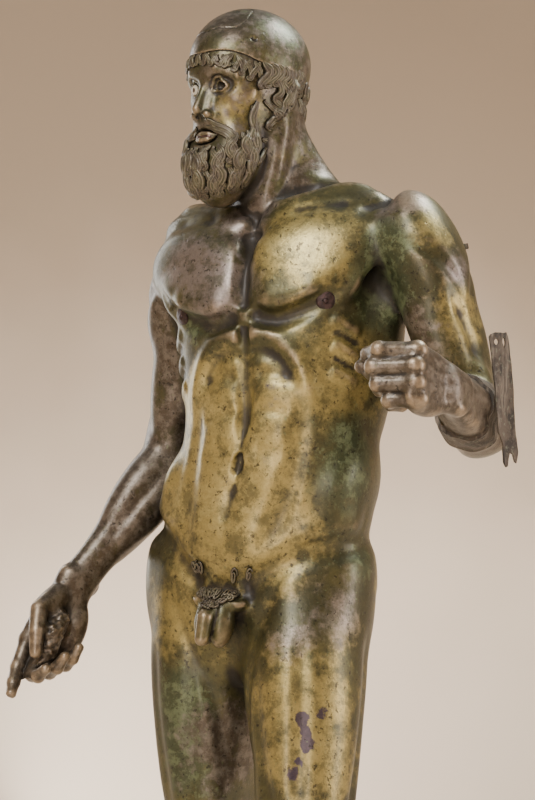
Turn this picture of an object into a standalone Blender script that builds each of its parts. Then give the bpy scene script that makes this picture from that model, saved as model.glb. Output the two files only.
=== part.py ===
"""Bearded warrior, a standing bronze on a low stone base.

The figure is one cast body. It is described as a field of distances: muscles and locks of hair are
blended bodies in the frames of a posed skeleton, and shallow strokes carve the lines between them.
The field is turned into a closed faceted solid. Inlays, the shield's arm band and its strap are
pieces of their own, set with a small gap. Metres, +Z up, the origin under the middle of the base.
"""

import itertools
import math
from dataclasses import dataclass, field

import bmesh
import bpy
import numpy as np
from mathutils import Matrix, Vector
from mathutils.bvhtree import BVHTree

# Driving dimensions
FIGURE_HEIGHT = 1.97
BASE_SIDE = 0.62
BASE_THICKNESS = 0.080
BASE_CHAMFER = 0.008
FIT_GAP = 0.0003

NIPPLE_RADIUS = 0.0155
NIPPLE_DEPTH = 0.0045
NIPPLE_RISE = 0.0055
NIPPLE_SPACING = 0.256
EYE_RADIUS = 0.0090
EYE_DEPTH = 0.0060
SOCKET_DEPTH = 0.0110
LIP_HALF_WIDTH = 0.0200
LIP_HALF_HEIGHT = 0.0085
LIP_HALF_DEPTH = 0.0070

CUFF_WIDTH = 0.070
CUFF_THICKNESS = 0.0045
CUFF_SINK = 0.0015
STRAP_WIDTH = 0.042
STRAP_LENGTH = 0.210
STRAP_THICKNESS = 0.005
STRAP_HOLE_RADIUS = 0.005
PEG_SIDE = 0.009
PEG_DEPTH = 0.010
PEG_RISE = 0.006

# Places on the figure: the band's middle along the forearm, the way that the strap faces seen from
# above, how far its middle is above the band's and along its own width, and the way the peg points
CUFF_PLACE = -0.112
STRAP_WAY = (0.985, -0.17, 0.0)
STRAP_RISE = 0.012
STRAP_SHIFT = 0.020
PEG_WAY = (0.84, 0.50, 0.20)

# The figure's place on the base, and how finely its surface is faceted
STANCE = (-0.030, 0.085)
BODY_STEP = 0.0105
HEAD_STEP = 0.0048
FIGURE_TRIANGLES = 7900

# The anatomy's own numbers are written for this height. Strokes reach this far from the skin, a lock
# of hair melts into what it lies on over a width, and corners closer than the last length are one.
MODEL_HEIGHT = 1.97
REACH = 0.034
HAIR_BLEND = 0.0065
MERGE = 0.00008


def unit(vector) -> np.ndarray:
    """The vector at length one."""
    vector = np.asarray(vector, float)
    return vector / np.linalg.norm(vector)


def join(one, other, soft: float):
    """The union of two distances, blended over the width soft."""
    share = np.clip(0.5 + 0.5 * (other - one) / soft, 0, 1)
    return other + (one - other) * share - soft * share * (1 - share)


def cut(one, other, soft: float):
    """The first distance with the second one's body carved out of it."""
    return -join(-one, other, soft)


def ramp(value, low: float, high: float):
    """A smooth step from 0 at low to 1 at high."""
    share = np.clip((value - low) / (high - low), 0, 1)
    return share * share * (3 - 2 * share)


def curve(at, knots, values):
    """A smooth curve through (knots, values), read at the places at."""
    knots, values = np.asarray(knots, float), np.asarray(values, float)
    slope = np.gradient(values, knots)
    left = np.clip(np.searchsorted(knots, at) - 1, 0, len(knots) - 2)
    span = knots[left + 1] - knots[left]
    t = np.clip((at - knots[left]) / span, 0, 1)
    return (
        (1 + 2 * t) * (1 - t) ** 2 * values[left]
        + t * (1 - t) ** 2 * span * slope[left]
        + t * t * (3 - 2 * t) * values[left + 1]
        + t * t * (t - 1) * span * slope[left + 1]
    )


def spline(points, count: int) -> np.ndarray:
    """count points on a smooth line through the given points."""
    points = np.asarray(points, float)
    chord = np.concatenate([[0], np.cumsum(np.linalg.norm(np.diff(points, axis=0), axis=1))])
    at = np.linspace(0, chord[-1], count)
    return np.stack([curve(at, chord, points[:, i]) for i in range(points.shape[1])], axis=1)


@dataclass(frozen=True)
class Frame:
    """A place with three directions, the columns of axes."""

    origin: np.ndarray
    axes: np.ndarray

    def inside(self, points):
        """World points in this frame's own coordinates."""
        return (points - self.origin) @ self.axes

    def outside(self, points):
        """Points of this frame in world coordinates."""
        return np.asarray(points, float) @ self.axes.T + self.origin


def turned(pitch: float, roll: float, yaw: float) -> np.ndarray:
    """A rotation from angles in degrees about X, then Y, then Z."""
    a, b, c = (math.radians(v) for v in (pitch, roll, yaw))
    rx = np.array([[1, 0, 0], [0, math.cos(a), -math.sin(a)], [0, math.sin(a), math.cos(a)]])
    ry = np.array([[math.cos(b), 0, math.sin(b)], [0, 1, 0], [-math.sin(b), 0, math.cos(b)]])
    rz = np.array([[math.cos(c), -math.sin(c), 0], [math.sin(c), math.cos(c), 0], [0, 0, 1]])
    return rz @ ry @ rx


def bone(start, end, front, side: int) -> Frame:
    """A limb's frame: its -Z runs from start to end, its -Y to the front, and its +X outwards."""
    up = unit(np.subtract(start, end))
    back = -np.asarray(front, float)
    back = unit(back - up * (back @ up))
    out = np.cross(back, up) * side
    return Frame(np.asarray(start, float), np.stack([out, back, up], axis=1))


def belly(p, start, end, width: float, thick: float, face=(0, -1, 0)):
    """A muscle's belly: an ellipsoid from start to end, wide across and thick along its face."""
    start, end = np.asarray(start, float), np.asarray(end, float)
    along = unit(end - start)
    normal = np.asarray(face, float)
    normal = unit(normal - along * (normal @ along))
    axes = np.stack([along, np.cross(normal, along), normal], axis=1)
    radii = np.array([np.linalg.norm(end - start) / 2, width, thick])
    q = (p - (start + end) / 2) @ axes
    near = np.linalg.norm(q / radii, axis=1)
    return near * (near - 1) / np.maximum(np.linalg.norm(q / radii**2, axis=1), 1e-6)


def rod(p, path, radii):
    """A round rod along a path, its radius changing from point to point."""
    path = np.asarray(path, float)
    radii = np.broadcast_to(np.asarray(radii, float), (len(path),))
    best = np.full(len(p), 1e3)
    for a, b, ra, rb in zip(path[:-1], path[1:], radii[:-1], radii[1:]):
        run = b - a
        t = np.clip(((p - a) @ run) / (run @ run), 0, 1)
        gap = np.linalg.norm(p - a - t[:, None] * run, axis=1) - (ra + (rb - ra) * t)
        best = np.minimum(best, gap)
    return best


def column(p, rows, power: float = 2.0, soft: float = 0.03):
    """A body lofted along Z. Each row is (z, half width, half depth, centre x, centre y)."""
    rows = np.asarray(rows, float)
    order = np.argsort(rows[:, 0])
    z, wide, deep, cx, cy = rows[order].T
    at = p[:, 2]
    a, b = curve(at, z, wide), curve(at, z, deep)
    x = np.abs(p[:, 0] - curve(at, z, cx)) / a
    y = np.abs(p[:, 1] - curve(at, z, cy)) / b
    x, y = np.maximum(x, 1e-4), np.maximum(y, 1e-4)
    near = (x**power + y**power) ** (1 / power)
    slope = np.hypot(x ** (power - 1) / a, y ** (power - 1) / b) * near ** (1 - power)
    section = (near - 1) / slope
    ends = np.abs(at - (z[0] + z[-1]) / 2) - (z[-1] - z[0]) / 2
    return -join(-section, -ends, soft)


def line_gap(p, path):
    """The distance from each point to a path, and the share of the path where it is nearest."""
    best, share = np.full(len(p), 1e3), np.zeros(len(p))
    for i, (a, b) in enumerate(zip(path[:-1], path[1:])):
        run = b - a
        t = np.clip(((p - a) @ run) / (run @ run), 0, 1)
        gap = np.linalg.norm(p - a - t[:, None] * run, axis=1)
        closer = gap < best
        best[closer] = gap[closer]
        share[closer] = (i + t[closer]) / (len(path) - 1)
    return best, share


@dataclass
class Stroke:
    """A groove (depth above 0) or a ridge (below 0) drawn on the surface along a path."""

    path: list
    width: float
    depth: float
    count: int = 9
    fade: tuple = (0.25, 0.25)


@dataclass
class Part:
    """A share of the body in a frame of its own, with the relief drawn on it."""

    frame: Frame
    low: tuple
    high: tuple
    soft: float = 0.02
    strokes: list = field(default_factory=list)
    drawn: list = field(default_factory=list)
    size: tuple = (1.0, 1.0, 1.0)

    def mass(self, p):
        """The distance to the part before its relief."""
        raise NotImplementedError

    def local(self, points):
        """World points in the part's own coordinates."""
        return self.frame.inside(points) / np.array(self.size)

    def settle(self):
        """Lays each stroke's path down on the surface that it is drawn on."""
        self.drawn = []
        for stroke in self.strokes:
            path = spline(stroke.path, stroke.count)
            for _ in range(4):
                path = path - normals(self.mass, path) * self.mass(path)[:, None]
            self.drawn.append((path, stroke))

    def distance(self, points):
        """The distance to the finished part, for points in world coordinates."""
        p = self.local(points)
        gap = self.mass(p)
        close = np.abs(gap) < REACH
        if not close.any():
            return gap * self.size[0]
        near, change = p[close], 0.0
        for path, stroke in self.drawn:
            reach = stroke.width * 2.4
            inside = ((near > path.min(0) - reach) & (near < path.max(0) + reach)).all(axis=1)
            if not inside.any():
                continue
            push = np.zeros(len(near))
            spread, share = line_gap(near[inside], path)
            spread = spread / stroke.width
            first, last = stroke.fade
            depth = stroke.depth * ramp(share, -1e-3, first) * ramp(1 - share, -1e-3, last)
            push[inside] = depth * np.exp(-spread * spread)
            change = change + push
        gap[close] += change
        return gap * self.size[0]


def normals(distance, points, step: float = 0.0012):
    """The outward direction of a distance field at each point."""
    out = np.empty_like(points)
    for axis in range(3):
        shift = np.zeros(3)
        shift[axis] = step
        out[:, axis] = distance(points + shift) - distance(points - shift)
    return out / np.maximum(np.linalg.norm(out, axis=1, keepdims=True), 1e-9)


@dataclass(frozen=True)
class HairRow:
    """A row of locks round the head's axis. Angles in degrees: 0 is the front and + the figure's left."""

    first: tuple
    last: tuple
    count: int
    length: float
    radius: float
    swing: float = 38.0
    waves: float = 1.2
    curl: float = 200.0
    heading: float = 0.0
    turn: int = 0
    bend: float = 0.0
    lift: float = 0.25


HAIR_AXIS = np.array([0.0, 0.004])


def lock_path(angle: float, height: float, row: HairRow, side: float, phase: float, count: int):
    """The centre line of one lock on a cylinder round the head's axis."""
    t = (np.arange(count) + 0.5) / count
    heading = row.heading * side + row.swing * np.sin(2 * np.pi * (row.waves * t + phase)) * side
    heading = heading + side * row.bend * t
    heading = np.radians(heading + side * row.curl * np.clip((t - 0.66) / 0.34, 0, 1) ** 1.3)
    step = row.length / count
    radius = 0.085
    around = np.concatenate([[0], np.cumsum(np.sin(heading) * step)]) / radius
    down = np.concatenate([[0], np.cumsum(np.cos(heading) * step)])
    turned_by = np.radians(angle) + around
    x = HAIR_AXIS[0] + 0.115 * np.sin(turned_by)
    y = HAIR_AXIS[1] - 0.115 * np.cos(turned_by)
    return np.stack([x, y, height - down], axis=1)


def lock_profile(count: int) -> np.ndarray:
    """The share of a lock's full radius along its length: narrow root, full body, fine tip."""
    t = np.linspace(0, 1, count + 1)
    return 0.45 + 0.55 * ramp(t, 0, 0.30) - 0.50 * ramp(t, 0.55, 1.0)


def lay_rows(distance, rows, count: int = 12):
    """Every lock of the rows as (path, radii), laid on the surface of distance."""
    paths, widths, lifts = [], [], []
    for number, row in enumerate(rows):
        for i in range(row.count):
            share = i / max(row.count - 1, 1)
            angle = row.first[0] + (row.last[0] - row.first[0]) * share
            height = row.first[1] + (row.last[1] - row.first[1]) * share
            side = row.turn if row.turn else (1 if (i + number) % 2 else -1)
            shake = math.sin(12.9 * i + 4.7 * number)
            path = lock_path(angle + 2.0 * shake, height + 0.004 * shake, row, side, 0.08 * shake, count)
            paths.append(path)
            widths.append(row.radius * (1 + 0.12 * math.sin(7.1 * i + number)) * lock_profile(count))
            lifts.append(widths[-1] * row.lift)
    points = laid(distance, np.concatenate(paths), 0.004)
    points = points + normals(distance, points, 0.004) * np.concatenate(lifts)[:, None]
    return list(zip(np.split(points, len(paths)), widths))


def laid(distance, points, step: float, rounds: int = 5):
    """The points moved onto the surface of a distance field."""
    for _ in range(rounds):
        points = points - normals(distance, points, step) * distance(points)[:, None] * 0.9
    return points


# Skeleton in world coordinates, the figure facing -Y with its left side at +X
PELVIS = Frame(np.array([-0.045, 0.0, 1.03]), turned(-3, 5, 4))
PELVIS_REST = np.array([0, 0, 1.03])
CHEST = Frame(np.array([-0.002, 0.004, 1.450]), turned(-3, -3, 5))
CHEST_REST = np.array([0, 0, 1.42])
HEAD = Frame(np.array([-0.0355, -0.0495, 1.842]), turned(4, 3, -16))


def chest_point(x, y, z):
    return CHEST.outside(np.array([x, y, z]) - CHEST_REST)


def pelvis_point(x, y, z):
    return PELVIS.outside(np.array([x, y, z]) - PELVIS_REST)


RIGHT_SHOULDER = chest_point(-0.168, 0.016, 1.530)
LEFT_SHOULDER = chest_point(0.240, 0.000, 1.550)
RIGHT_ELBOW = np.array([-0.246, 0.034, 1.222])
LEFT_ELBOW = np.array([0.342, 0.066, 1.276])
RIGHT_WRIST = np.array([-0.330, -0.146, 0.998])
LEFT_WRIST = np.array([0.424, -0.184, 1.314])
RIGHT_HIP = pelvis_point(-0.092, 0.01, 1.02)
LEFT_HIP = pelvis_point(0.092, 0.01, 1.02)
RIGHT_KNEE = np.array([-0.135, -0.015, 0.552])
LEFT_KNEE = np.array([0.130, -0.130, 0.560])
RIGHT_ANKLE = np.array([-0.125, 0.055, 0.095])
LEFT_ANKLE = np.array([0.185, -0.080, 0.095])


class Trunk(Part):
    """Hips, belly, ribs and shoulders: one symmetric body bent between two frames."""

    curls = ()

    def settle(self):
        super().settle()
        curls = groin_curls()
        paths = laid(self.body, np.concatenate([path for path, _ in curls]), 0.003)
        self.curls = tuple(zip(np.split(paths, len(curls)), [radii for _, radii in curls]))

    def mass(self, p):
        d = self.body(p)
        for path, radii in self.curls:
            near = ((p > path.min(0) - .012) & (p < path.max(0) + .012)).all(axis=1)
            if near.any():
                d[near] = join(d[near], rod(p[near], path, radii), .0015)
        return d

    def local(self, points):
        low = PELVIS.inside(points) + PELVIS_REST
        high = CHEST.inside(points) + CHEST_REST
        share = ramp(points[:, 2], 1.06, 1.34)[:, None]
        p = low * (1 - share) + high * share
        p[:, 0] = np.abs(p[:, 0])
        return p

    def body(self, p):
        p = p * 1.0
        p[:, 0] = np.abs(p[:, 0])
        d = column(p, [
            (0.86, .120, .085, 0, .02), (0.93, .168, .110, 0, .018), (1.01, .190, .125, 0, .012),
            (1.08, .188, .127, 0, .004), (1.14, .177, .123, 0, -.002), (1.20, .169, .120, 0, -.004),
            (1.26, .166, .120, 0, -.003), (1.33, .172, .126, 0, .0), (1.40, .180, .132, 0, .004),
            (1.47, .182, .130, 0, .010), (1.53, .168, .114, 0, .018), (1.585, .135, .090, 0, .024),
            (1.635, .090, .070, 0, .028), (1.68, .062, .058, 0, .028)], power=2.25)
        for start, end, width, thick, face, soft in (
            ((.004, -.112, 1.485), (.215, -.040, 1.545), .075, .038, (.35, -1, .15), .024),
            ((.006, -.114, 1.447), (.185, -.070, 1.472), .046, .032, (.35, -1, -.1), .022),
            ((.012, -.082, 1.575), (.200, -.015, 1.600), .036, .028, (.2, -1, .5), .022),
            ((.165, .045, 1.51), (.140, .050, 1.22), .070, .036, (1, .3, 0), .030),
            ((.190, .030, 1.54), (.170, .060, 1.33), .060, .030, (1, .5, 0), .030),
            ((-.02, .040, 1.652), (.232, .018, 1.578), .054, .032, (0, .5, 1), .035),
            ((.026, .070, 1.655), (.110, .108, 1.42), .070, .030, (.1, 1, .1), .030),
            ((.060, .095, 1.56), (.140, .108, 1.40), .058, .026, (.3, 1, 0), .030),
            ((.070, .085, 1.565), (.225, .040, 1.560), .050, .034, (0, 1, .3), .030),
            ((.040, .080, 1.44), (.042, .085, 1.08), .034, .036, (.1, 1, 0), .020),
            ((.154, -.080, 1.160), (.146, .080, 1.170), .050, .034, (1, 0, 0), .032),
            ((.060, -.104, 1.32), (.055, -.106, 1.09), .050, .020, (.3, -1, 0), .024),
            ((.0, -.095, 1.15), (.0, -.100, 1.03), .090, .034, (0, -1, 0), .026),
            ((.074, .078, 1.105), (.094, .072, .915), .082, .072, (.15, 1, -.1), .022),
            ((.160, .02, 1.12), (.166, .015, .90), .070, .042, (1, .1, 0), .040),
        ):
            d = join(d, belly(p, start, end, width, thick, face), soft)
        d = join(d, belly(p, (0, -.118, 1.000), (0, -.112, .960), .050, .022, (0, -1, 0)), .016)
        d = join(d, belly(p, (.013, -.120, .985), (.015, -.128, .905), .021, .022, (0, -1, 0)), .007)
        return join(d, rod(p, [(0, -.128, .975), (0, -.156, .952), (0, -.160, .918)],
                           [.013, .0135, .0115]), .005)


def groin_curls():
    """Small curls in two arched rows over the groin, as (path, radii) in the hips' rest coordinates."""
    curls = []
    for row, (top, reach, count) in enumerate(((1.006, .076, 10), (.987, .062, 8), (.969, .046, 6))):
        for i in range(count):
            share = 2 * i / (count - 1) - 1
            x, z = share * reach, top + .010 * share**2 + .003 * math.sin(5.0 * i + row)
            turn = np.linspace(0.4, 5.6, 7) * (1 if (i + row) % 2 else -1)
            wind = np.linspace(.0090, .0032, 7)
            path = np.stack([x + wind * np.cos(turn), np.full(7, -.150), z + wind * np.sin(turn)], axis=1)
            curls.append((path, np.linspace(.0052, .0040, 7)))
    return curls


TRUNK_STROKES = [
    # breast bone, mid line of the belly, and the spine
    Stroke([(0, -.13, 1.595), (0, -.13, 1.52), (0, -.13, 1.42)], .014, .010, fade=(.2, .1)),
    Stroke([(0, -.13, 1.41), (0, -.13, 1.30), (0, -.13, 1.215)], .012, .007, fade=(.1, .2)),
    Stroke([(0, -.13, 1.165), (0, -.13, 1.10)], .014, .002),
    Stroke([(0, .13, 1.60), (0, .12, 1.42), (0, .12, 1.24), (0, .13, 1.08)], .020, .014),
    # lower edge of the breast
    Stroke([(.004, -.14, 1.420), (.055, -.15, 1.402), (.115, -.14, 1.410), (.165, -.11, 1.440),
            (.200, -.08, 1.490)], .014, .013, 13, (.1, .2)),
    Stroke([(.020, -.14, 1.445), (.06, -.15, 1.430), (.110, -.14, 1.436), (.155, -.12, 1.462)],
           .020, -.006),
    # arch of the ribs
    Stroke([(.004, -.14, 1.385), (.045, -.14, 1.382), (.085, -.13, 1.353), (.112, -.12, 1.305),
            (.130, -.11, 1.245)], .015, -.0055, 11, (.05, .3)),
    Stroke([(.004, -.14, 1.355), (.045, -.14, 1.352), (.072, -.13, 1.328), (.092, -.12, 1.285)],
           .013, .004, 9, (.1, .3)),
    # outer edge of the straight muscle, and its three cross lines
    Stroke([(.100, -.12, 1.290), (.100, -.12, 1.20), (.092, -.12, 1.13), (.062, -.12, 1.05)],
           .019, .007),
    Stroke([(.010, -.13, 1.315), (.045, -.13, 1.319), (.085, -.12, 1.307)], .011, .0032),
    Stroke([(.010, -.13, 1.258), (.045, -.13, 1.261), (.085, -.12, 1.253)], .011, .0028),
    Stroke([(.020, -.13, 1.200), (.045, -.13, 1.202), (.080, -.12, 1.198)], .012, .002),
    # hip fold: the girdle's lower edge, from the small of the back to the groin
    Stroke([(.120, .12, 1.120), (.175, .06, 1.105), (.200, 0, 1.098), (.185, -.06, 1.086),
            (.148, -.09, 1.074), (.110, -.11, 1.048), (.074, -.12, 1.018), (.038, -.12, .996)],
           .019, .0115, 15, (.60, .05)),
    Stroke([(.195, 0, 1.130), (.180, -.06, 1.120), (.148, -.09, 1.108), (.118, -.11, 1.084)],
           .020, -.005, 9),
    Stroke([(.0, -.12, .988), (.030, -.12, .992), (.050, -.12, 1.002)], .011, .009, 9, (0, .3)),
    # saw muscle on the ribs
    Stroke([(.150, -.10, 1.405), (.190, -.05, 1.380)], .013, -.0045, 5),
    Stroke([(.148, -.10, 1.363), (.186, -.05, 1.338)], .013, -.0045, 5),
    Stroke([(.143, -.10, 1.320), (.180, -.05, 1.298)], .013, -.004, 5),
    Stroke([(.150, -.10, 1.384), (.190, -.05, 1.359)], .010, .004, 5),
    Stroke([(.146, -.10, 1.341), (.184, -.05, 1.318)], .010, .004, 5),
    # collar bone and the pit above it
    Stroke([(.016, -.07, 1.606), (.070, -.06, 1.612), (.130, -.03, 1.618), (.195, -.0, 1.632)],
           .011, -.008, 9, (.1, .3)),
    Stroke([(.040, -.05, 1.634), (.090, -.03, 1.644), (.130, -.01, 1.645)], .015, .006),
    Stroke([(.060, -.09, 1.588), (.120, -.07, 1.590), (.170, -.04, 1.588)], .016, .005),
    # shoulder blade, buttock fold and cleft
    Stroke([(.052, .14, 1.53), (.075, .14, 1.42)], .015, .008, 5),
    Stroke([(.070, .14, 1.395), (.150, .10, 1.41)], .015, .007, 5),
    Stroke([(.060, .14, 1.575), (.160, .10, 1.590)], .014, -.005, 5),
    Stroke([(.0, .15, 1.085), (.0, .15, 1.00), (.0, .12, .92)], .015, .030, 9, (.3, 0)),
    Stroke([(.016, .14, .925), (.070, .14, .905), (.125, .11, .918)], .016, .009, 9, (.1, .6)),
    Stroke([(.165, .06, 1.03), (.160, .07, .97)], .026, .008, 5),
    # navel
    Stroke([(0, -.14, 1.196), (0, -.14, 1.184)], .0075, .013, 3, (0, 0)),
    Stroke([(0, -.14, 1.204), (.009, -.14, 1.198)], .006, -.004, 3, (0, 0)),
]


class Thigh(Part):
    """A thigh, its length along Z from the hip at 0 down to the knee."""

    def mass(self, p):
        d = column(p, [
            (.05, .070, .080, -.006, .008), (-.02, .094, .100, -.004, .004), (-.10, .100, .107, 0, .0),
            (-.18, .098, .106, .0, -.002), (-.26, .089, .097, 0, -.002), (-.34, .077, .084, 0, 0),
            (-.40, .067, .073, 0, .002), (-.45, .061, .066, 0, .004), (-.50, .057, .062, 0, .006),
            (-.55, .050, .054, 0, .008)], soft=.05)
        for start, end, width, thick, face, soft in (
            ((.052, -.02, -.05), (.040, -.028, -.43), .052, .036, (1, -.5, 0), .020),
            ((.012, -.070, -.02), (.000, -.050, -.43), .036, .030, (.1, -1, 0), .020),
            ((-.034, -.030, -.26), (-.034, -.036, -.465), .036, .032, (-1, -.6, 0), .016),
            ((-.062, .0, .0), (-.040, .01, -.30), .060, .044, (-1, 0, 0), .025),
            ((.026, .062, -.02), (.034, .044, -.46), .036, .030, (.4, 1, 0), .020),
            ((-.022, .064, -.02), (-.036, .044, -.47), .036, .030, (-.4, 1, 0), .020),
            ((0, -.056, -.450), (0, -.054, -.510), .028, .011, (0, -1, 0), .016),
        ):
            d = join(d, belly(p, start, end, width, thick, face), soft)
        return d


THIGH_STROKES = [
    Stroke([(.040, -.09, -.10), (.036, -.08, -.25), (.026, -.07, -.42)], .014, .005),
    Stroke([(-.030, -.09, -.12), (-.030, -.08, -.28), (-.012, -.07, -.42)], .014, .005),
    Stroke([(.040, -.09, .03), (-.02, -.10, -.08), (-.065, -.06, -.24), (-.066, -.02, -.40)],
           .014, .006, 11),
    Stroke([(.098, .03, -.06), (.084, .03, -.24), (.062, .03, -.43)], .014, .006),
    Stroke([(0, .10, -.16), (0, .09, -.30), (0, .07, -.44)], .016, .006),
    Stroke([(-.030, -.06, -.452), (0, -.07, -.440), (.030, -.06, -.452)], .009, .005),
    Stroke([(-.026, -.06, -.500), (0, -.07, -.506), (.026, -.06, -.500)], .010, .003),
]


class Shank(Part):
    """A lower leg, its length along Z from the knee at 0 down to the ankle."""

    def mass(self, p):
        d = column(p, [
            (.05, .052, .056, 0, .004), (0, .055, .059, 0, .006), (-.06, .056, .061, 0, .012),
            (-.13, .058, .064, 0, .018), (-.20, .055, .060, 0, .016), (-.27, .047, .051, 0, .010),
            (-.34, .036, .041, 0, .005), (-.40, .033, .038, 0, .004), (-.46, .035, .042, 0, .006),
            (-.50, .034, .044, 0, .004)])
        for start, end, width, thick, face, soft in (
            ((-.024, .030, .02), (-.020, .034, -.25), .036, .036, (-.5, 1, 0), .014),
            ((.024, .030, .02), (.022, .032, -.22), .034, .034, (.5, 1, 0), .014),
            ((.030, .006, -.05), (.026, .016, -.34), .028, .024, (1, .2, 0), .016),
            ((-.026, .006, -.10), (-.022, .018, -.36), .028, .022, (-1, .2, 0), .016),
            ((.016, -.028, -.03), (.006, -.024, -.30), .026, .022, (.4, -1, 0), .014),
            ((-.036, .002, -.435), (-.034, .002, -.475), .014, .012, (-1, 0, 0), .010),
            ((.034, .008, -.445), (.033, .008, -.490), .013, .011, (1, 0, 0), .010),
            ((0, .040, -.34), (0, .044, -.48), .012, .012, (0, 1, 0), .014),
        ):
            d = join(d, belly(p, start, end, width, thick, face), soft)
        return d


SHANK_STROKES = [
    Stroke([(-.006, -.06, -.03), (-.004, -.05, -.15), (-.004, -.05, -.30), (-.008, -.04, -.42)],
           .009, -.004),
    Stroke([(0, .08, .0), (0, .08, -.10), (0, .07, -.22)], .011, .006),
    Stroke([(-.04, .05, -.24), (0, .06, -.235), (.04, .05, -.215)], .012, .0018),
    Stroke([(.046, -.01, -.06), (.038, -.01, -.20), (.030, -.01, -.32)], .010, .004),
    Stroke([(.026, .035, -.40), (.026, .035, -.46)], .010, .005),
    Stroke([(-.026, .035, -.40), (-.026, .035, -.46)], .010, .005),
]


class Foot(Part):
    """A foot in the ankle's frame: the ground is at z = -0.095 and the toes point to -Y."""

    def mass(self, p):
        q = p[:, [0, 2, 1]] * np.array([1, 1, -1])
        rows = [(-.066, .020, .022, 0, -.060), (-.045, .032, .038, 0, -.054), (-.01, .035, .050, 0, -.046),
                (.03, .035, .048, 0, -.046), (.07, .038, .038, 0, -.056), (.11, .045, .029, .002, -.066),
                (.145, .050, .022, .004, -.073), (.170, .050, .018, .004, -.077),
                (.190, .042, .014, .002, -.080)]
        d = column(q, rows, 2.3, .02)
        d = join(d, belly(p, (0, .012, .02), (0, -.06, -.055), .034, .030, (0, -1, 1)), .02)
        for x, tip, size, root in ((-.030, -.228, .0155, -.160), (-.006, -.232, .0115, -.165),
                                   (.014, -.222, .0105, -.160), (.031, -.206, .0100, -.150),
                                   (.046, -.188, .0100, -.140)):
            high = -.095 + size
            toe = rod(p, [(x, root, high + .006), (x * 1.02, (root + tip) / 2, high + .004),
                          (x * 1.04, tip + size, high - .001)], [size, size * .88, size * 1.0])
            d = join(d, toe, .006)
        arch = belly(p, (-.062, .0, -.100), (-.050, -.12, -.100), .020, .030, (-1, 0, 0))
        d = cut(d, arch, .02)
        return -join(-d, -(-.0948 - p[:, 2]), .006)


class UpperArm(Part):
    """An upper arm from the shoulder at z = 0 down to the elbow."""

    def mass(self, p):
        d = column(p, [
            (.03, .042, .050, 0, 0), (-.04, .048, .054, 0, 0), (-.11, .047, .054, 0, .002),
            (-.18, .043, .052, 0, .002), (-.25, .039, .046, 0, .004), (-.30, .038, .040, 0, .004),
            (-.345, .040, .038, 0, .002), (-.39, .038, .036, 0, .0)])
        for start, end, width, thick, face, soft in (
            ((.020, .0, .062), (.026, .0, -.165), .064, .046, (1, 0, .1), .022),
            ((-.020, -.030, .040), (.030, -.018, -.150), .034, .034, (.2, -1, 0), .018),
            ((-.020, .034, .040), (.030, .020, -.150), .034, .034, (.2, 1, 0), .018),
            ((-.004, -.026, -.06), (.0, -.020, -.325), .037, .034, (0, -1, 0), .014),
            ((.018, .030, -.04), (.010, .028, -.29), .030, .034, (.5, 1, 0), .014),
            ((-.020, .026, -.05), (-.012, .026, -.31), .030, .034, (-.6, 1, 0), .014),
            ((.026, -.006, -.23), (.026, -.020, -.36), .018, .020, (1, 0, 0), .014),
        ):
            d = join(d, belly(p, start, end, width, thick, face), soft)
        return d


UPPER_ARM_STROKES = [
    Stroke([(.034, -.03, -.10), (.040, -.012, -.19), (.040, -.008, -.27)], .010, .006),
    Stroke([(-.05, -.004, -.06), (-.045, -.004, -.18), (-.04, -.004, -.29)], .011, .006),
    Stroke([(.02, -.06, -.02), (.055, -.03, -.10), (.050, 0, -.165)], .010, .005),
    Stroke([(.02, .06, -.02), (.055, .03, -.10), (.050, 0, -.165)], .010, .005),
    Stroke([(.0, .06, -.20), (0, .05, -.30)], .011, .003),
]


class Forearm(Part):
    """A forearm from the elbow at z = 0 down to the wrist, the thumb's side at +X."""

    def mass(self, p):
        d = column(p, [
            (.045, .034, .036, 0, 0), (0, .040, .040, 0, 0), (-.05, .045, .042, 0, 0),
            (-.09, .044, .040, 0, 0), (-.14, .038, .034, 0, 0), (-.19, .031, .027, 0, 0),
            (-.24, .028, .021, 0, 0), (-.28, .029, .019, 0, 0), (-.31, .030, .018, 0, 0)])
        for start, end, width, thick, face, soft in (
            ((.026, -.010, .05), (.022, -.006, -.17), .026, .026, (1, 0, 0), .014),
            ((.010, .022, .02), (.006, .014, -.20), .026, .020, (0, 1, 0), .012),
            ((-.016, -.022, .02), (-.010, -.014, -.20), .028, .022, (-.4, -1, 0), .012),
            ((-.030, .010, .02), (-.022, .010, -.22), .022, .020, (-1, .3, 0), .012),
            ((-.026, .012, -.255), (-.026, .010, -.290), .010, .009, (-1, 1, 0), .008),
        ):
            d = join(d, belly(p, start, end, width, thick, face), soft)
        return d


FOREARM_STROKES = [
    Stroke([(.035, .03, -.01), (.030, .03, -.10), (.026, .02, -.19)], .009, .004),
    Stroke([(-.02, .04, -.02), (-.018, .03, -.12), (-.018, .02, -.22)], .009, .004),
    Stroke([(.01, -.04, -.03), (.008, -.03, -.14), (.006, -.02, -.22)], .009, .003),
]


def finger(p, root, lengths, radii, bends, spread=0.0):
    """One finger: three rods that bend towards the palm, at -Y."""
    path, angle, at = [np.asarray(root, float)], 0.0, np.asarray(root, float)
    for length, bend in zip(lengths, bends):
        angle += np.radians(bend)
        at = at + length * np.array([spread, -np.sin(angle), -np.cos(angle)])
        path.append(at)
    d = rod(p, path, radii)
    for joint, radius in zip(path[1:-1], radii[1:-1]):
        d = join(d, np.linalg.norm(p - joint, axis=1) - radius * 1.06, .004)
    return d


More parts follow.
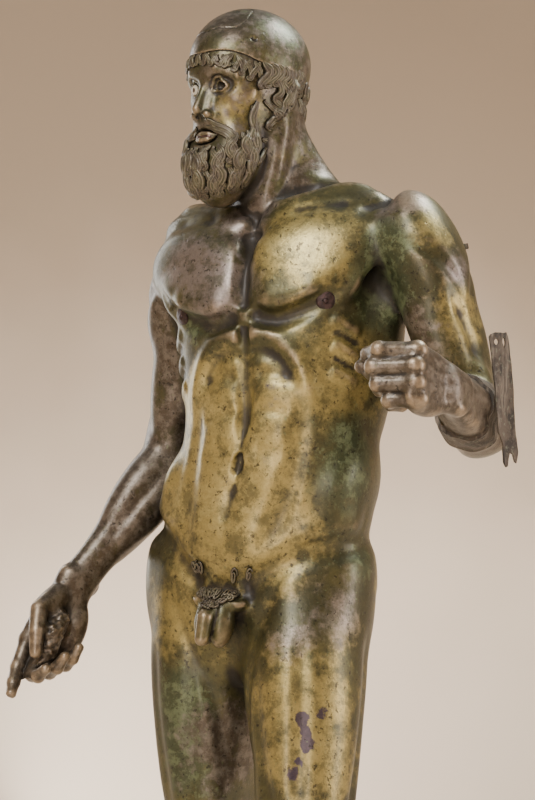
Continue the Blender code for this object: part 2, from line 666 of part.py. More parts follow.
class Hand(Part):
    """A hand from the wrist at the origin, fingers to -Z, palm to -Y, thumb at +X."""

    bends = ((62, 80, 40), (66, 84, 40), (68, 84, 40), (66, 80, 40))
    thumb = ((.020, -.010, -.020), (.044, -.030, -.050), (.042, -.052, -.078), (.028, -.066, -.098))

    def mass(self, p):
        d = column(p, [
            (.03, .028, .018, 0, 0), (0, .029, .019, 0, 0), (-.03, .036, .0175, .0, -.001),
            (-.06, .042, .0165, .0, -.002), (-.09, .043, .0150, 0, -.002), (-.108, .036, .011, 0, -.003)],
            2.5, .012)
        d = join(d, belly(p, (.018, -.010, -.012), (.034, -.022, -.074), .020, .016, (.3, -1, 0)), .012)
        d = join(d, belly(p, (-.026, -.010, -.020), (-.030, -.012, -.090), .016, .014, (-.2, -1, 0)), .012)
        xs = (.031, .0105, -.0105, -.030)
        lens = ((.047, .028, .022), (.052, .031, .024), (.048, .029, .023), (.038, .023, .020))
        sizes = ((.0118, .0106, .0094, .0078), (.0120, .0108, .0096, .0080),
                 (.0115, .0103, .0092, .0076), (.0105, .0094, .0084, .0070))
        drops = (-.096, -.101, -.097, -.088)
        for x, length, size, drop, bend in zip(xs, lens, sizes, drops, self.bends):
            one = finger(p, (x, .001, drop), length, size, bend)
            knuckle = np.linalg.norm(p - np.array([x, .004, drop]), axis=1) - size[0] * 1.08
            d = join(d, join(one, knuckle, .006), .005)
        d = join(d, rod(p, self.thumb, (.0150, .0135, .0118, .0088)), .008)
        return d


class LeftHand(Hand):
    """The shield hand: a loose fist round a lost grip."""

    bends = ((58, 62, 36), (70, 76, 40), (74, 80, 40), (76, 80, 40))
    thumb = ((.020, -.010, -.020), (.040, -.036, -.050), (.034, -.062, -.080), (.018, -.078, -.100))


class RightHand(Hand):
    """The spear hand: the first finger nearly straight, the others curled."""

    bends = ((16, 12, 8), (34, 52, 34), (44, 62, 38), (52, 66, 38))
    thumb = ((.020, -.010, -.020), (.042, -.030, -.052), (.036, -.046, -.086), (.026, -.052, -.116))

    def mass(self, p):
        d = super().mass(p)
        broken = (p - np.array([.031, -.035, -.190])) @ unit((.1, -.45, -1))
        near = np.linalg.norm(p - np.array([.031, -.038, -.196]), axis=1) - .024
        d = np.where(near < 0, np.maximum(d, broken), d)
        lump = rod(p, [(.004, -.030, -.052), (.010, -.040, -.078), (.004, -.036, -.104), (.010, -.030, -.130)],
                   [.012, .015, .013, .007])
        rough = .0022 * np.sin(p[:, 0] * 410) * np.sin(p[:, 1] * 370 + 1) * np.sin(p[:, 2] * 330 + 2)
        return join(d, lump + rough, .010)


HAND_STROKES = [
    Stroke([(.020, .02, -.02), (.0205, .02, -.085)], .006, .0018, 5),
    Stroke([(0, .02, -.02), (0, .02, -.09)], .006, .0018, 5),
    Stroke([(-.020, .02, -.02), (-.0205, .02, -.085)], .006, .0018, 5),
]


class Neck(Part):
    """The neck in world coordinates, from the pit of the throat to the skull."""

    def local(self, points):
        return points * 1.0

    def mass(self, p):
        low = chest_point(0, .022, 1.60)
        high = HEAD.outside((0, .030, -.045))
        d = rod(p, [low, (low + high) / 2 + np.array([0, -.004, 0]), high], [.072, .062, .061])
        for side in (-1, 1):
            ear = HEAD.outside((side * .060, .030, -.035))
            notch = chest_point(side * .013, -.062, 1.612)
            middle = (ear + notch) / 2 + 0.008 * unit(chest_point(side, -1, 1.42) - chest_point(0, 0, 1.42))
            d = join(d, rod(p, [ear, middle, notch], [.018, .014, .009]), .030)
            blade = chest_point(side * .078, .050, 1.622)
            nape = HEAD.outside((side * .020, .050, -.04))
            d = join(d, rod(p, [nape, blade], [.024, .034]), .035)
        throat = [HEAD.outside((0, -.030, -.085)), chest_point(0, -.045, 1.625)]
        return join(d, rod(p, throat, [.030, .020]), .026)


# Rows of locks: (angle, height) of the first and last root, number, length, radius and the way they run
BEARD_ROWS = (
    HairRow((-62, -.118), (62, -.118), 11, .098, .0115, 34, 1.0, 190),
    HairRow((-74, -.088), (74, -.088), 13, .088, .0110, 36, 1.1, 200),
    HairRow((-84, -.050), (-34, -.080), 6, .076, .0098, 36, 1.1, 200),
    HairRow((34, -.080), (84, -.050), 6, .076, .0098, 36, 1.1, 200),
    HairRow((-24, -.100), (24, -.100), 5, .070, .0098, 30, 1.1, 210),
)
MOUSTACHE_ROWS = (
    HairRow((5, -.0665), (9, -.0640), 2, .062, .0062, 16, 0.8, 120, 72, 1, -42),
    HairRow((-5, -.0665), (-9, -.0640), 2, .062, .0062, 16, 0.8, 120, 72, -1, -42),
)
CROWN_ROWS = (
    HairRow((-52, .047), (52, .047), 13, .028, .0070, 10, 1.0, 330, 20),
    HairRow((-104, .016), (-64, .032), 5, .088, .0088, 40, 1.3, 240, 0, -1),
    HairRow((64, .032), (104, .016), 5, .088, .0088, 40, 1.3, 240, 0, 1),
    HairRow((112, .010), (248, .010), 14, .060, .0094, 36, 1.0, 260),
    HairRow((116, -.024), (244, -.024), 13, .064, .0096, 36, 1.0, 270),
    HairRow((124, -.058), (236, -.058), 10, .052, .0092, 30, 0.9, 280),
)


class Head(Part):
    """The head: the face looks to -Y, the chin at z = -0.130 and the crown at 0.132."""

    locks = ()
    carved = True

    def skull(self, p, grow=0.0):
        """The skull's egg, as it is under the cap."""
        return belly(p, (0, -.094, .040), (0, .116, .046), .085, .090, (0, .06, 1)) - grow

    def bare(self, p):
        """The head without hair: skull, face, ears and the mass of the beard."""
        side = p * 1.0
        side[:, 0] = np.abs(side[:, 0])
        d = self.skull(side)
        face = column(side, [
            (.085, .060, .072, 0, -.004), (.050, .074, .091, 0, -.003), (.018, .075, .089, 0, -.002),
            (-.012, .073, .083, 0, -.003), (-.040, .069, .078, 0, -.007), (-.070, .062, .071, 0, -.014),
            (-.100, .051, .062, 0, -.023), (-.124, .038, .047, 0, -.034), (-.138, .022, .030, 0, -.040)],
            2.3, .014)
        d = join(d, face, .014)
        d = join(d, rod(side, [(.004, -.086, .0200), (.030, -.0865, .0265), (.060, -.068, .0165)],
                        [.0080, .0080, .0060]), .016)
        d = join(d, belly(side, (.034, -.073, -.022), (.071, -.040, -.010), .017, .014, (.6, -1, 0)), .022)
        d = join(d, belly(side, (-.040, -.073, -.052), (.040, -.073, -.052), .032, .021, (0, -1, 0)), .020)
        d = cut(d, belly(side, (.011, -.098, .001), (.060, -.080, .000), .0135, .0135, (.2, -1, 0)), .010)
        d = join(d, np.linalg.norm(side - np.array([.0335, -.0705, .0]), axis=1) - .0150, .004)
        nose = rod(side, [(.0, -.083, .016), (0, -.0965, -.014), (0, -.1065, -.037)],
                   [.0066, .0068, .0088])
        wall = rod(side, [(.006, -.076, .010), (.0095, -.086, -.020), (.0110, -.094, -.041)],
                   [.0062, .0088, .0088])
        nose = join(nose, wall, .010)
        wing = belly(side, (.0165, -.1050, -.0440), (.0160, -.0860, -.0495), .0070, .0080, (1, 0, 0))
        d = join(d, join(nose, wing, .004), .009)
        d = cut(d, rod(side, [(.0070, -.106, -.058), (.0080, -.099, -.050)], .0028), .002)
        beard = join(
            belly(side, (0, -.070, -.078), (0, -.058, -.198), .056, .046, (0, -1, 0)),
            belly(side, (.030, -.046, -.040), (.030, -.046, -.160), .038, .044, (.6, -1, 0)), .022)
        d = join(d, beard, .012)
        lip = rod(side, [(0, -.096, -.0775), (.013, -.093, -.0785), (.024, -.086, -.0800)],
                  [.0048, .0046, .0020])
        low = rod(side, [(0, -.0965, -.0870), (.012, -.094, -.0865), (.022, -.087, -.0820)],
                  [.0056, .0052, .0020])
        mouth = belly(side, (-.030, -.092, -.082), (.030, -.092, -.082), .0125, .014, (0, -1, 0))
        d = cut(d, mouth, .006)
        d = join(d, np.minimum(lip, low), .0022)
        nape = belly(side, (0, .056, .055), (0, .066, -.094), .058, .042, (0, 1, 0))
        d = join(d, nape, .020)
        ear = join(rod(side, [(.072, .010, .012), (.077, .024, .016), (.078, .034, -.002),
                              (.075, .026, -.026), (.071, .010, -.044)], [.0042, .0052, .0055, .0050, .0060]),
                   belly(side, (.070, .014, .012), (.069, .012, -.040), .015, .007, (1, -.3, 0)), .003)
        return join(d, ear, .004)

    def mass(self, p):
        d = self.bare(p)
        around = np.abs(np.degrees(np.arctan2(p[:, 0], -p[:, 1])))
        rim = curve(around, (0, 35, 50, 66, 90, 112, 140, 180), (.056, .056, .049, .038, .031, .024, .008, .001))
        cap = np.maximum(self.skull(p, .0065), (rim - p[:, 2]) * .9)
        d = join(d, cap, .0012)
        for path, radii in self.locks:
            reach = radii.max() + .008
            near = ((p > path.min(0) - reach) & (p < path.max(0) + reach)).all(axis=1)
            if near.any():
                d[near] = join(d[near], rod(p[near], path, radii), HAIR_BLEND)
        d = join(d, rod(p, [(-.010, .112, .050), (-.011, .128, .046)], [.006, .0045]), .003)
        return d

    def settle(self):
        rows = BEARD_ROWS + MOUSTACHE_ROWS + CROWN_ROWS
        self.locks = lay_rows(self.bare, rows) if self.carved else ()
        super().settle()


HEAD_STROKES = [
    Stroke([(.0175, -.09, -.0015), (.026, -.09, .0085), (.035, -.09, .0100), (.044, -.085, .0065),
            (.0515, -.08, -.0020)], .0024, -.0030, 9, (.05, .05)),
    Stroke([(.0175, -.09, -.0020), (.028, -.09, -.0078), (.040, -.085, -.0078), (.0505, -.08, -.0020)],
           .0022, -.0022, 9, (.05, .05)),
    Stroke([(.018, -.09, .0085), (.030, -.09, .0155), (.045, -.085, .0125)], .0026, .0018, 7),
    Stroke([(-.0175, -.09, -.0015), (-.026, -.09, .0085), (-.035, -.09, .0100), (-.044, -.085, .0065),
            (-.0515, -.08, -.0020)], .0024, -.0030, 9, (.05, .05)),
    Stroke([(-.0175, -.09, -.0020), (-.028, -.09, -.0078), (-.040, -.085, -.0078),
            (-.0505, -.08, -.0020)], .0022, -.0022, 9, (.05, .05)),
    Stroke([(-.018, -.09, .0085), (-.030, -.09, .0155), (-.045, -.085, .0125)], .0026, .0018, 7),
]


def make_parts():
    """Every part of the figure, posed, in the order in which they are joined, with each join's softness."""
    forward = (0, -1, 0)
    r_arm_dir = unit(RIGHT_WRIST - RIGHT_ELBOW)
    l_arm_dir = unit(LEFT_WRIST - LEFT_ELBOW)
    parts = [
        (Trunk(PELVIS, (-.30, -.22, .84), (.30, .22, 1.72), strokes=TRUNK_STROKES), .02),
    ]
    for side, hip, knee, ankle, toe in ((-1, RIGHT_HIP, RIGHT_KNEE, RIGHT_ANKLE, (-.20, -1, 0)),
                                        (1, LEFT_HIP, LEFT_KNEE, LEFT_ANKLE, (.32, -1, 0))):
        shank = bone(knee, ankle, toe, side)
        parts.append((Thigh(bone(hip, knee, (side * .08, -1, 0), side), (-.13, -.14, -.60), (.14, .14, .12),
                            strokes=THIGH_STROKES), .030))
        parts.append((Shank(shank, (-.10, -.10, -.55), (.10, .12, .10), strokes=SHANK_STROKES), .022))
        flat = bone(ankle, np.array(ankle) - (0, 0, .1), toe, side)
        parts.append((Foot(flat, (-.09, -.27, -.12), (.09, .10, .07)), .014))
    hands = {-1: (RightHand, RIGHT_SHOULDER, RIGHT_ELBOW, RIGHT_WRIST, (-.10, -1, -.2), (-.45, -.80, -.35)),
             1: (LeftHand, LEFT_SHOULDER, LEFT_ELBOW, LEFT_WRIST, (0, -1, 0), (0, 0, 1))}
    for side, (kind, shoulder, elbow, wrist, crease, thumb_way) in hands.items():
        upper = bone(shoulder, elbow, crease, side)
        # the forearm's +X is the thumb's side, so its front is found from where the thumb points
        along = unit(np.array(wrist) - elbow)
        thumb = np.array(thumb_way, float)
        thumb = unit(thumb - along * (thumb @ along))
        front = -np.cross(-along, thumb) * side
        fore = bone(elbow, wrist, front, side)
        parts.append((UpperArm(upper, (-.11, -.11, -.46), (.12, .11, .11), strokes=UPPER_ARM_STROKES,
                               size=(1.14, 1.12, 1)), .024))
        parts.append((Forearm(fore, (-.09, -.09, -.36), (.09, .09, .09), strokes=FOREARM_STROKES,
                              size=(1.14, 1.14, 1)), .020))
        reach = along if side < 0 else unit(along + np.array([-.35, 0, 0.02]))
        if side < 0:
            reach = unit(along + np.array([0.05, .12, -.35]))
        palm = bone(wrist, wrist + reach, front, side)
        parts.append((kind(palm, (-.10, -.16, -.28), (.10, .07, .07), strokes=HAND_STROKES,
                           size=(1.14, 1.14, 1.12)), .012))
    parts.append((Neck(PELVIS, (-.30, -.20, 1.46), (.30, .24, 1.92)), .020))
    parts.append((Head(HEAD, (-.13, -.15, -.24), (.13, .15, .18), strokes=HEAD_STROKES), .020))
    for part, _ in parts:
        part.settle()
    return parts


class Figure:
    """All the parts as one field."""

    def __init__(self):
        self.parts = make_parts()
        self.boxes = []
        for part, soft in self.parts:
            lo, hi = np.array(part.low), np.array(part.high)
            if isinstance(part, (Trunk, Neck)):
                self.boxes.append((lo, hi))
                continue
            corners = np.array([[(lo, hi)[i][0], (lo, hi)[j][1], (lo, hi)[k][2]]
                                for i in (0, 1) for j in (0, 1) for k in (0, 1)])
            world = part.frame.outside(corners)
            self.boxes.append((world.min(0), world.max(0)))

    def distance(self, points):
        gap = np.full(len(points), 0.1)
        for (part, soft), (lo, hi) in zip(self.parts, self.boxes):
            inside = ((points > lo) & (points < hi)).all(axis=1)
            if inside.any():
                gap[inside] = join(gap[inside], part.distance(points[inside]), soft)
        return gap


class Lattice:
    """A lattice whose layers close up from the shoulders to the head, where the carving is finer."""

    head_axis = np.array([-0.028, -0.045])

    def __init__(self, low, high, step, head_step):
        self.small = head_step / step
        self.low = low
        heights = [low[2]]
        while heights[-1] < high[2]:
            heights.append(heights[-1] + step * self.scale(heights[-1]))
        self.heights = np.array(heights)
        self.scales = np.array([self.scale(z) for z in heights])
        self.offset = np.array(low[:2]) - self.head_axis
        self.step = step
        self.shape = tuple(int(np.ceil((high[i] - low[i]) / step)) + 1 for i in (0, 1)) + (len(heights),)

    def scale(self, height):
        """The size of a layer's cells, as a share of the body's."""
        return 1 + (self.small - 1) * float(ramp(np.array(height), 1.60, 1.72))

    def place(self, ijk):
        """Lattice coordinates in the space of the model."""
        ijk = np.asarray(ijk, float)
        layer = np.arange(self.shape[2])
        scale = np.interp(ijk[:, 2], layer, self.scales)
        flat = self.head_axis + scale[:, None] * (self.offset + self.step * ijk[:, :2])
        return np.column_stack([flat, np.interp(ijk[:, 2], layer, self.heights)])


# The six tetrahedra of a cube, each wound the same way; a corner's bits are its x, y and z
CUBE = np.array([[corner >> 2 & 1, corner >> 1 & 1, corner & 1] for corner in range(8)])
TETRAHEDRA = []
for one, other in itertools.permutations((4, 2, 1), 2):
    third = 7 - one - other
    even = (one, other, third) in ((4, 2, 1), (2, 1, 4), (1, 4, 2))
    TETRAHEDRA.append((0, one, one + other, 7) if even else (0, one + other, one, 7))


def tetrahedron_cases():
    """For each pattern of inner corners, the triangles as triples of cut edges."""
    cases = {}
    for order in ((0, 1, 2, 3), (1, 0, 3, 2), (2, 0, 1, 3), (3, 0, 2, 1)):
        a, b, c, d = order
        cut_edges = ((a, b), (a, c), (a, d))
        cases[1 << a] = [cut_edges]
        cases[15 - (1 << a)] = [cut_edges[::-1]]
    for order in ((0, 1, 2, 3), (0, 2, 3, 1), (0, 3, 1, 2), (1, 2, 0, 3), (1, 3, 2, 0), (2, 3, 0, 1)):
        a, b, c, d = order
        cases[(1 << a) + (1 << b)] = [((a, c), (a, d), (b, d)), ((a, c), (b, d), (b, c))]
    return cases


def field_surface(distance, lattice, coarse=4):
    """The closed triangle surface where the field is zero, as (points, triangles)."""
    marks = [np.arange(0, n + coarse, coarse) for n in lattice.shape]
    rough_ijk = np.stack(np.meshgrid(*marks, indexing="ij"), -1).reshape(-1, 3)
    rough = distance(lattice.place(rough_ijk)).reshape([len(m) for m in marks])
    cell = lattice.step * coarse * lattice.scales[np.clip(marks[2], 0, lattice.shape[2] - 1)]
    near = np.abs(rough) < 1.25 * cell + 0.004
    half = coarse // 2

    def spread(block):
        for axis in range(3):
            block = np.repeat(block, coarse, axis)
        return block[tuple(slice(half, half + n) for n in lattice.shape)]

    values = np.where(spread(rough) > 0, 0.1, -0.1)
    ijk = np.argwhere(spread(near))
    for start in range(0, len(ijk), 400000):
        some = ijk[start:start + 400000]
        values[tuple(some.T)] = distance(lattice.place(some))
    values[values == 0] = 1e-9
    return marching(values, lattice)


def marching(values, lattice):
    """Cuts every tetrahedron of the lattice where the sign of the values changes."""
    inner = values < 0
    n = values.shape
    count = sum(
        inner[tuple(slice(c[i], n[i] - 1 + c[i]) for i in range(3))].astype(np.int8) for c in CUBE
    )
    cells = np.argwhere((count > 0) & (count < 8))
    strides = np.array([n[1] * n[2], n[2], 1])
    corner_ids = (cells @ strides)[:, None] + (CUBE @ strides)[None, :]
    flat = values.ravel()
    starts, ends = [], []
    cases = tetrahedron_cases()
    for tetrahedron in TETRAHEDRA:
        ids = corner_ids[:, tetrahedron]
        pattern = (flat[ids] < 0) @ np.array([1, 2, 4, 8])
        for case, triangles in cases.items():
            some = ids[pattern == case]
            for triangle in triangles:
                starts.append(np.stack([some[:, a] for a, _ in triangle], 1))
                ends.append(np.stack([some[:, b] for _, b in triangle], 1))
    starts, ends = np.concatenate(starts), np.concatenate(ends)
    keys = np.minimum(starts, ends) * flat.size + np.maximum(starts, ends)
    edges, corners = np.unique(keys.ravel(), return_inverse=True)
    a, b = edges // flat.size, edges % flat.size
    share = (flat[a] / (flat[a] - flat[b]))[:, None]
    ijk_a = np.stack(np.unravel_index(a, n), 1)
    ijk_b = np.stack(np.unravel_index(b, n), 1)
    points = lattice.place(ijk_a + (ijk_b - ijk_a) * share)
    return largest_body(points, corners.reshape(-1, 3))


def largest_body(points, triangles):
    """Leaves only the outer skin: pockets sealed inside the metal are filled."""
    label = np.arange(len(points))
    while True:
        low = label[triangles].min(axis=1)
        fresh = label.copy()
        np.minimum.at(fresh, triangles.ravel(), np.repeat(low, 3))
        fresh = fresh[fresh]
        if (fresh == label).all():
            break
        label = fresh
    names, sizes = np.unique(label, return_counts=True)
    kept = label == names[np.argmax(sizes)]
    renumber = np.cumsum(kept) - 1
    return points[kept], renumber[triangles[kept[triangles[:, 0]]]]


def bronze(name, color, roughness, metallic=0.85):
    """A Principled material."""
    material = bpy.data.materials.new(name)
    material.use_nodes = True
    shader = material.node_tree.nodes["Principled BSDF"]
    shader.inputs["Base Color"].default_value = (*color, 1.0)
    shader.inputs["Roughness"].default_value = roughness
    shader.inputs["Metallic"].default_value = metallic
    return material


def add_object(name, mesh, material=None):
    """Links a mesh to the scene as a named object."""
    thing = bpy.data.objects.new(name, mesh)
    bpy.context.scene.collection.objects.link(thing)
    if material is not None:
        mesh.materials.append(material)
    return thing


def mesh_from(name, points, faces):
    """A mesh from points and faces."""
    mesh = bpy.data.meshes.new(name)
    mesh.from_pydata(np.asarray(points, float).tolist(), [], [list(map(int, f)) for f in faces])
    mesh.update()
    return mesh


def evaluated(thing, name):
    """The mesh that an object's modifiers make of it."""
    graph = bpy.context.evaluated_depsgraph_get()
    mesh = bpy.data.meshes.new_from_object(thing.evaluated_get(graph))
    mesh.name = name
    return mesh


def is_sound(mesh):
    """True if a mesh is closed and no facet crosses one that it doesn't touch."""
    body = bmesh.new()
    body.from_mesh(mesh)
    body.faces.ensure_lookup_table()
    closed = all(edge.is_manifold for edge in body.edges)
    tree = BVHTree.FromBMesh(body)
    corners = [{vertex.index for vertex in face.verts} for face in body.faces]
    crossings = [pair for pair in tree.overlap(tree) if not corners[pair[0]] & corners[pair[1]]]
    body.free()
    return closed and not crossings


def mended(mesh):
    """Cuts out the facets round every edge that isn't shared by two, and closes the holes again."""
    body = bmesh.new()
    body.from_mesh(mesh)
    bmesh.ops.remove_doubles(body, verts=body.verts, dist=MERGE)
    bmesh.ops.dissolve_degenerate(body, edges=body.edges, dist=MERGE)
    bmesh.ops.triangulate(body, faces=body.faces)
    for _ in range(12):
        bad = {vertex for edge in body.edges if len(edge.link_faces) != 2 for vertex in edge.verts}
        if not bad:
            break
        faces = {face for vertex in bad for face in vertex.link_faces}
        bmesh.ops.delete(body, geom=list(faces), context="FACES")
        rims = {}
        for edge in body.edges:
            if edge.is_boundary:
                for vertex in edge.verts:
                    rims[vertex] = rims.get(vertex, 0) + 1
        knots = [vertex for vertex, count in rims.items() if count > 2]
        if knots:
            faces = {face for vertex in knots for face in vertex.link_faces}
            bmesh.ops.delete(body, geom=list(faces), context="FACES")
        rim = [edge for edge in body.edges if edge.is_boundary]
        caps = bmesh.ops.holes_fill(body, edges=rim, sides=0)["faces"]
        bmesh.ops.triangulate(body, faces=caps, quad_method="BEAUTY", ngon_method="BEAUTY")
    bmesh.ops.recalc_face_normals(body, faces=body.faces)
    body.to_mesh(mesh)
    body.free()


def cutter(name, mesh):
    """A hidden object that only cuts others."""
    thing = add_object(name, mesh)
    thing.hide_render = True
    thing.display_type = "WIRE"
    return thing


def cut_by(thing, tool):
    """Lets the tool's body cut the thing."""
    modifier = thing.modifiers.new(tool.name, "BOOLEAN")
    modifier.operation = "DIFFERENCE"
    modifier.solver = "EXACT"
    modifier.object = tool


def turned_mesh(name, profile, sides):
    """A closed body turned about Z from (radius, height) points; the first and last lie on the axis."""
    mesh = bpy.data.meshes.new(name)
    body = bmesh.new()
    rings = []
    for radius, height in profile[1:-1]:
        angles = [2 * math.pi * i / sides for i in range(sides)]
        rings.append([body.verts.new((radius * math.cos(a), radius * math.sin(a), height)) for a in angles])
    low = body.verts.new((0, 0, profile[0][1]))
    high = body.verts.new((0, 0, profile[-1][1]))
    for i in range(sides):
        j = (i + 1) % sides
        body.faces.new((low, rings[0][j], rings[0][i]))
        body.faces.new((high, rings[-1][i], rings[-1][j]))
        for under, over in zip(rings[:-1], rings[1:]):
            body.faces.new((under[i], under[j], over[j], over[i]))
    body.to_mesh(mesh)
    body.free()
    return mesh


def lying_on(point, normal, offset=0.0):
    """The matrix of a frame whose Z is the normal, its origin moved along it by offset."""
    normal = Vector(normal).normalized()
    turn = normal.to_track_quat("Z", "Y").to_matrix().to_4x4()
    return Matrix.Translation(Vector(point) + normal * offset) @ turn


class Statue:
    """The statue's pieces, placed on the base."""

    def __init__(self):
        self.share = FIGURE_HEIGHT / MODEL_HEIGHT
        self.model = Figure()
        self.sole = self.sole_height()
        self.floor = BASE_THICKNESS + FIT_GAP
        self.feet = np.array([*STANCE, self.floor - self.sole * self.share])
        self.materials = {
            "bronze": bronze("bronze", (0.20, 0.17, 0.075), 0.45),
            "dark_bronze": bronze("dark_bronze", (0.060, 0.052, 0.042), 0.55),
            "copper": bronze("copper", (0.23, 0.085, 0.055), 0.45),
            "inlay": bronze("inlay", (0.62, 0.58, 0.47), 0.50, 0.0),
            "stone": bronze("stone", (0.52, 0.50, 0.46), 0.80, 0.0),
        }

    def sole_height(self):
        """The height of the soles in the model's own coordinates."""
        feet = [part for part, _ in self.model.parts if isinstance(part, Foot)]
        starts = [foot.frame.outside((0, -0.06, -0.06)) for foot in feet]
        return min(ray_exit(self.model.distance, start, (0, 0, -1))[2] for start in starts)

    def distance(self, points):
        """The figure's field at its real size and place."""
        return self.model.distance((points - self.feet) / self.share) * self.share

    def placed(self, points):
        """Points of the model at their real size and place."""
        return np.asarray(points, float) * self.share + self.feet

    def normal(self, point):
        """The figure's outward direction at a point of its surface."""
        return normals(self.distance, np.array([point]), 0.006)[0]

    def build_figure(self):
        """The cast body with its pockets, as one faceted solid."""
        lattice = Lattice((-0.50, -0.44, -0.01), (0.56, 0.24, 2.0), BODY_STEP, HEAD_STEP)
        points, triangles = field_surface(self.model.distance, lattice)
        lean = normals(self.model.distance, points)
        limit = BODY_STEP / 2
        points = points - lean * np.clip(self.model.distance(points), -limit, limit)[:, None]
        points[points[:, 2] < self.sole + 0.004, 2] = self.sole
        rough = add_object("figure_rough", mesh_from("figure_rough", self.placed(points), triangles))
        thin = rough.modifiers.new("thin", "DECIMATE")
        # facets that cross in a narrow place are met by thinning a little further
        for tries in range(8):
            thin.ratio = FIGURE_TRIANGLES * (1 - 0.012 * tries) / len(triangles)
            mesh = evaluated(rough, "figure")
            for vertex in mesh.vertices:
                if vertex.co.z < self.floor + 0.004:
                    vertex.co.z = self.floor
            mended(mesh)
            if is_sound(mesh):
                break
        bpy.data.objects.remove(rough)
        self.figure = add_object("figure", mesh, self.materials["bronze"])

    def pocket(self, name, mesh, matrix):
        """Cuts a pocket into the figure."""
        tool = cutter(name, mesh)
        tool.matrix_world = matrix
        cut_by(self.figure, tool)

    def add_nipples(self):
        """Copper discs let into the breast, one on each side."""
        r, low, top = NIPPLE_RADIUS, -NIPPLE_DEPTH, NIPPLE_RISE
        profile = [(0, low), (r, low), (r, 0.1 * top), (0.62 * r, 0.35 * top), (0.30 * r, 0.45 * top),
                   (0.24 * r, 0.9 * top), (0, top)]
        hole = [(0, low - FIT_GAP), (r + FIT_GAP, low - FIT_GAP), (r + FIT_GAP, 4 * top), (0, 4 * top)]
        for name, side in (("right_nipple", -1), ("left_nipple", 1)):
            inner = self.placed(chest_point(side * NIPPLE_SPACING / 2 / self.share, -0.02, 1.432))
            way = CHEST.axes @ np.array([side * 0.10, -1, 0])
            point = ray_exit(self.distance, inner, way)
            matrix = lying_on(point, self.normal(point))
            piece = add_object(name, turned_mesh(name, profile, 16), self.materials["copper"])
            piece.matrix_world = matrix
            self.pocket(name + "_pocket", turned_mesh(name + "_pocket", hole, 16), matrix)

    def add_eyes(self):
        """The right eye's inlay in its pocket, and the left eye's empty socket."""
        r, low = EYE_RADIUS, -EYE_DEPTH
        profile = [(0, low), (r, low), (r, 0.08 * r), (0.7 * r, 0.30 * r), (0, 0.42 * r)]
        hole = [(0, low - FIT_GAP), (r + FIT_GAP, low - FIT_GAP), (r + FIT_GAP, 2 * r), (0, 2 * r)]
        socket = [(0, -SOCKET_DEPTH), (0.6 * r, -SOCKET_DEPTH), (r, -0.3 * r), (r, 2 * r), (0, 2 * r)]
        for side in (-1, 1):
            point = self.placed(HEAD.outside((side * 0.0335, -0.0830, 0.0)))
            matrix = lying_on(point, HEAD.axes @ np.array([side * 0.12, -1, 0]))
            if side < 0:
                piece = add_object("right_eye", turned_mesh("right_eye", profile, 14), self.materials["inlay"])
                piece.matrix_world = matrix
                self.pocket("right_eye_pocket", turned_mesh("right_eye_pocket", hole, 14), matrix)
            else:
                self.pocket("left_eye_socket", turned_mesh("left_eye_socket", socket, 14), matrix)

    def add_lips(self):
        """Copper lips, one piece let in between beard and moustache."""
        half = (LIP_HALF_WIDTH, LIP_HALF_DEPTH, LIP_HALF_HEIGHT)
        centre = self.placed(HEAD.outside((0, -0.0930, -0.0825)))
        turn = Matrix(HEAD.axes.tolist()).to_4x4()
        for name, grow in (("lips", 0.0), ("lips_pocket", FIT_GAP)):
            body = bmesh.new()
            bmesh.ops.create_uvsphere(body, u_segments=14, v_segments=8, radius=1.0)
            # a facet's middle lies closer in than its corners, so the pocket grows a little more
            sizes = [h + grow * 1.35 for h in half]
            bmesh.ops.transform(body, matrix=Matrix.Diagonal((*sizes, 1)), verts=body.verts)
            mesh = bpy.data.meshes.new(name)
            body.to_mesh(mesh)
            body.free()
            matrix = Matrix.Translation(centre) @ turn
            if grow:
                self.pocket(name, mesh, matrix)
            else:
                add_object(name, mesh, self.materials["copper"]).matrix_world = matrix

    def cuff_rays(self, station, count=20):
        """The forearm's skin at a height of its frame: a start, and the ways and reaches round it."""
        start = self.forearm.outside((0, 0, station))
        angles = 2 * np.pi * np.arange(count) / count
        local = np.column_stack([np.cos(angles), np.sin(angles), np.zeros(count)])
        ways = local @ self.forearm.axes.T
        reaches = [np.linalg.norm(ray_exit(self.model.distance, start, w, 0.10) - start) for w in ways]
        return self.placed(start), ways, np.array(reaches) * self.share

    def cuff_mesh(self, name, rays, grow):
        """The arm band's sheet, or with grow above 0 the groove in which it sits."""
        along = self.forearm.axes[:, 2]
        ends = [grow] + [0.0] * (len(rays) - 2) + [-grow]
        loops = []
        for offset, order in ((CUFF_THICKNESS - CUFF_SINK + grow, 1), (-CUFF_SINK - grow, -1)):
            for (start, ways, reaches), shift in list(zip(rays, ends))[::order]:
                loops.append(start + ways * (reaches + offset)[:, None] + along * shift)
        count, rings = len(loops[0]), len(loops)
        faces = []
        for k in range(rings):
            for i in range(count):
                j, m = (i + 1) % count, (k + 1) % rings
                faces.append((k * count + i, m * count + i, m * count + j))
                faces.append((k * count + i, m * count + j, k * count + j))
        return mesh_from(name, np.concatenate(loops), faces)

    def add_shield_remains(self):
        """The shield's arm band round the left forearm, and the flat strap that stands beside it."""
        self.forearm = next(p.frame for p, _ in self.model.parts if isinstance(p, Forearm) and p.frame.origin[0] > 0)
        half = CUFF_WIDTH / 2 / self.share
        rays = [self.cuff_rays(CUFF_PLACE + half - 2 * half * i / 3) for i in range(4)]
        band = self.cuff_mesh("shield_cuff", rays, 0.0)
        add_object("shield_cuff", band, self.materials["dark_bronze"])
        self.pocket("cuff_groove", self.cuff_mesh("cuff_groove", rays, FIT_GAP), Matrix.Identity(4))
        points = np.array([v.co for v in band.vertices])
        self.add_strap(points)

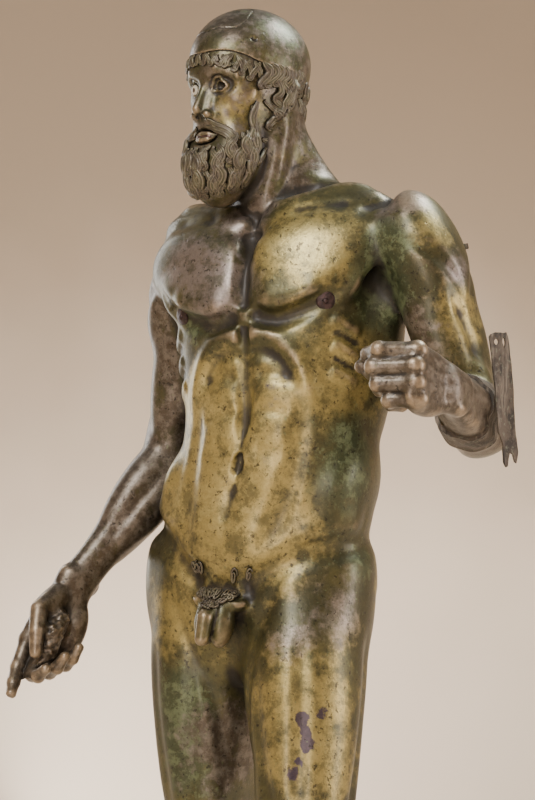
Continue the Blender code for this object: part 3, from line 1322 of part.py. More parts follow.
    def add_strap(self, band):
        """The flat strap: an upright plate with a hole and a slot at its top and a forked lower end."""
        out = unit(STRAP_WAY)
        up = unit(np.array([0.0, 0.0, 1.0]) - 0.12 * np.cross((0.0, 0.0, 1.0), out))
        across = np.cross(up, out)
        face = (band @ out).max() + FIT_GAP
        middle = band.mean(axis=0)
        centre = middle + out * (face - middle @ out) + up * STRAP_RISE + across * STRAP_SHIFT
        w, h = STRAP_WIDTH / 2, STRAP_LENGTH / 2
        outline = [(-w, h * 0.96), (-0.3 * w, h), (0.5 * w, 0.97 * h), (w, 0.99 * h), (w, 0.1 * h),
                   (0.86 * w, -0.4 * h), (0.95 * w, -0.80 * h), (0.50 * w, -h), (0.30 * w, -0.84 * h),
                   (0.05 * w, -0.80 * h), (-0.30 * w, -0.97 * h), (-0.72 * w, -0.90 * h),
                   (-0.62 * w, -0.66 * h), (-w, -0.45 * h)]
        points = [centre + across * x + up * y + out * z for z in (0, STRAP_THICKNESS) for x, y in outline]
        n = len(outline)
        faces = [tuple(range(n)), tuple(range(2 * n - 1, n - 1, -1))]
        faces += [(i, i + n, (i + 1) % n + n, (i + 1) % n) for i in range(n)]
        mesh = mesh_from("shield_strap", points, faces)
        strap = add_object("shield_strap", mesh, self.materials["dark_bronze"])
        body = bmesh.new()
        body.from_mesh(mesh)
        bmesh.ops.recalc_face_normals(body, faces=body.faces)
        body.to_mesh(mesh)
        body.free()
        hole = turned_mesh("strap_hole", [(0, -0.01), (STRAP_HOLE_RADIUS, -0.01), (STRAP_HOLE_RADIUS, 0.02),
                                          (0, 0.02)], 12)
        tool = cutter("strap_hole", hole)
        tool.matrix_world = lying_on(centre + up * 0.86 * h - across * 0.35 * w, out)
        cut_by(strap, tool)

    def add_peg(self):
        """A small square pin in the left upper arm."""
        frame = next(p.frame for p, _ in self.model.parts if isinstance(p, UpperArm) and p.frame.origin[0] > 0)
        start = self.placed(frame.outside((0, 0, -0.045)))
        point = ray_exit(self.distance, start, PEG_WAY)
        matrix = lying_on(point, PEG_WAY)
        for name, grow in (("arm_peg", 0.0), ("arm_peg_pocket", FIT_GAP)):
            body = bmesh.new()
            bmesh.ops.create_cube(body, size=1.0)
            side = PEG_SIDE + 2 * grow
            low = -PEG_DEPTH - grow
            high = PEG_RISE + 4 * grow * PEG_RISE / FIT_GAP
            size = Matrix.Diagonal((side, side, high - low, 1))
            place = Matrix.Translation((0, 0, (high + low) / 2))
            bmesh.ops.transform(body, matrix=place @ size, verts=body.verts)
            mesh = bpy.data.meshes.new(name)
            body.to_mesh(mesh)
            body.free()
            if grow:
                self.pocket(name, mesh, matrix)
            else:
                add_object(name, mesh, self.materials["dark_bronze"]).matrix_world = matrix

    def add_base(self):
        """The low square base, its upper edges bevelled."""
        body = bmesh.new()
        bmesh.ops.create_cube(body, size=1.0)
        size = Matrix.Diagonal((BASE_SIDE, BASE_SIDE, BASE_THICKNESS, 1))
        bmesh.ops.transform(body, matrix=Matrix.Translation((0, 0, BASE_THICKNESS / 2)) @ size, verts=body.verts)
        top = [e for e in body.edges if all(v.co.z > BASE_THICKNESS / 2 for v in e.verts)]
        bmesh.ops.bevel(body, geom=top, offset=BASE_CHAMFER, segments=1, affect="EDGES")
        mesh = bpy.data.meshes.new("base")
        body.to_mesh(mesh)
        body.free()
        add_object("base", mesh, self.materials["stone"])


def ray_exit(distance, start, way, far=0.2):
    """The point where a ray from inside a body leaves it."""
    start, way = np.asarray(start, float), unit(way)
    reach = np.linspace(0, far, 161)
    gaps = distance(start + reach[:, None] * way)
    first = max(int(np.argmax(gaps > 0)), 1)
    share = gaps[first - 1] / (gaps[first - 1] - gaps[first])
    return start + (reach[first - 1] + (reach[first] - reach[first - 1]) * share) * way


def main():
    """Builds every piece."""
    for thing in list(bpy.data.objects):
        bpy.data.objects.remove(thing)
    statue = Statue()
    statue.build_figure()
    statue.add_nipples()
    statue.add_eyes()
    statue.add_lips()
    statue.add_shield_remains()
    statue.add_peg()
    statue.add_base()


main()
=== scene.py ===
"""Bearded warrior, a standing bronze on a low stone base: every finished surface.

The cast body is a field of distances: bellies of muscle in the frames of a posed skeleton, joined
softly, with shallow strokes drawn on them. It is sampled on a lattice, turned into one skin and
given the statue's patina. Geometry Nodes sweep each lock of hair and beard and each curl along its
guide. Metres, +Z up, the statue faces -Y with its own left side at +X.
"""

import itertools
import logging
import math
from collections.abc import Callable, Sequence
from dataclasses import dataclass, field, replace
from enum import Enum

import bmesh
import bpy
import numpy as np
from mathutils import Matrix, Vector


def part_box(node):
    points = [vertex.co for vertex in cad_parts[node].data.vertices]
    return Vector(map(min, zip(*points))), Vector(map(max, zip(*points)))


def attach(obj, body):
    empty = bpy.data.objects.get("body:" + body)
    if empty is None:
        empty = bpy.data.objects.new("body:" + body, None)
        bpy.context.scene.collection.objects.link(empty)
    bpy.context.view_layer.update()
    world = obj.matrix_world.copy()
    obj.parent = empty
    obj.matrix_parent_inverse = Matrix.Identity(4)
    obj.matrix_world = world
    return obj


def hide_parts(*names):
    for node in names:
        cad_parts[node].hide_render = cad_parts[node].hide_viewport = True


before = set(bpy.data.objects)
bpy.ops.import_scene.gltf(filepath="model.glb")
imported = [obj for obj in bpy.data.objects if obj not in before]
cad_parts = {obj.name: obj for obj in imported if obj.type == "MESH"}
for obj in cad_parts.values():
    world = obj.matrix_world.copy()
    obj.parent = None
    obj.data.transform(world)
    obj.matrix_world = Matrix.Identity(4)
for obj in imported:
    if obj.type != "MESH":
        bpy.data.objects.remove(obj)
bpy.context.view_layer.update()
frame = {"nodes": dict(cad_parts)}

Array = np.ndarray
Triple = tuple[float, float, float]
Colour = tuple[float, float, float]
Field = Callable[[Array], Array]
Lock = tuple[Array, Array]

log = logging.getLogger("warrior")

BODY = "root"

# The anatomy's own numbers are written for a figure of this height, which is also the bronze's own
# height. Strokes reach this far from the skin.
MODEL_HEIGHT = 1.97
FIGURE_HEIGHT = 1.97
REACH = 0.034

# The field's value far from every part, and the heights between which the lattice closes up
FAR = 0.1
NECK_HEIGHTS = (1.60, 1.72)

# The figure's place on the base, and the photograph's frame
STANCE = (-0.030, 0.085)
PHOTO_SIZE = (535, 800)


def unit(vector: Sequence[float] | Array) -> Array:
    """Returns the vector at length one."""
    vector = np.asarray(vector, float)
    return vector / np.linalg.norm(vector)


def join(one: Array, other: Array, soft: float) -> Array:
    """Joins two bodies with a soft seam.

    Args:
        one: The distances to the first body.
        other: The distances to the second body.
        soft: The width over which the two melt into each other, in metres.

    Returns:
        The distances to the joined body.
    """
    share = np.clip(0.5 + 0.5 * (other - one) / soft, 0, 1)
    return other + (one - other) * share - soft * share * (1 - share)


def cut(one: Array, other: Array, soft: float) -> Array:
    """Returns the first body's distances with the second body carved out of it."""
    return -join(-one, other, soft)


def ramp(value: Array, low: float, high: float) -> Array:
    """Returns a smooth step from 0 at low to 1 at high."""
    share = np.clip((value - low) / (high - low), 0, 1)
    return share * share * (3 - 2 * share)


def curve(at: Array, knots: Array, values: Array) -> Array:
    """Reads a smooth curve.

    Args:
        at: The places where it is read.
        knots: The places of its given values, rising.
        values: The given values.

    Returns:
        The curve's value at each place.
    """
    knots, values = np.asarray(knots, float), np.asarray(values, float)
    slope = np.gradient(values, knots)
    left = np.clip(np.searchsorted(knots, at) - 1, 0, len(knots) - 2)
    span = knots[left + 1] - knots[left]
    t = np.clip((at - knots[left]) / span, 0, 1)
    return (
        (1 + 2 * t) * (1 - t) ** 2 * values[left]
        + t * (1 - t) ** 2 * span * slope[left]
        + t * t * (3 - 2 * t) * values[left + 1]
        + t * t * (t - 1) * span * slope[left + 1]
    )


def spline(points: Sequence[Triple], count: int) -> Array:
    """Returns count points on a smooth line through the given points."""
    points = np.asarray(points, float)
    chord = np.concatenate([[0], np.cumsum(np.linalg.norm(np.diff(points, axis=0), axis=1))])
    at = np.linspace(0, chord[-1], count)
    return np.stack([curve(at, chord, points[:, i]) for i in range(points.shape[1])], axis=1)


@dataclass(frozen=True)
class Frame:
    """A place with three directions, the columns of axes."""

    origin: Array
    axes: Array

    def inside(self, points: Array) -> Array:
        """Returns world points in this frame's own coordinates."""
        return (points - self.origin) @ self.axes

    def outside(self, points: Sequence[float] | Array) -> Array:
        """Returns points of this frame in world coordinates."""
        return np.asarray(points, float) @ self.axes.T + self.origin


def turned(pitch: float, roll: float, yaw: float) -> Array:
    """Returns a rotation from angles in degrees about X, then Y, then Z."""
    a, b, c = (math.radians(v) for v in (pitch, roll, yaw))
    rx = np.array([[1, 0, 0], [0, math.cos(a), -math.sin(a)], [0, math.sin(a), math.cos(a)]])
    ry = np.array([[math.cos(b), 0, math.sin(b)], [0, 1, 0], [-math.sin(b), 0, math.cos(b)]])
    rz = np.array([[math.cos(c), -math.sin(c), 0], [math.sin(c), math.cos(c), 0], [0, 0, 1]])
    return rz @ ry @ rx


def bone(start: Array, end: Array, front: Triple | Array, side: int) -> Frame:
    """Makes a limb's frame: its -Z runs along the limb, its -Y to the front and its +X outwards.

    Args:
        start: The limb's upper joint.
        end: The limb's lower joint.
        front: The way its front faces.
        side: 1 for the figure's left side, -1 for its right.

    Returns:
        The frame, at the upper joint.
    """
    up = unit(np.subtract(start, end))
    back = -np.asarray(front, float)
    back = unit(back - up * (back @ up))
    out = np.cross(back, up) * side
    return Frame(np.asarray(start, float), np.stack([out, back, up], axis=1))


def belly(p: Array, start: Triple, end: Triple, width: float, thick: float,
          face: Triple = (0, -1, 0)) -> Array:
    """Makes a muscle's belly: an ellipsoid from start to end.

    Args:
        p: The points to measure from.
        start: One end.
        end: The other end.
        width: Its half width, across its face.
        thick: Its half thickness, along its face.
        face: The way it faces.

    Returns:
        The distance of each point to it.
    """
    start, end = np.asarray(start, float), np.asarray(end, float)
    along = unit(end - start)
    normal = np.asarray(face, float)
    normal = unit(normal - along * (normal @ along))
    axes = np.stack([along, np.cross(normal, along), normal], axis=1)
    radii = np.array([np.linalg.norm(end - start) / 2, width, thick])
    q = (p - (start + end) / 2) @ axes
    near = np.linalg.norm(q / radii, axis=1)
    return near * (near - 1) / np.maximum(np.linalg.norm(q / radii**2, axis=1), 1e-6)


def rod(p: Array, path: Sequence[Triple] | Array, radii: float | Sequence[float] | Array) -> Array:
    """Returns the distances to a round rod along a path, its radius changing from point to point."""
    path = np.asarray(path, float)
    radii = np.broadcast_to(np.asarray(radii, float), (len(path),))
    best = np.full(len(p), 1e3)
    for a, b, ra, rb in zip(path[:-1], path[1:], radii[:-1], radii[1:]):
        run = b - a
        t = np.clip(((p - a) @ run) / (run @ run), 0, 1)
        gap = np.linalg.norm(p - a - t[:, None] * run, axis=1) - (ra + (rb - ra) * t)
        best = np.minimum(best, gap)
    return best


def column(p: Array, rows: Sequence[Sequence[float]], power: float = 2.0, soft: float = 0.03) -> Array:
    """Makes a body lofted along Z.

    Args:
        p: The points to measure from.
        rows: Sections as (z, half width, half depth, centre x, centre y).
        power: The sections' fullness: 2 is an ellipse, and more is squarer.
        soft: The rounding of its two ends.

    Returns:
        The distance of each point to it.
    """
    rows = np.asarray(rows, float)
    order = np.argsort(rows[:, 0])
    z, wide, deep, cx, cy = rows[order].T
    at = p[:, 2]
    a, b = curve(at, z, wide), curve(at, z, deep)
    x = np.abs(p[:, 0] - curve(at, z, cx)) / a
    y = np.abs(p[:, 1] - curve(at, z, cy)) / b
    x, y = np.maximum(x, 1e-4), np.maximum(y, 1e-4)
    near = (x**power + y**power) ** (1 / power)
    slope = np.hypot(x ** (power - 1) / a, y ** (power - 1) / b) * near ** (1 - power)
    section = (near - 1) / slope
    ends = np.abs(at - (z[0] + z[-1]) / 2) - (z[-1] - z[0]) / 2
    return -join(-section, -ends, soft)


def line_gap(p: Array, path: Array) -> tuple[Array, Array]:
    """Returns each point's distance to a path, and the share of the path where it is nearest."""
    best, share = np.full(len(p), 1e3), np.zeros(len(p))
    for i, (a, b) in enumerate(zip(path[:-1], path[1:])):
        run = b - a
        t = np.clip(((p - a) @ run) / (run @ run), 0, 1)
        gap = np.linalg.norm(p - a - t[:, None] * run, axis=1)
        closer = gap < best
        best[closer] = gap[closer]
        share[closer] = (i + t[closer]) / (len(path) - 1)
    return best, share


@dataclass
class Stroke:
    """A groove (depth above 0) or a ridge (below 0) drawn on the surface along a path."""

    path: list[Triple]
    width: float
    depth: float
    count: int = 9
    fade: tuple[float, float] = (0.25, 0.25)


@dataclass
class Part:
    """A share of the body in a frame of its own, with the relief drawn on it.

    A kind of part gives its sections as (z, half width, half depth, centre x, centre y), and its
    muscles as (start, end, half width, half thickness, facing, softness of the join).
    """

    sections = ()
    muscles = ()
    fullness = 2.0
    ends = 0.03

    frame: Frame
    low: Triple
    high: Triple
    strokes: list[Stroke] = field(default_factory=list)
    drawn: list[tuple[Array, Stroke]] = field(default_factory=list)
    size: Triple = (1.0, 1.0, 1.0)

    def mass(self, p: Array) -> Array:
        """Returns the distance to the part before its relief."""
        d = column(p, self.sections, self.fullness, self.ends)
        for start, end, width, thick, face, soft in self.muscles:
            d = join(d, belly(p, start, end, width, thick, face), soft)
        return d

    def local(self, points: Array) -> Array:
        """Returns world points in the part's own coordinates."""
        return self.frame.inside(points) / np.array(self.size)

    def settle(self) -> None:
        """Lays each stroke's path down on the surface that it is drawn on."""
        self.drawn = []
        for stroke in self.strokes:
            path = spline(stroke.path, stroke.count)
            for _ in range(4):
                path = path - normals(self.mass, path) * self.mass(path)[:, None]
            self.drawn.append((path, stroke))

    def distance(self, points: Array) -> Array:
        """Returns the distance to the finished part, for points in world coordinates."""
        p = self.local(points)
        gap = self.mass(p)
        close = np.abs(gap) < REACH
        if not close.any():
            return gap * self.size[0]
        near, change = p[close], 0.0
        for path, stroke in self.drawn:
            reach = stroke.width * 2.4
            inside = ((near > path.min(0) - reach) & (near < path.max(0) + reach)).all(axis=1)
            if not inside.any():
                continue
            push = np.zeros(len(near))
            spread, share = line_gap(near[inside], path)
            spread = spread / stroke.width
            first, last = stroke.fade
            depth = stroke.depth * ramp(share, -1e-3, first) * ramp(1 - share, -1e-3, last)
            push[inside] = depth * np.exp(-spread * spread)
            change = change + push
        gap[close] += change
        return gap * self.size[0]


def normals(distance: Field, points: Array, step: float = 0.0012) -> Array:
    """Returns the outward direction of a distance field at each point."""
    out = np.empty_like(points)
    for axis in range(3):
        shift = np.zeros(3)
        shift[axis] = step
        out[:, axis] = distance(points + shift) - distance(points - shift)
    return out / np.maximum(np.linalg.norm(out, axis=1, keepdims=True), 1e-9)


@dataclass(frozen=True)
class HairRow:
    """A row of locks round the head's axis. Angles in degrees: 0 is the front and + the figure's left."""

    first: tuple[float, float]
    last: tuple[float, float]
    count: int
    length: float
    radius: float
    swing: float = 38.0
    waves: float = 1.2
    curl: float = 200.0
    heading: float = 0.0
    turn: int = 0
    bend: float = 0.0
    lift: float = 0.25


# The cylinder on which a lock is drawn before it is laid on the head, and the head's own radius
HAIR_AXIS = np.array([0.0, 0.004])
HAIR_CYLINDER = 0.115
HEAD_RADIUS = 0.085


def lock_path(angle: float, height: float, row: HairRow, side: float, phase: float, count: int) -> Array:
    """Draws the centre line of one lock on a cylinder round the head's axis.

    Args:
        angle: Where its root is round the head, in degrees.
        height: The root's height in the head's frame.
        row: The row that it belongs to.
        side: 1 or -1, the way its first wave swings.
        phase: Where in its wave it starts, as a share.
        count: The number of its steps.

    Returns:
        The points of the line.
    """
    t = (np.arange(count) + 0.5) / count
    heading = row.heading * side + row.swing * np.sin(2 * np.pi * (row.waves * t + phase)) * side
    heading = heading + side * row.bend * t
    heading = np.radians(heading + side * row.curl * np.clip((t - 0.66) / 0.34, 0, 1) ** 1.3)
    step = row.length / count
    around = np.concatenate([[0], np.cumsum(np.sin(heading) * step)]) / HEAD_RADIUS
    down = np.concatenate([[0], np.cumsum(np.cos(heading) * step)])
    turned_by = np.radians(angle) + around
    x = HAIR_AXIS[0] + HAIR_CYLINDER * np.sin(turned_by)
    y = HAIR_AXIS[1] - HAIR_CYLINDER * np.cos(turned_by)
    return np.stack([x, y, height - down], axis=1)


def lock_profile(count: int) -> Array:
    """Returns the share of a lock's full radius along its length: narrow root, full body, fine tip."""
    t = np.linspace(0, 1, count + 1)
    return 0.45 + 0.55 * ramp(t, 0, 0.30) - 0.50 * ramp(t, 0.55, 1.0)


def lay_rows(distance: Field, rows: Sequence[HairRow], count: int = 12) -> list[Lock]:
    """Lays every lock of the rows on a surface.

    Args:
        distance: The field of the surface that carries them.
        rows: The rows of locks.
        count: The number of steps in each lock.

    Returns:
        Each lock as its path and its radii.
    """
    paths, widths, lifts = [], [], []
    for number, row in enumerate(rows):
        for i in range(row.count):
            share = i / max(row.count - 1, 1)
            angle = row.first[0] + (row.last[0] - row.first[0]) * share
            height = row.first[1] + (row.last[1] - row.first[1]) * share
            side = row.turn if row.turn else (1 if (i + number) % 2 else -1)
            shake = math.sin(12.9 * i + 4.7 * number)
            path = lock_path(angle + 2.0 * shake, height + 0.004 * shake, row, side, 0.08 * shake, count)
            paths.append(path)
            widths.append(row.radius * (1 + 0.12 * math.sin(7.1 * i + number)) * lock_profile(count))
            lifts.append(widths[-1] * row.lift)
    points = laid(distance, np.concatenate(paths), 0.004)
    points = points + normals(distance, points, 0.004) * np.concatenate(lifts)[:, None]
    return list(zip(np.split(points, len(paths)), widths))


def laid(distance: Field, points: Array, step: float, rounds: int = 5) -> Array:
    """Returns the points moved onto the surface of a distance field."""
    for _ in range(rounds):
        points = points - normals(distance, points, step) * distance(points)[:, None] * 0.9
    return points


# Skeleton in world coordinates, the figure facing -Y with its left side at +X
PELVIS = Frame(np.array([-0.045, 0.0, 1.03]), turned(-3, 5, 4))
PELVIS_REST = np.array([0, 0, 1.03])
CHEST = Frame(np.array([-0.002, 0.004, 1.450]), turned(-3, -3, 5))
CHEST_REST = np.array([0, 0, 1.42])
HEAD = Frame(np.array([-0.0355, -0.0495, 1.842]), turned(4, 3, -16))


def chest_point(x: float, y: float, z: float) -> Array:
    """Returns a place given on the upright chest, where the turned chest has it."""
    return CHEST.outside(np.array([x, y, z]) - CHEST_REST)


def pelvis_point(x: float, y: float, z: float) -> Array:
    """Returns a place given on the upright hips, where the turned hips have it."""
    return PELVIS.outside(np.array([x, y, z]) - PELVIS_REST)


RIGHT_SHOULDER = chest_point(-0.168, 0.016, 1.530)
LEFT_SHOULDER = chest_point(0.240, 0.000, 1.550)
RIGHT_ELBOW = np.array([-0.246, 0.034, 1.222])
LEFT_ELBOW = np.array([0.342, 0.066, 1.276])
RIGHT_WRIST = np.array([-0.330, -0.146, 0.998])
LEFT_WRIST = np.array([0.424, -0.184, 1.314])
RIGHT_HIP = pelvis_point(-0.092, 0.01, 1.02)
LEFT_HIP = pelvis_point(0.092, 0.01, 1.02)
RIGHT_KNEE = np.array([-0.135, -0.015, 0.552])
LEFT_KNEE = np.array([0.130, -0.130, 0.560])
RIGHT_ANKLE = np.array([-0.125, 0.055, 0.095])
LEFT_ANKLE = np.array([0.185, -0.080, 0.095])


class Trunk(Part):
    """Hips, belly, ribs and shoulders: one symmetric body bent between two frames."""

    def local(self, points: Array) -> Array:
        """Returns points unbent into the trunk's upright rest, folded onto its left half."""
        low = PELVIS.inside(points) + PELVIS_REST
        high = CHEST.inside(points) + CHEST_REST
        share = ramp(points[:, 2], 1.06, 1.34)[:, None]
        p = low * (1 - share) + high * share
        p[:, 0] = np.abs(p[:, 0])
        return p

    sections = (
        (0.86, .120, .085, 0, .02), (0.93, .168, .110, 0, .018), (1.01, .190, .125, 0, .012),
        (1.08, .188, .127, 0, .004), (1.14, .177, .123, 0, -.002), (1.20, .169, .120, 0, -.004),
        (1.26, .166, .120, 0, -.003), (1.33, .172, .126, 0, .0), (1.40, .180, .132, 0, .004),
        (1.47, .182, .130, 0, .010), (1.53, .168, .114, 0, .018), (1.585, .135, .090, 0, .024),
        (1.635, .090, .070, 0, .028), (1.68, .062, .058, 0, .028))
    fullness = 2.25
    muscles = (
        ((.004, -.112, 1.485), (.215, -.040, 1.545), .075, .038, (.35, -1, .15), .024),
        ((.006, -.114, 1.447), (.185, -.070, 1.472), .046, .032, (.35, -1, -.1), .022),
        ((.012, -.082, 1.575), (.200, -.015, 1.600), .036, .028, (.2, -1, .5), .022),
        ((.165, .045, 1.51), (.140, .050, 1.22), .070, .036, (1, .3, 0), .030),
        ((.190, .030, 1.54), (.170, .060, 1.33), .060, .030, (1, .5, 0), .030),
        ((-.02, .040, 1.652), (.232, .018, 1.578), .054, .032, (0, .5, 1), .035),
        ((.026, .070, 1.655), (.110, .108, 1.42), .070, .030, (.1, 1, .1), .030),
        ((.060, .095, 1.56), (.140, .108, 1.40), .058, .026, (.3, 1, 0), .030),
        ((.070, .085, 1.565), (.225, .040, 1.560), .050, .034, (0, 1, .3), .030),
        ((.040, .080, 1.44), (.042, .085, 1.08), .034, .036, (.1, 1, 0), .020),
        ((.154, -.080, 1.160), (.146, .080, 1.170), .050, .034, (1, 0, 0), .032),
        ((.060, -.104, 1.32), (.055, -.106, 1.09), .050, .020, (.3, -1, 0), .024),
        ((.0, -.095, 1.15), (.0, -.100, 1.03), .090, .034, (0, -1, 0), .026),
        ((.074, .078, 1.105), (.094, .072, .915), .082, .072, (.15, 1, -.1), .022),
        ((.160, .02, 1.12), (.166, .015, .90), .070, .042, (1, .1, 0), .040),
    )

    def mass(self, p: Array) -> Array:
        """Returns the distance to the trunk before its relief."""
        p = p * 1.0
        p[:, 0] = np.abs(p[:, 0])
        d = super().mass(p)
        d = join(d, belly(p, (0, -.118, 1.000), (0, -.112, .960), .050, .022, (0, -1, 0)), .016)
        d = join(d, belly(p, (.013, -.120, .985), (.015, -.128, .905), .021, .022, (0, -1, 0)), .007)
        return join(d, rod(p, [(0, -.128, .975), (0, -.156, .952), (0, -.160, .918)],
                           [.013, .0135, .0115]), .005)


TRUNK_STROKES = [
    # breast bone, mid line of the belly, and the spine
    Stroke([(0, -.13, 1.595), (0, -.13, 1.52), (0, -.13, 1.42)], .014, .010, fade=(.2, .1)),
    Stroke([(0, -.13, 1.41), (0, -.13, 1.30), (0, -.13, 1.215)], .012, .007, fade=(.1, .2)),
    Stroke([(0, -.13, 1.165), (0, -.13, 1.10)], .014, .002),
    Stroke([(0, .13, 1.60), (0, .12, 1.42), (0, .12, 1.24), (0, .13, 1.08)], .020, .014),
    # lower edge of the breast
    Stroke([(.004, -.14, 1.420), (.055, -.15, 1.402), (.115, -.14, 1.410), (.165, -.11, 1.440),
            (.200, -.08, 1.490)], .014, .013, 13, (.1, .2)),
    Stroke([(.020, -.14, 1.445), (.06, -.15, 1.430), (.110, -.14, 1.436), (.155, -.12, 1.462)],
           .020, -.006),
    # arch of the ribs
    Stroke([(.004, -.14, 1.385), (.045, -.14, 1.382), (.085, -.13, 1.353), (.112, -.12, 1.305),
            (.130, -.11, 1.245)], .015, -.0055, 11, (.05, .3)),
    Stroke([(.004, -.14, 1.355), (.045, -.14, 1.352), (.072, -.13, 1.328), (.092, -.12, 1.285)],
           .013, .004, 9, (.1, .3)),
    # outer edge of the straight muscle, and its three cross lines
    Stroke([(.100, -.12, 1.290), (.100, -.12, 1.20), (.092, -.12, 1.13), (.062, -.12, 1.05)],
           .019, .007),
    Stroke([(.010, -.13, 1.315), (.045, -.13, 1.319), (.085, -.12, 1.307)], .011, .0032),
    Stroke([(.010, -.13, 1.258), (.045, -.13, 1.261), (.085, -.12, 1.253)], .011, .0028),
    Stroke([(.020, -.13, 1.200), (.045, -.13, 1.202), (.080, -.12, 1.198)], .012, .002),
    # hip fold: the girdle's lower edge, from the small of the back to the groin
    Stroke([(.120, .12, 1.120), (.175, .06, 1.105), (.200, 0, 1.098), (.185, -.06, 1.086),
            (.148, -.09, 1.074), (.110, -.11, 1.048), (.074, -.12, 1.018), (.038, -.12, .996)],
           .019, .0115, 15, (.60, .05)),
    Stroke([(.195, 0, 1.130), (.180, -.06, 1.120), (.148, -.09, 1.108), (.118, -.11, 1.084)],
           .020, -.005, 9),
    Stroke([(.0, -.12, .988), (.030, -.12, .992), (.050, -.12, 1.002)], .011, .009, 9, (0, .3)),
    # saw muscle on the ribs
    Stroke([(.150, -.10, 1.405), (.190, -.05, 1.380)], .013, -.0045, 5),
    Stroke([(.148, -.10, 1.363), (.186, -.05, 1.338)], .013, -.0045, 5),
    Stroke([(.143, -.10, 1.320), (.180, -.05, 1.298)], .013, -.004, 5),
    Stroke([(.150, -.10, 1.384), (.190, -.05, 1.359)], .010, .004, 5),
    Stroke([(.146, -.10, 1.341), (.184, -.05, 1.318)], .010, .004, 5),
    # collar bone and the pit above it
    Stroke([(.016, -.07, 1.606), (.070, -.06, 1.612), (.130, -.03, 1.618), (.195, -.0, 1.632)],
           .011, -.008, 9, (.1, .3)),
    Stroke([(.040, -.05, 1.634), (.090, -.03, 1.644), (.130, -.01, 1.645)], .015, .006),
    Stroke([(.060, -.09, 1.588), (.120, -.07, 1.590), (.170, -.04, 1.588)], .016, .005),
    # shoulder blade, buttock fold and cleft
    Stroke([(.052, .14, 1.53), (.075, .14, 1.42)], .015, .008, 5),
    Stroke([(.070, .14, 1.395), (.150, .10, 1.41)], .015, .007, 5),
    Stroke([(.060, .14, 1.575), (.160, .10, 1.590)], .014, -.005, 5),
    Stroke([(.0, .15, 1.085), (.0, .15, 1.00), (.0, .12, .92)], .015, .030, 9, (.3, 0)),
    Stroke([(.016, .14, .925), (.070, .14, .905), (.125, .11, .918)], .016, .009, 9, (.1, .6)),
    Stroke([(.165, .06, 1.03), (.160, .07, .97)], .026, .008, 5),
    # navel
    Stroke([(0, -.14, 1.196), (0, -.14, 1.184)], .0075, .013, 3, (0, 0)),
    Stroke([(0, -.14, 1.204), (.009, -.14, 1.198)], .006, -.004, 3, (0, 0)),
]


class Thigh(Part):
    """A thigh, its length along Z from the hip at 0 down to the knee."""

    sections = (
        (.05, .070, .080, -.006, .008), (-.02, .094, .100, -.004, .004), (-.10, .100, .107, 0, .0),
        (-.18, .098, .106, .0, -.002), (-.26, .089, .097, 0, -.002), (-.34, .077, .084, 0, 0),
        (-.40, .067, .073, 0, .002), (-.45, .061, .066, 0, .004), (-.50, .057, .062, 0, .006),
        (-.55, .050, .054, 0, .008))
    ends = .05
    muscles = (
        ((.052, -.02, -.05), (.040, -.028, -.43), .052, .036, (1, -.5, 0), .020),
        ((.012, -.070, -.02), (.000, -.050, -.43), .036, .030, (.1, -1, 0), .020),
        ((-.034, -.030, -.26), (-.034, -.036, -.465), .036, .032, (-1, -.6, 0), .016),
        ((-.062, .0, .0), (-.040, .01, -.30), .060, .044, (-1, 0, 0), .025),
        ((.026, .062, -.02), (.034, .044, -.46), .036, .030, (.4, 1, 0), .020),
        ((-.022, .064, -.02), (-.036, .044, -.47), .036, .030, (-.4, 1, 0), .020),
        ((0, -.056, -.450), (0, -.054, -.510), .028, .011, (0, -1, 0), .016),
    )


THIGH_STROKES = [
    Stroke([(.040, -.09, -.10), (.036, -.08, -.25), (.026, -.07, -.42)], .014, .005),
    Stroke([(-.030, -.09, -.12), (-.030, -.08, -.28), (-.012, -.07, -.42)], .014, .005),
    Stroke([(.040, -.09, .03), (-.02, -.10, -.08), (-.065, -.06, -.24), (-.066, -.02, -.40)],
           .014, .006, 11),
    Stroke([(.098, .03, -.06), (.084, .03, -.24), (.062, .03, -.43)], .014, .006),
    Stroke([(0, .10, -.16), (0, .09, -.30), (0, .07, -.44)], .016, .006),
    Stroke([(-.030, -.06, -.452), (0, -.07, -.440), (.030, -.06, -.452)], .009, .005),
    Stroke([(-.026, -.06, -.500), (0, -.07, -.506), (.026, -.06, -.500)], .010, .003),
]


class Shank(Part):
    """A lower leg, its length along Z from the knee at 0 down to the ankle."""

    sections = (
        (.05, .052, .056, 0, .004), (0, .055, .059, 0, .006), (-.06, .056, .061, 0, .012),
        (-.13, .058, .064, 0, .018), (-.20, .055, .060, 0, .016), (-.27, .047, .051, 0, .010),
        (-.34, .036, .041, 0, .005), (-.40, .033, .038, 0, .004), (-.46, .035, .042, 0, .006),
        (-.50, .034, .044, 0, .004))
    muscles = (
        ((-.024, .030, .02), (-.020, .034, -.25), .036, .036, (-.5, 1, 0), .014),
        ((.024, .030, .02), (.022, .032, -.22), .034, .034, (.5, 1, 0), .014),
        ((.030, .006, -.05), (.026, .016, -.34), .028, .024, (1, .2, 0), .016),
        ((-.026, .006, -.10), (-.022, .018, -.36), .028, .022, (-1, .2, 0), .016),
        ((.016, -.028, -.03), (.006, -.024, -.30), .026, .022, (.4, -1, 0), .014),
        ((-.036, .002, -.435), (-.034, .002, -.475), .014, .012, (-1, 0, 0), .010),
        ((.034, .008, -.445), (.033, .008, -.490), .013, .011, (1, 0, 0), .010),
        ((0, .040, -.34), (0, .044, -.48), .012, .012, (0, 1, 0), .014),
    )


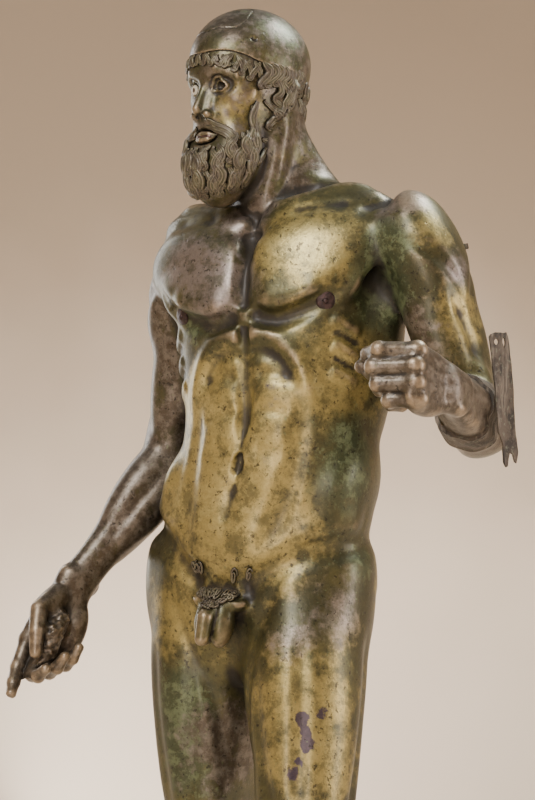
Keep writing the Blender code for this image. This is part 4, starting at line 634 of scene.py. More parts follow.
SHANK_STROKES = [
    Stroke([(-.006, -.06, -.03), (-.004, -.05, -.15), (-.004, -.05, -.30), (-.008, -.04, -.42)],
           .009, -.004),
    Stroke([(0, .08, .0), (0, .08, -.10), (0, .07, -.22)], .011, .006),
    Stroke([(-.04, .05, -.24), (0, .06, -.235), (.04, .05, -.215)], .012, .0018),
    Stroke([(.046, -.01, -.06), (.038, -.01, -.20), (.030, -.01, -.32)], .010, .004),
    Stroke([(.026, .035, -.40), (.026, .035, -.46)], .010, .005),
    Stroke([(-.026, .035, -.40), (-.026, .035, -.46)], .010, .005),
]


class Foot(Part):
    """A foot in the ankle's frame: the ground is at z = -0.095 and the toes point to -Y."""

    def mass(self, p: Array) -> Array:
        """Returns the distance to the part before its relief."""
        q = p[:, [0, 2, 1]] * np.array([1, 1, -1])
        rows = [(-.066, .020, .022, 0, -.060), (-.045, .032, .038, 0, -.054), (-.01, .035, .050, 0, -.046),
                (.03, .035, .048, 0, -.046), (.07, .038, .038, 0, -.056), (.11, .045, .029, .002, -.066),
                (.145, .050, .022, .004, -.073), (.170, .050, .018, .004, -.077),
                (.190, .042, .014, .002, -.080)]
        d = column(q, rows, 2.3, .02)
        d = join(d, belly(p, (0, .012, .02), (0, -.06, -.055), .034, .030, (0, -1, 1)), .02)
        for x, tip, size, root in ((-.030, -.228, .0155, -.160), (-.006, -.232, .0115, -.165),
                                   (.014, -.222, .0105, -.160), (.031, -.206, .0100, -.150),
                                   (.046, -.188, .0100, -.140)):
            high = -.095 + size
            toe = rod(p, [(x, root, high + .006), (x * 1.02, (root + tip) / 2, high + .004),
                          (x * 1.04, tip + size, high - .001)], [size, size * .88, size])
            d = join(d, toe, .006)
        arch = belly(p, (-.062, .0, -.100), (-.050, -.12, -.100), .020, .030, (-1, 0, 0))
        d = cut(d, arch, .02)
        return -join(-d, -(-.0948 - p[:, 2]), .006)


class UpperArm(Part):
    """An upper arm from the shoulder at z = 0 down to the elbow."""

    sections = (
        (.03, .042, .050, 0, 0), (-.04, .048, .054, 0, 0), (-.11, .047, .054, 0, .002),
        (-.18, .043, .052, 0, .002), (-.25, .039, .046, 0, .004), (-.30, .038, .040, 0, .004),
        (-.345, .040, .038, 0, .002), (-.39, .038, .036, 0, .0))
    muscles = (
        ((.020, .0, .062), (.026, .0, -.165), .064, .046, (1, 0, .1), .022),
        ((-.020, -.030, .040), (.030, -.018, -.150), .034, .034, (.2, -1, 0), .018),
        ((-.020, .034, .040), (.030, .020, -.150), .034, .034, (.2, 1, 0), .018),
        ((-.004, -.026, -.06), (.0, -.020, -.325), .037, .034, (0, -1, 0), .014),
        ((.018, .030, -.04), (.010, .028, -.29), .030, .034, (.5, 1, 0), .014),
        ((-.020, .026, -.05), (-.012, .026, -.31), .030, .034, (-.6, 1, 0), .014),
        ((.026, -.006, -.23), (.026, -.020, -.36), .018, .020, (1, 0, 0), .014),
    )


UPPER_ARM_STROKES = [
    Stroke([(.034, -.03, -.10), (.040, -.012, -.19), (.040, -.008, -.27)], .010, .006),
    Stroke([(-.05, -.004, -.06), (-.045, -.004, -.18), (-.04, -.004, -.29)], .011, .006),
    Stroke([(.02, -.06, -.02), (.055, -.03, -.10), (.050, 0, -.165)], .010, .005),
    Stroke([(.02, .06, -.02), (.055, .03, -.10), (.050, 0, -.165)], .010, .005),
    Stroke([(.0, .06, -.20), (0, .05, -.30)], .011, .003),
]


class Forearm(Part):
    """A forearm from the elbow at z = 0 down to the wrist, the thumb's side at +X."""

    sections = (
        (.045, .034, .036, 0, 0), (0, .040, .040, 0, 0), (-.05, .045, .042, 0, 0),
        (-.09, .044, .040, 0, 0), (-.14, .038, .034, 0, 0), (-.19, .031, .027, 0, 0),
        (-.24, .028, .021, 0, 0), (-.28, .029, .019, 0, 0), (-.31, .030, .018, 0, 0))
    muscles = (
        ((.026, -.010, .05), (.022, -.006, -.17), .026, .026, (1, 0, 0), .014),
        ((.010, .022, .02), (.006, .014, -.20), .026, .020, (0, 1, 0), .012),
        ((-.016, -.022, .02), (-.010, -.014, -.20), .028, .022, (-.4, -1, 0), .012),
        ((-.030, .010, .02), (-.022, .010, -.22), .022, .020, (-1, .3, 0), .012),
        ((-.026, .012, -.255), (-.026, .010, -.290), .010, .009, (-1, 1, 0), .008),
    )


FOREARM_STROKES = [
    Stroke([(.035, .03, -.01), (.030, .03, -.10), (.026, .02, -.19)], .009, .004),
    Stroke([(-.02, .04, -.02), (-.018, .03, -.12), (-.018, .02, -.22)], .009, .004),
    Stroke([(.01, -.04, -.03), (.008, -.03, -.14), (.006, -.02, -.22)], .009, .003),
]


def finger(p: Array, root: Triple, lengths: Triple, radii: Sequence[float], bends: Triple) -> Array:
    """Makes one finger: three rods that bend towards the palm, at -Y.

    Args:
        p: The points to measure from.
        root: The place of its knuckle.
        lengths: The lengths of its three bones.
        radii: Its radius at the knuckle, the two joints and the tip.
        bends: How far each bone turns from the one before it, in degrees.

    Returns:
        The distance of each point to it.
    """
    path, angle, at = [np.asarray(root, float)], 0.0, np.asarray(root, float)
    for length, bend in zip(lengths, bends):
        angle += np.radians(bend)
        at = at + length * np.array([0.0, -np.sin(angle), -np.cos(angle)])
        path.append(at)
    d = rod(p, path, radii)
    for joint, radius in zip(path[1:-1], radii[1:-1]):
        d = join(d, np.linalg.norm(p - joint, axis=1) - radius * 1.06, .004)
    return d


class Hand(Part):
    """A hand from the wrist at the origin, fingers to -Z, palm to -Y, thumb at +X."""

    bends = ((62, 80, 40), (66, 84, 40), (68, 84, 40), (66, 80, 40))
    thumb = ((.020, -.010, -.020), (.044, -.030, -.050), (.042, -.052, -.078), (.028, -.066, -.098))

    def mass(self, p: Array) -> Array:
        """Returns the distance to the part before its relief."""
        d = column(p, [
            (.03, .028, .018, 0, 0), (0, .029, .019, 0, 0), (-.03, .036, .0175, .0, -.001),
            (-.06, .042, .0165, .0, -.002), (-.09, .043, .0150, 0, -.002), (-.108, .036, .011, 0, -.003)],
            2.5, .012)
        d = join(d, belly(p, (.018, -.010, -.012), (.034, -.022, -.074), .020, .016, (.3, -1, 0)), .012)
        d = join(d, belly(p, (-.026, -.010, -.020), (-.030, -.012, -.090), .016, .014, (-.2, -1, 0)), .012)
        xs = (.031, .0105, -.0105, -.030)
        lens = ((.047, .028, .022), (.052, .031, .024), (.048, .029, .023), (.038, .023, .020))
        sizes = ((.0118, .0106, .0094, .0078), (.0120, .0108, .0096, .0080),
                 (.0115, .0103, .0092, .0076), (.0105, .0094, .0084, .0070))
        drops = (-.096, -.101, -.097, -.088)
        for x, length, size, drop, bend in zip(xs, lens, sizes, drops, self.bends):
            one = finger(p, (x, .001, drop), length, size, bend)
            knuckle = np.linalg.norm(p - np.array([x, .004, drop]), axis=1) - size[0] * 1.08
            d = join(d, join(one, knuckle, .006), .005)
        d = join(d, rod(p, self.thumb, (.0150, .0135, .0118, .0088)), .008)
        return d


class LeftHand(Hand):
    """The shield hand: a loose fist round a lost grip."""

    bends = ((58, 62, 36), (70, 76, 40), (74, 80, 40), (76, 80, 40))
    thumb = ((.020, -.010, -.020), (.040, -.036, -.050), (.034, -.062, -.080), (.018, -.078, -.100))


class RightHand(Hand):
    """The spear hand: the first finger nearly straight, the others curled."""

    bends = ((16, 12, 8), (34, 52, 34), (44, 62, 38), (52, 66, 38))
    thumb = ((.020, -.010, -.020), (.042, -.030, -.052), (.036, -.046, -.086), (.026, -.052, -.116))

    def mass(self, p: Array) -> Array:
        """Returns the distance to the part before its relief."""
        d = super().mass(p)
        broken = (p - np.array([.031, -.035, -.190])) @ unit((.1, -.45, -1))
        near = np.linalg.norm(p - np.array([.031, -.038, -.196]), axis=1) - .024
        d = np.where(near < 0, np.maximum(d, broken), d)
        lump = rod(p, [(.004, -.030, -.052), (.010, -.040, -.078), (.004, -.036, -.104),
                       (.010, -.030, -.130)], [.012, .015, .013, .007])
        rough = .0022 * np.sin(p[:, 0] * 410) * np.sin(p[:, 1] * 370 + 1) * np.sin(p[:, 2] * 330 + 2)
        return join(d, lump + rough, .010)


HAND_STROKES = [
    Stroke([(.020, .02, -.02), (.0205, .02, -.085)], .006, .0018, 5),
    Stroke([(0, .02, -.02), (0, .02, -.09)], .006, .0018, 5),
    Stroke([(-.020, .02, -.02), (-.0205, .02, -.085)], .006, .0018, 5),
]


class Neck(Part):
    """The neck in world coordinates, from the pit of the throat to the skull."""

    def local(self, points: Array) -> Array:
        """Returns world points as they are."""
        return points * 1.0

    def mass(self, p: Array) -> Array:
        """Returns the distance to the part before its relief."""
        low = chest_point(0, .022, 1.60)
        high = HEAD.outside((0, .030, -.045))
        d = rod(p, [low, (low + high) / 2 + np.array([0, -.004, 0]), high], [.072, .062, .061])
        for side in (-1, 1):
            ear = HEAD.outside((side * .060, .030, -.035))
            notch = chest_point(side * .013, -.062, 1.612)
            middle = (ear + notch) / 2 + 0.008 * unit(chest_point(side, -1, 1.42) - chest_point(0, 0, 1.42))
            d = join(d, rod(p, [ear, middle, notch], [.018, .014, .009]), .030)
            blade = chest_point(side * .078, .050, 1.622)
            nape = HEAD.outside((side * .020, .050, -.04))
            d = join(d, rod(p, [nape, blade], [.024, .034]), .035)
        throat = [HEAD.outside((0, -.030, -.085)), chest_point(0, -.045, 1.625)]
        return join(d, rod(p, throat, [.030, .020]), .026)


# The cap's rim: its height over the head's centre at each angle from the front
CAP_RIM_ANGLES = (0, 35, 50, 66, 90, 112, 140, 180)
CAP_RIM_HEIGHTS = (.056, .056, .049, .038, .031, .024, .008, .001)


class Head(Part):
    """The head: the face looks to -Y, the chin at z = -0.130 and the crown at 0.132."""

    def skull(self, p: Array, grow: float = 0.0) -> Array:
        """Returns the distance to the skull's egg, as it is under the cap."""
        return belly(p, (0, -.094, .040), (0, .116, .046), .085, .090, (0, .06, 1)) - grow

    def bare(self, p: Array) -> Array:
        """Returns the distance to the head without its locks: skull, face, ears and the beard's mass."""
        side = p * 1.0
        side[:, 0] = np.abs(side[:, 0])
        d = self.skull(side)
        face = column(side, [
            (.085, .060, .072, 0, -.004), (.050, .074, .091, 0, -.003), (.018, .075, .089, 0, -.002),
            (-.012, .073, .083, 0, -.003), (-.040, .069, .078, 0, -.007), (-.070, .062, .071, 0, -.014),
            (-.100, .051, .062, 0, -.023), (-.124, .038, .047, 0, -.034), (-.138, .022, .030, 0, -.040)],
            2.3, .014)
        d = join(d, face, .014)
        d = join(d, rod(side, [(.004, -.086, .0200), (.030, -.0865, .0265), (.060, -.068, .0165)],
                        [.0080, .0080, .0060]), .016)
        d = join(d, belly(side, (.034, -.073, -.022), (.071, -.040, -.010), .017, .014, (.6, -1, 0)), .022)
        d = join(d, belly(side, (-.040, -.073, -.052), (.040, -.073, -.052), .032, .021, (0, -1, 0)), .020)
        d = cut(d, belly(side, (.011, -.098, .001), (.060, -.080, .000), .0135, .0135, (.2, -1, 0)), .010)
        d = join(d, np.linalg.norm(side - np.array([.0335, -.0705, .0]), axis=1) - .0150, .004)
        nose = rod(side, [(.0, -.083, .016), (0, -.0965, -.014), (0, -.1065, -.037)],
                   [.0066, .0068, .0088])
        wall = rod(side, [(.006, -.076, .010), (.0095, -.086, -.020), (.0110, -.094, -.041)],
                   [.0062, .0088, .0088])
        nose = join(nose, wall, .010)
        wing = belly(side, (.0165, -.1050, -.0440), (.0160, -.0860, -.0495), .0070, .0080, (1, 0, 0))
        d = join(d, join(nose, wing, .004), .009)
        d = cut(d, rod(side, [(.0070, -.106, -.058), (.0080, -.099, -.050)], .0028), .002)
        beard = join(
            belly(side, (0, -.070, -.078), (0, -.058, -.198), .056, .046, (0, -1, 0)),
            belly(side, (.030, -.046, -.040), (.030, -.046, -.160), .038, .044, (.6, -1, 0)), .022)
        d = join(d, beard, .012)
        lip = rod(side, [(0, -.096, -.0775), (.013, -.093, -.0785), (.024, -.086, -.0800)],
                  [.0048, .0046, .0020])
        low = rod(side, [(0, -.0965, -.0870), (.012, -.094, -.0865), (.022, -.087, -.0820)],
                  [.0056, .0052, .0020])
        mouth = belly(side, (-.030, -.092, -.082), (.030, -.092, -.082), .0125, .014, (0, -1, 0))
        d = cut(d, mouth, .006)
        d = join(d, np.minimum(lip, low), .0022)
        nape = belly(side, (0, .056, .055), (0, .066, -.094), .058, .042, (0, 1, 0))
        d = join(d, nape, .020)
        ear = join(rod(side, [(.072, .010, .012), (.077, .024, .016), (.078, .034, -.002),
                              (.075, .026, -.026), (.071, .010, -.044)], [.0042, .0052, .0055, .0050, .0060]),
                   belly(side, (.070, .014, .012), (.069, .012, -.040), .015, .007, (1, -.3, 0)), .003)
        return join(d, ear, .004)

    def mass(self, p: Array) -> Array:
        """Returns the distance to the part before its relief."""
        d = self.bare(p)
        around = np.abs(np.degrees(np.arctan2(p[:, 0], -p[:, 1])))
        rim = curve(around, CAP_RIM_ANGLES, CAP_RIM_HEIGHTS)
        cap = np.maximum(self.skull(p, .0065), (rim - p[:, 2]) * .9)
        d = join(d, cap, .0012)
        d = join(d, rod(p, [(-.010, .112, .050), (-.011, .128, .046)], [.006, .0045]), .003)
        return d


# The lids and the crease over the left eye, which the right eye mirrors
EYE_STROKES = [
    Stroke([(.0175, -.09, -.0015), (.026, -.09, .0085), (.035, -.09, .0100), (.044, -.085, .0065),
            (.0515, -.08, -.0020)], .0024, -.0030, 9, (.05, .05)),
    Stroke([(.0175, -.09, -.0020), (.028, -.09, -.0078), (.040, -.085, -.0078), (.0505, -.08, -.0020)],
           .0022, -.0022, 9, (.05, .05)),
    Stroke([(.018, -.09, .0085), (.030, -.09, .0155), (.045, -.085, .0125)], .0026, .0018, 7),
]
HEAD_STROKES = EYE_STROKES + [replace(stroke, path=[(-x, y, z) for x, y, z in stroke.path])
                              for stroke in EYE_STROKES]


def make_parts() -> list[tuple[Part, float]]:
    """Returns every part of the figure, posed, in the order of joining, with each join's softness."""
    parts = [
        (Trunk(PELVIS, (-.30, -.22, .84), (.30, .22, 1.72), strokes=TRUNK_STROKES), .02),
    ]
    for side, hip, knee, ankle, toe in ((-1, RIGHT_HIP, RIGHT_KNEE, RIGHT_ANKLE, (-.20, -1, 0)),
                                        (1, LEFT_HIP, LEFT_KNEE, LEFT_ANKLE, (.32, -1, 0))):
        shank = bone(knee, ankle, toe, side)
        parts.append((Thigh(bone(hip, knee, (side * .08, -1, 0), side), (-.13, -.14, -.60), (.14, .14, .12),
                            strokes=THIGH_STROKES), .030))
        parts.append((Shank(shank, (-.10, -.10, -.55), (.10, .12, .10), strokes=SHANK_STROKES), .022))
        flat = bone(ankle, np.array(ankle) - (0, 0, .1), toe, side)
        parts.append((Foot(flat, (-.09, -.27, -.12), (.09, .10, .07)), .014))
    hands = {-1: (RightHand, RIGHT_SHOULDER, RIGHT_ELBOW, RIGHT_WRIST, (-.10, -1, -.2), (-.45, -.80, -.35)),
             1: (LeftHand, LEFT_SHOULDER, LEFT_ELBOW, LEFT_WRIST, (0, -1, 0), (0, 0, 1))}
    for side, (kind, shoulder, elbow, wrist, crease, thumb_way) in hands.items():
        upper = bone(shoulder, elbow, crease, side)
        # the forearm's +X is the thumb's side, so its front is found from where the thumb points
        along = unit(np.array(wrist) - elbow)
        thumb = np.array(thumb_way, float)
        thumb = unit(thumb - along * (thumb @ along))
        front = -np.cross(-along, thumb) * side
        fore = bone(elbow, wrist, front, side)
        parts.append((UpperArm(upper, (-.11, -.11, -.46), (.12, .11, .11), strokes=UPPER_ARM_STROKES,
                               size=(1.14, 1.12, 1)), .024))
        parts.append((Forearm(fore, (-.09, -.09, -.36), (.09, .09, .09), strokes=FOREARM_STROKES,
                              size=(1.14, 1.14, 1)), .020))
        reach = unit(along + np.array([.05, .12, -.35] if side < 0 else [-.35, 0, .02]))
        palm = bone(wrist, wrist + reach, front, side)
        parts.append((kind(palm, (-.10, -.16, -.28), (.10, .07, .07), strokes=HAND_STROKES,
                           size=(1.14, 1.14, 1.12)), .012))
    parts.append((Neck(PELVIS, (-.30, -.20, 1.46), (.30, .24, 1.92)), .020))
    parts.append((Head(HEAD, (-.13, -.15, -.24), (.13, .15, .18), strokes=HEAD_STROKES), .020))
    for part, _ in parts:
        part.settle()
    return parts


class Figure:
    """All the parts as one field."""

    def __init__(self) -> None:
        """Poses the parts and finds the box of each."""
        self.parts = make_parts()
        self.boxes: list[tuple[Array, Array]] = []
        for part, _ in self.parts:
            lo, hi = np.array(part.low), np.array(part.high)
            if isinstance(part, (Trunk, Neck)):
                self.boxes.append((lo, hi))
                continue
            corners = np.array([[(lo, hi)[i][0], (lo, hi)[j][1], (lo, hi)[k][2]]
                                for i in (0, 1) for j in (0, 1) for k in (0, 1)])
            world = part.frame.outside(corners)
            self.boxes.append((world.min(0), world.max(0)))

    def distance(self, points: Array) -> Array:
        """Returns the distance to the whole figure, FAR where no part is near."""
        gap = np.full(len(points), FAR)
        for (part, soft), (lo, hi) in zip(self.parts, self.boxes):
            inside = ((points > lo) & (points < hi)).all(axis=1)
            if inside.any():
                gap[inside] = join(gap[inside], part.distance(points[inside]), soft)
        return gap


class Lattice:
    """A lattice whose layers close up from the shoulders to the head, where the carving is finer."""

    head_axis = np.array([-0.028, -0.045])

    def __init__(self, low: Triple, high: Triple, step: float, head_step: float) -> None:
        """Sets the lattice out.

        Args:
            low: The lowest corner.
            high: The highest corner.
            step: The size of a cell on the body.
            head_step: The size of a cell on the head.
        """
        self.small = head_step / step
        self.low = low
        heights = [low[2]]
        while heights[-1] < high[2]:
            heights.append(heights[-1] + step * self.scale(heights[-1]))
        self.heights = np.array(heights)
        self.scales = np.array([self.scale(z) for z in heights])
        self.offset = np.array(low[:2]) - self.head_axis
        self.step = step
        self.shape = tuple(int(np.ceil((high[i] - low[i]) / step)) + 1 for i in (0, 1)) + (len(heights),)

    def scale(self, height: float) -> float:
        """Returns the size of a layer's cells, as a share of the body's."""
        return 1 + (self.small - 1) * float(ramp(np.array(height), *NECK_HEIGHTS))

    def place(self, ijk: Array) -> Array:
        """Returns lattice coordinates in the space of the model."""
        ijk = np.asarray(ijk, float)
        layer = np.arange(self.shape[2])
        scale = np.interp(ijk[:, 2], layer, self.scales)
        flat = self.head_axis + scale[:, None] * (self.offset + self.step * ijk[:, :2])
        return np.column_stack([flat, np.interp(ijk[:, 2], layer, self.heights)])


# The six tetrahedra of a cube, each wound the same way; a corner's bits are its x, y and z
CUBE = np.array([[corner >> 2 & 1, corner >> 1 & 1, corner & 1] for corner in range(8)])
TETRAHEDRA = []
for one, other in itertools.permutations((4, 2, 1), 2):
    third = 7 - one - other
    even = (one, other, third) in ((4, 2, 1), (2, 1, 4), (1, 4, 2))
    TETRAHEDRA.append((0, one, one + other, 7) if even else (0, one + other, one, 7))


def tetrahedron_cases() -> dict[int, list[tuple]]:
    """Returns, for each pattern of inner corners, the triangles as triples of cut edges."""
    cases = {}
    for order in ((0, 1, 2, 3), (1, 0, 3, 2), (2, 0, 1, 3), (3, 0, 2, 1)):
        a, b, c, d = order
        cut_edges = ((a, b), (a, c), (a, d))
        cases[1 << a] = [cut_edges]
        cases[15 - (1 << a)] = [cut_edges[::-1]]
    for order in ((0, 1, 2, 3), (0, 2, 3, 1), (0, 3, 1, 2), (1, 2, 0, 3), (1, 3, 2, 0), (2, 3, 0, 1)):
        a, b, c, d = order
        cases[(1 << a) + (1 << b)] = [((a, c), (a, d), (b, d)), ((a, c), (b, d), (b, c))]
    return cases


def field_surface(distance: Field, lattice: Lattice, coarse: int = 4,
                  batch: int = 400000) -> tuple[Array, Array]:
    """Finds the closed surface where a field is zero.

    Args:
        distance: The field.
        lattice: The lattice on which it is sampled.
        coarse: The number of cells in a step of the first, rough pass.
        batch: How many points are measured at a time.

    Returns:
        The points and the triangles of the surface.
    """
    marks = [np.arange(0, n + coarse, coarse) for n in lattice.shape]
    rough_ijk = np.stack(np.meshgrid(*marks, indexing="ij"), -1).reshape(-1, 3)
    rough = distance(lattice.place(rough_ijk)).reshape([len(m) for m in marks])
    cell = lattice.step * coarse * lattice.scales[np.clip(marks[2], 0, lattice.shape[2] - 1)]
    near = np.abs(rough) < 1.25 * cell + 0.004
    half = coarse // 2

    def spread(block: Array) -> Array:
        """Returns the rough pass's values at every lattice point."""
        for axis in range(3):
            block = np.repeat(block, coarse, axis)
        return block[tuple(slice(half, half + n) for n in lattice.shape)]

    values = np.where(spread(rough) > 0, FAR, -FAR)
    ijk = np.argwhere(spread(near))
    for start in range(0, len(ijk), batch):
        some = ijk[start:start + batch]
        values[tuple(some.T)] = distance(lattice.place(some))
    values[values == 0] = 1e-9
    return marching(values, lattice)


def marching(values: Array, lattice: Lattice) -> tuple[Array, Array]:
    """Cuts every tetrahedron of the lattice where the sign of the values changes.

    Args:
        values: The field at each lattice point.
        lattice: The lattice.

    Returns:
        The points and the triangles of the surface.
    """
    inner = values < 0
    n = values.shape
    count = sum(
        inner[tuple(slice(c[i], n[i] - 1 + c[i]) for i in range(3))].astype(np.int8) for c in CUBE
    )
    cells = np.argwhere((count > 0) & (count < 8))
    strides = np.array([n[1] * n[2], n[2], 1])
    corner_ids = (cells @ strides)[:, None] + (CUBE @ strides)[None, :]
    flat = values.ravel()
    starts, ends = [], []
    cases = tetrahedron_cases()
    for tetrahedron in TETRAHEDRA:
        ids = corner_ids[:, tetrahedron]
        pattern = (flat[ids] < 0) @ np.array([1, 2, 4, 8])
        for case, triangles in cases.items():
            some = ids[pattern == case]
            for triangle in triangles:
                starts.append(np.stack([some[:, a] for a, _ in triangle], 1))
                ends.append(np.stack([some[:, b] for _, b in triangle], 1))
    starts, ends = np.concatenate(starts), np.concatenate(ends)
    keys = np.minimum(starts, ends) * flat.size + np.maximum(starts, ends)
    edges, corners = np.unique(keys.ravel(), return_inverse=True)
    a, b = edges // flat.size, edges % flat.size
    share = (flat[a] / (flat[a] - flat[b]))[:, None]
    ijk_a = np.stack(np.unravel_index(a, n), 1)
    ijk_b = np.stack(np.unravel_index(b, n), 1)
    points = lattice.place(ijk_a + (ijk_b - ijk_a) * share)
    return largest_body(points, corners.reshape(-1, 3))


def largest_body(points: Array, triangles: Array) -> tuple[Array, Array]:
    """Returns only the outer skin: pockets sealed inside the metal are filled."""
    label = np.arange(len(points))
    while True:
        low = label[triangles].min(axis=1)
        fresh = label.copy()
        np.minimum.at(fresh, triangles.ravel(), np.repeat(low, 3))
        fresh = fresh[fresh]
        if (fresh == label).all():
            break
        label = fresh
    names, sizes = np.unique(label, return_counts=True)
    kept = label == names[np.argmax(sizes)]
    renumber = np.cumsum(kept) - 1
    return points[kept], renumber[triangles[kept[triangles[:, 0]]]]


class Tone(Enum):
    """The tones that lie in patches on the bronze: patina, with a painted sheen in the grey-pink tone and
    painted shade in part of the dark one.
    """

    GOLD = "gold"
    MAUVE = "mauve"
    GREEN = "green"
    DARK = "dark"
    SPOT = "spot"


@dataclass(frozen=True)
class Patch:
    """A soft patch of one tone, its middle in the frame's own metres."""

    place: Triple
    reach: float
    strength: float = 1.0

    def share(self, points: Array) -> Array:
        """Returns how strongly the patch shows at each point."""
        gap = np.linalg.norm(points - np.array(self.place), axis=1) / self.reach
        return self.strength * np.exp(-gap * gap)


# Each patch's place in the frame's own metres, its reach and, below 1, its strength
PATCHES = {
    Tone.GOLD: (
        Patch((0.104, 0.000, 1.650), 0.075), Patch((0.040, -0.020, 1.655), 0.060),
        Patch((-0.023, -0.043, 1.327), 0.105), Patch((-0.006, -0.040, 1.181), 0.100),
        Patch((0.127, 0.023, 1.424), 0.070), Patch((-0.158, -0.024, 1.229), 0.075),
        Patch((-0.118, -0.037, 1.396), 0.075, 0.9), Patch((0.300, 0.110, 1.520), 0.060),
        Patch((0.268, 0.069, 1.662), 0.050, 0.7), Patch((0.094, -0.046, 0.930), 0.100, 0.75),
        Patch((0.147, -0.042, 0.790), 0.110, 0.6), Patch((-0.179, -0.022, 1.028), 0.080, 0.9),
        Patch((-0.030, -0.035, 1.881), 0.060, 0.75), Patch((0.000, 0.190, 1.450), 0.130, 0.7),
        Patch((0.050, 0.170, 1.080), 0.120, 0.6), Patch((0.100, 0.060, 0.450), 0.120, 0.6),
        Patch((-0.170, 0.100, 0.450), 0.110, 0.5),
    ),
    # Grey-pink patina; on the right breast at (-0.070, -0.048, 1.585) and the left hip at (0.117, 0.039,
    # 1.068) and (0.068, -0.035, 1.007) it is a painted sheen standing for broad highlights
    Tone.MAUVE: (
        Patch((-0.070, -0.048, 1.585), 0.080), Patch((-0.040, 0.026, 1.698), 0.050),
        Patch((0.208, 0.079, 1.725), 0.060), Patch((0.300, 0.105, 1.600), 0.035),
        Patch((0.117, 0.039, 1.068), 0.080, 0.55), Patch((0.068, -0.035, 1.007), 0.060, 0.6),
        Patch((-0.158, -0.026, 1.634), 0.060, 0.8), Patch((-0.300, -0.005, 1.177), 0.100, 0.7),
        Patch((0.400, -0.060, 1.410), 0.080, 0.7), Patch((-0.080, 0.180, 1.600), 0.080, 0.7),
        Patch((-0.160, 0.120, 0.700), 0.090, 0.7),
    ),
    Tone.GREEN: (
        Patch((0.207, 0.048, 1.640), 0.050), Patch((0.148, 0.085, 1.599), 0.055),
        Patch((0.189, 0.094, 1.556), 0.060), Patch((0.132, 0.030, 1.262), 0.060),
        Patch((0.134, 0.043, 1.340), 0.050, 0.8), Patch((-0.137, -0.026, 1.520), 0.045, 0.9),
        Patch((-0.160, -0.030, 0.900), 0.070, 0.9), Patch((-0.147, -0.009, 0.800), 0.090),
        Patch((0.130, 0.097, 1.131), 0.050, 0.8), Patch((0.020, 0.040, 2.010), 0.110, 0.9),
        Patch((0.090, 0.190, 1.300), 0.080, 0.8), Patch((-0.120, 0.120, 0.300), 0.100, 0.8),
        Patch((0.150, 0.000, 0.300), 0.090, 0.8),
    ),
    # Brown patina; the two patches on the right thigh, at (-0.091, 0.034, 0.829) and (-0.110, 0.030, 0.650),
    # are painted shade where that thigh turns away into shadow
    Tone.DARK: (
        Patch((0.020, 0.040, 2.010), 0.120, 0.2), Patch((-0.091, 0.034, 0.829), 0.080),
        Patch((0.250, 0.070, 1.500), 0.060, 0.8), Patch((-0.110, 0.030, 0.650), 0.090, 0.7),
    ),
    Tone.SPOT: (
        Patch((0.128, -0.035, 0.893), 0.013), Patch((0.102, -0.053, 0.888), 0.014),
        Patch((0.110, -0.056, 0.866), 0.010), Patch((0.115, -0.059, 0.845), 0.014),
        Patch((0.105, -0.068, 0.822), 0.008), Patch((0.100, -0.076, 0.801), 0.012),
    ),
}


@dataclass
class Wiring:
    """Adds and joins the nodes of one tree, of either kind."""

    tree: bpy.types.NodeTree

    def add(self, kind: str, inputs: dict | None = None, **settings: object) -> bpy.types.Node:
        """Adds a node.

        Args:
            kind: The node's type name.
            inputs: A value or another node's socket for each named or numbered input.
            settings: The node's own properties.

        Returns:
            The node.
        """
        node = self.tree.nodes.new(kind)
        for name, value in settings.items():
            setattr(node, name, value)
        for key, value in (inputs or {}).items():
            self.feed(node.inputs[key], value)
        return node

    def feed(self, socket: bpy.types.NodeSocket, value: object) -> None:
        """Gives an input a value, or joins another node's output to it."""
        if isinstance(value, bpy.types.NodeSocket):
            self.tree.links.new(value, socket)
        elif socket.type == "RGBA" and len(value) == 3:
            socket.default_value = (*value, 1.0)
        else:
            socket.default_value = value

    def sum(self, operation: str, *values: object) -> bpy.types.NodeSocket:
        """Returns the result of a Math node's operation on one to three values."""
        node = self.add("ShaderNodeMath", dict(enumerate(values)), operation=operation)
        return node.outputs[0]

    def plus(self, value: object, other: object, share: float) -> bpy.types.NodeSocket:
        """Returns a value with a share of another one added to it."""
        return self.sum("ADD", value, self.sum("MULTIPLY", other, share))

    def swing(self, noise: object, gain: float) -> bpy.types.NodeSocket:
        """Returns a noise's swing about its middle, times a gain."""
        return self.sum("MULTIPLY", self.sum("SUBTRACT", noise, 0.5), gain)

    def step(self, value: object, low: float, high: float, top: float = 1.0) -> bpy.types.NodeSocket:
        """Returns a smooth step of a value: 0 at low and top at high."""
        inputs = {0: value, 1: low, 2: high, 3: 0.0, 4: top}
        return self.add("ShaderNodeMapRange", inputs, interpolation_type="SMOOTHSTEP").outputs[0]

    def mix(self, share: object, one: object, other: object, kind: str = "MIX") -> bpy.types.NodeSocket:
        """Returns one colour mixed with another by a share."""
        inputs = {0: share, 6: one, 7: other}
        return self.add("ShaderNodeMix", inputs, data_type="RGBA", blend_type=kind).outputs[2]

    def noise(self, place: object, scale: float, detail: float = 5.0,
              rough: float = 0.55) -> bpy.types.NodeSocket:
        """Returns a noise of the given scale, with its detail and roughness."""
        inputs = {"Vector": place, "Scale": scale, "Detail": detail, "Roughness": rough}
        return self.add("ShaderNodeTexNoise", inputs).outputs[0]

    def moved(self, place: object, shift: Triple, scale: Triple = (1, 1, 1)) -> bpy.types.NodeSocket:
        """Returns a place moved and scaled."""
        return self.add("ShaderNodeMapping", {"Vector": place, "Location": shift, "Scale": scale}).outputs[0]

    def attribute(self, name: str) -> bpy.types.NodeSocket:
        """Returns a number stored on the mesh, in a material."""
        return self.add("ShaderNodeAttribute", attribute_name=name).outputs["Fac"]

    def bump(self, height: object, distance: float, strength: float) -> bpy.types.NodeSocket:
        """Returns a normal from a height, in metres of distance."""
        inputs = {"Height": height, "Distance": distance, "Strength": strength}
        return self.add("ShaderNodeBump", inputs).outputs[0]


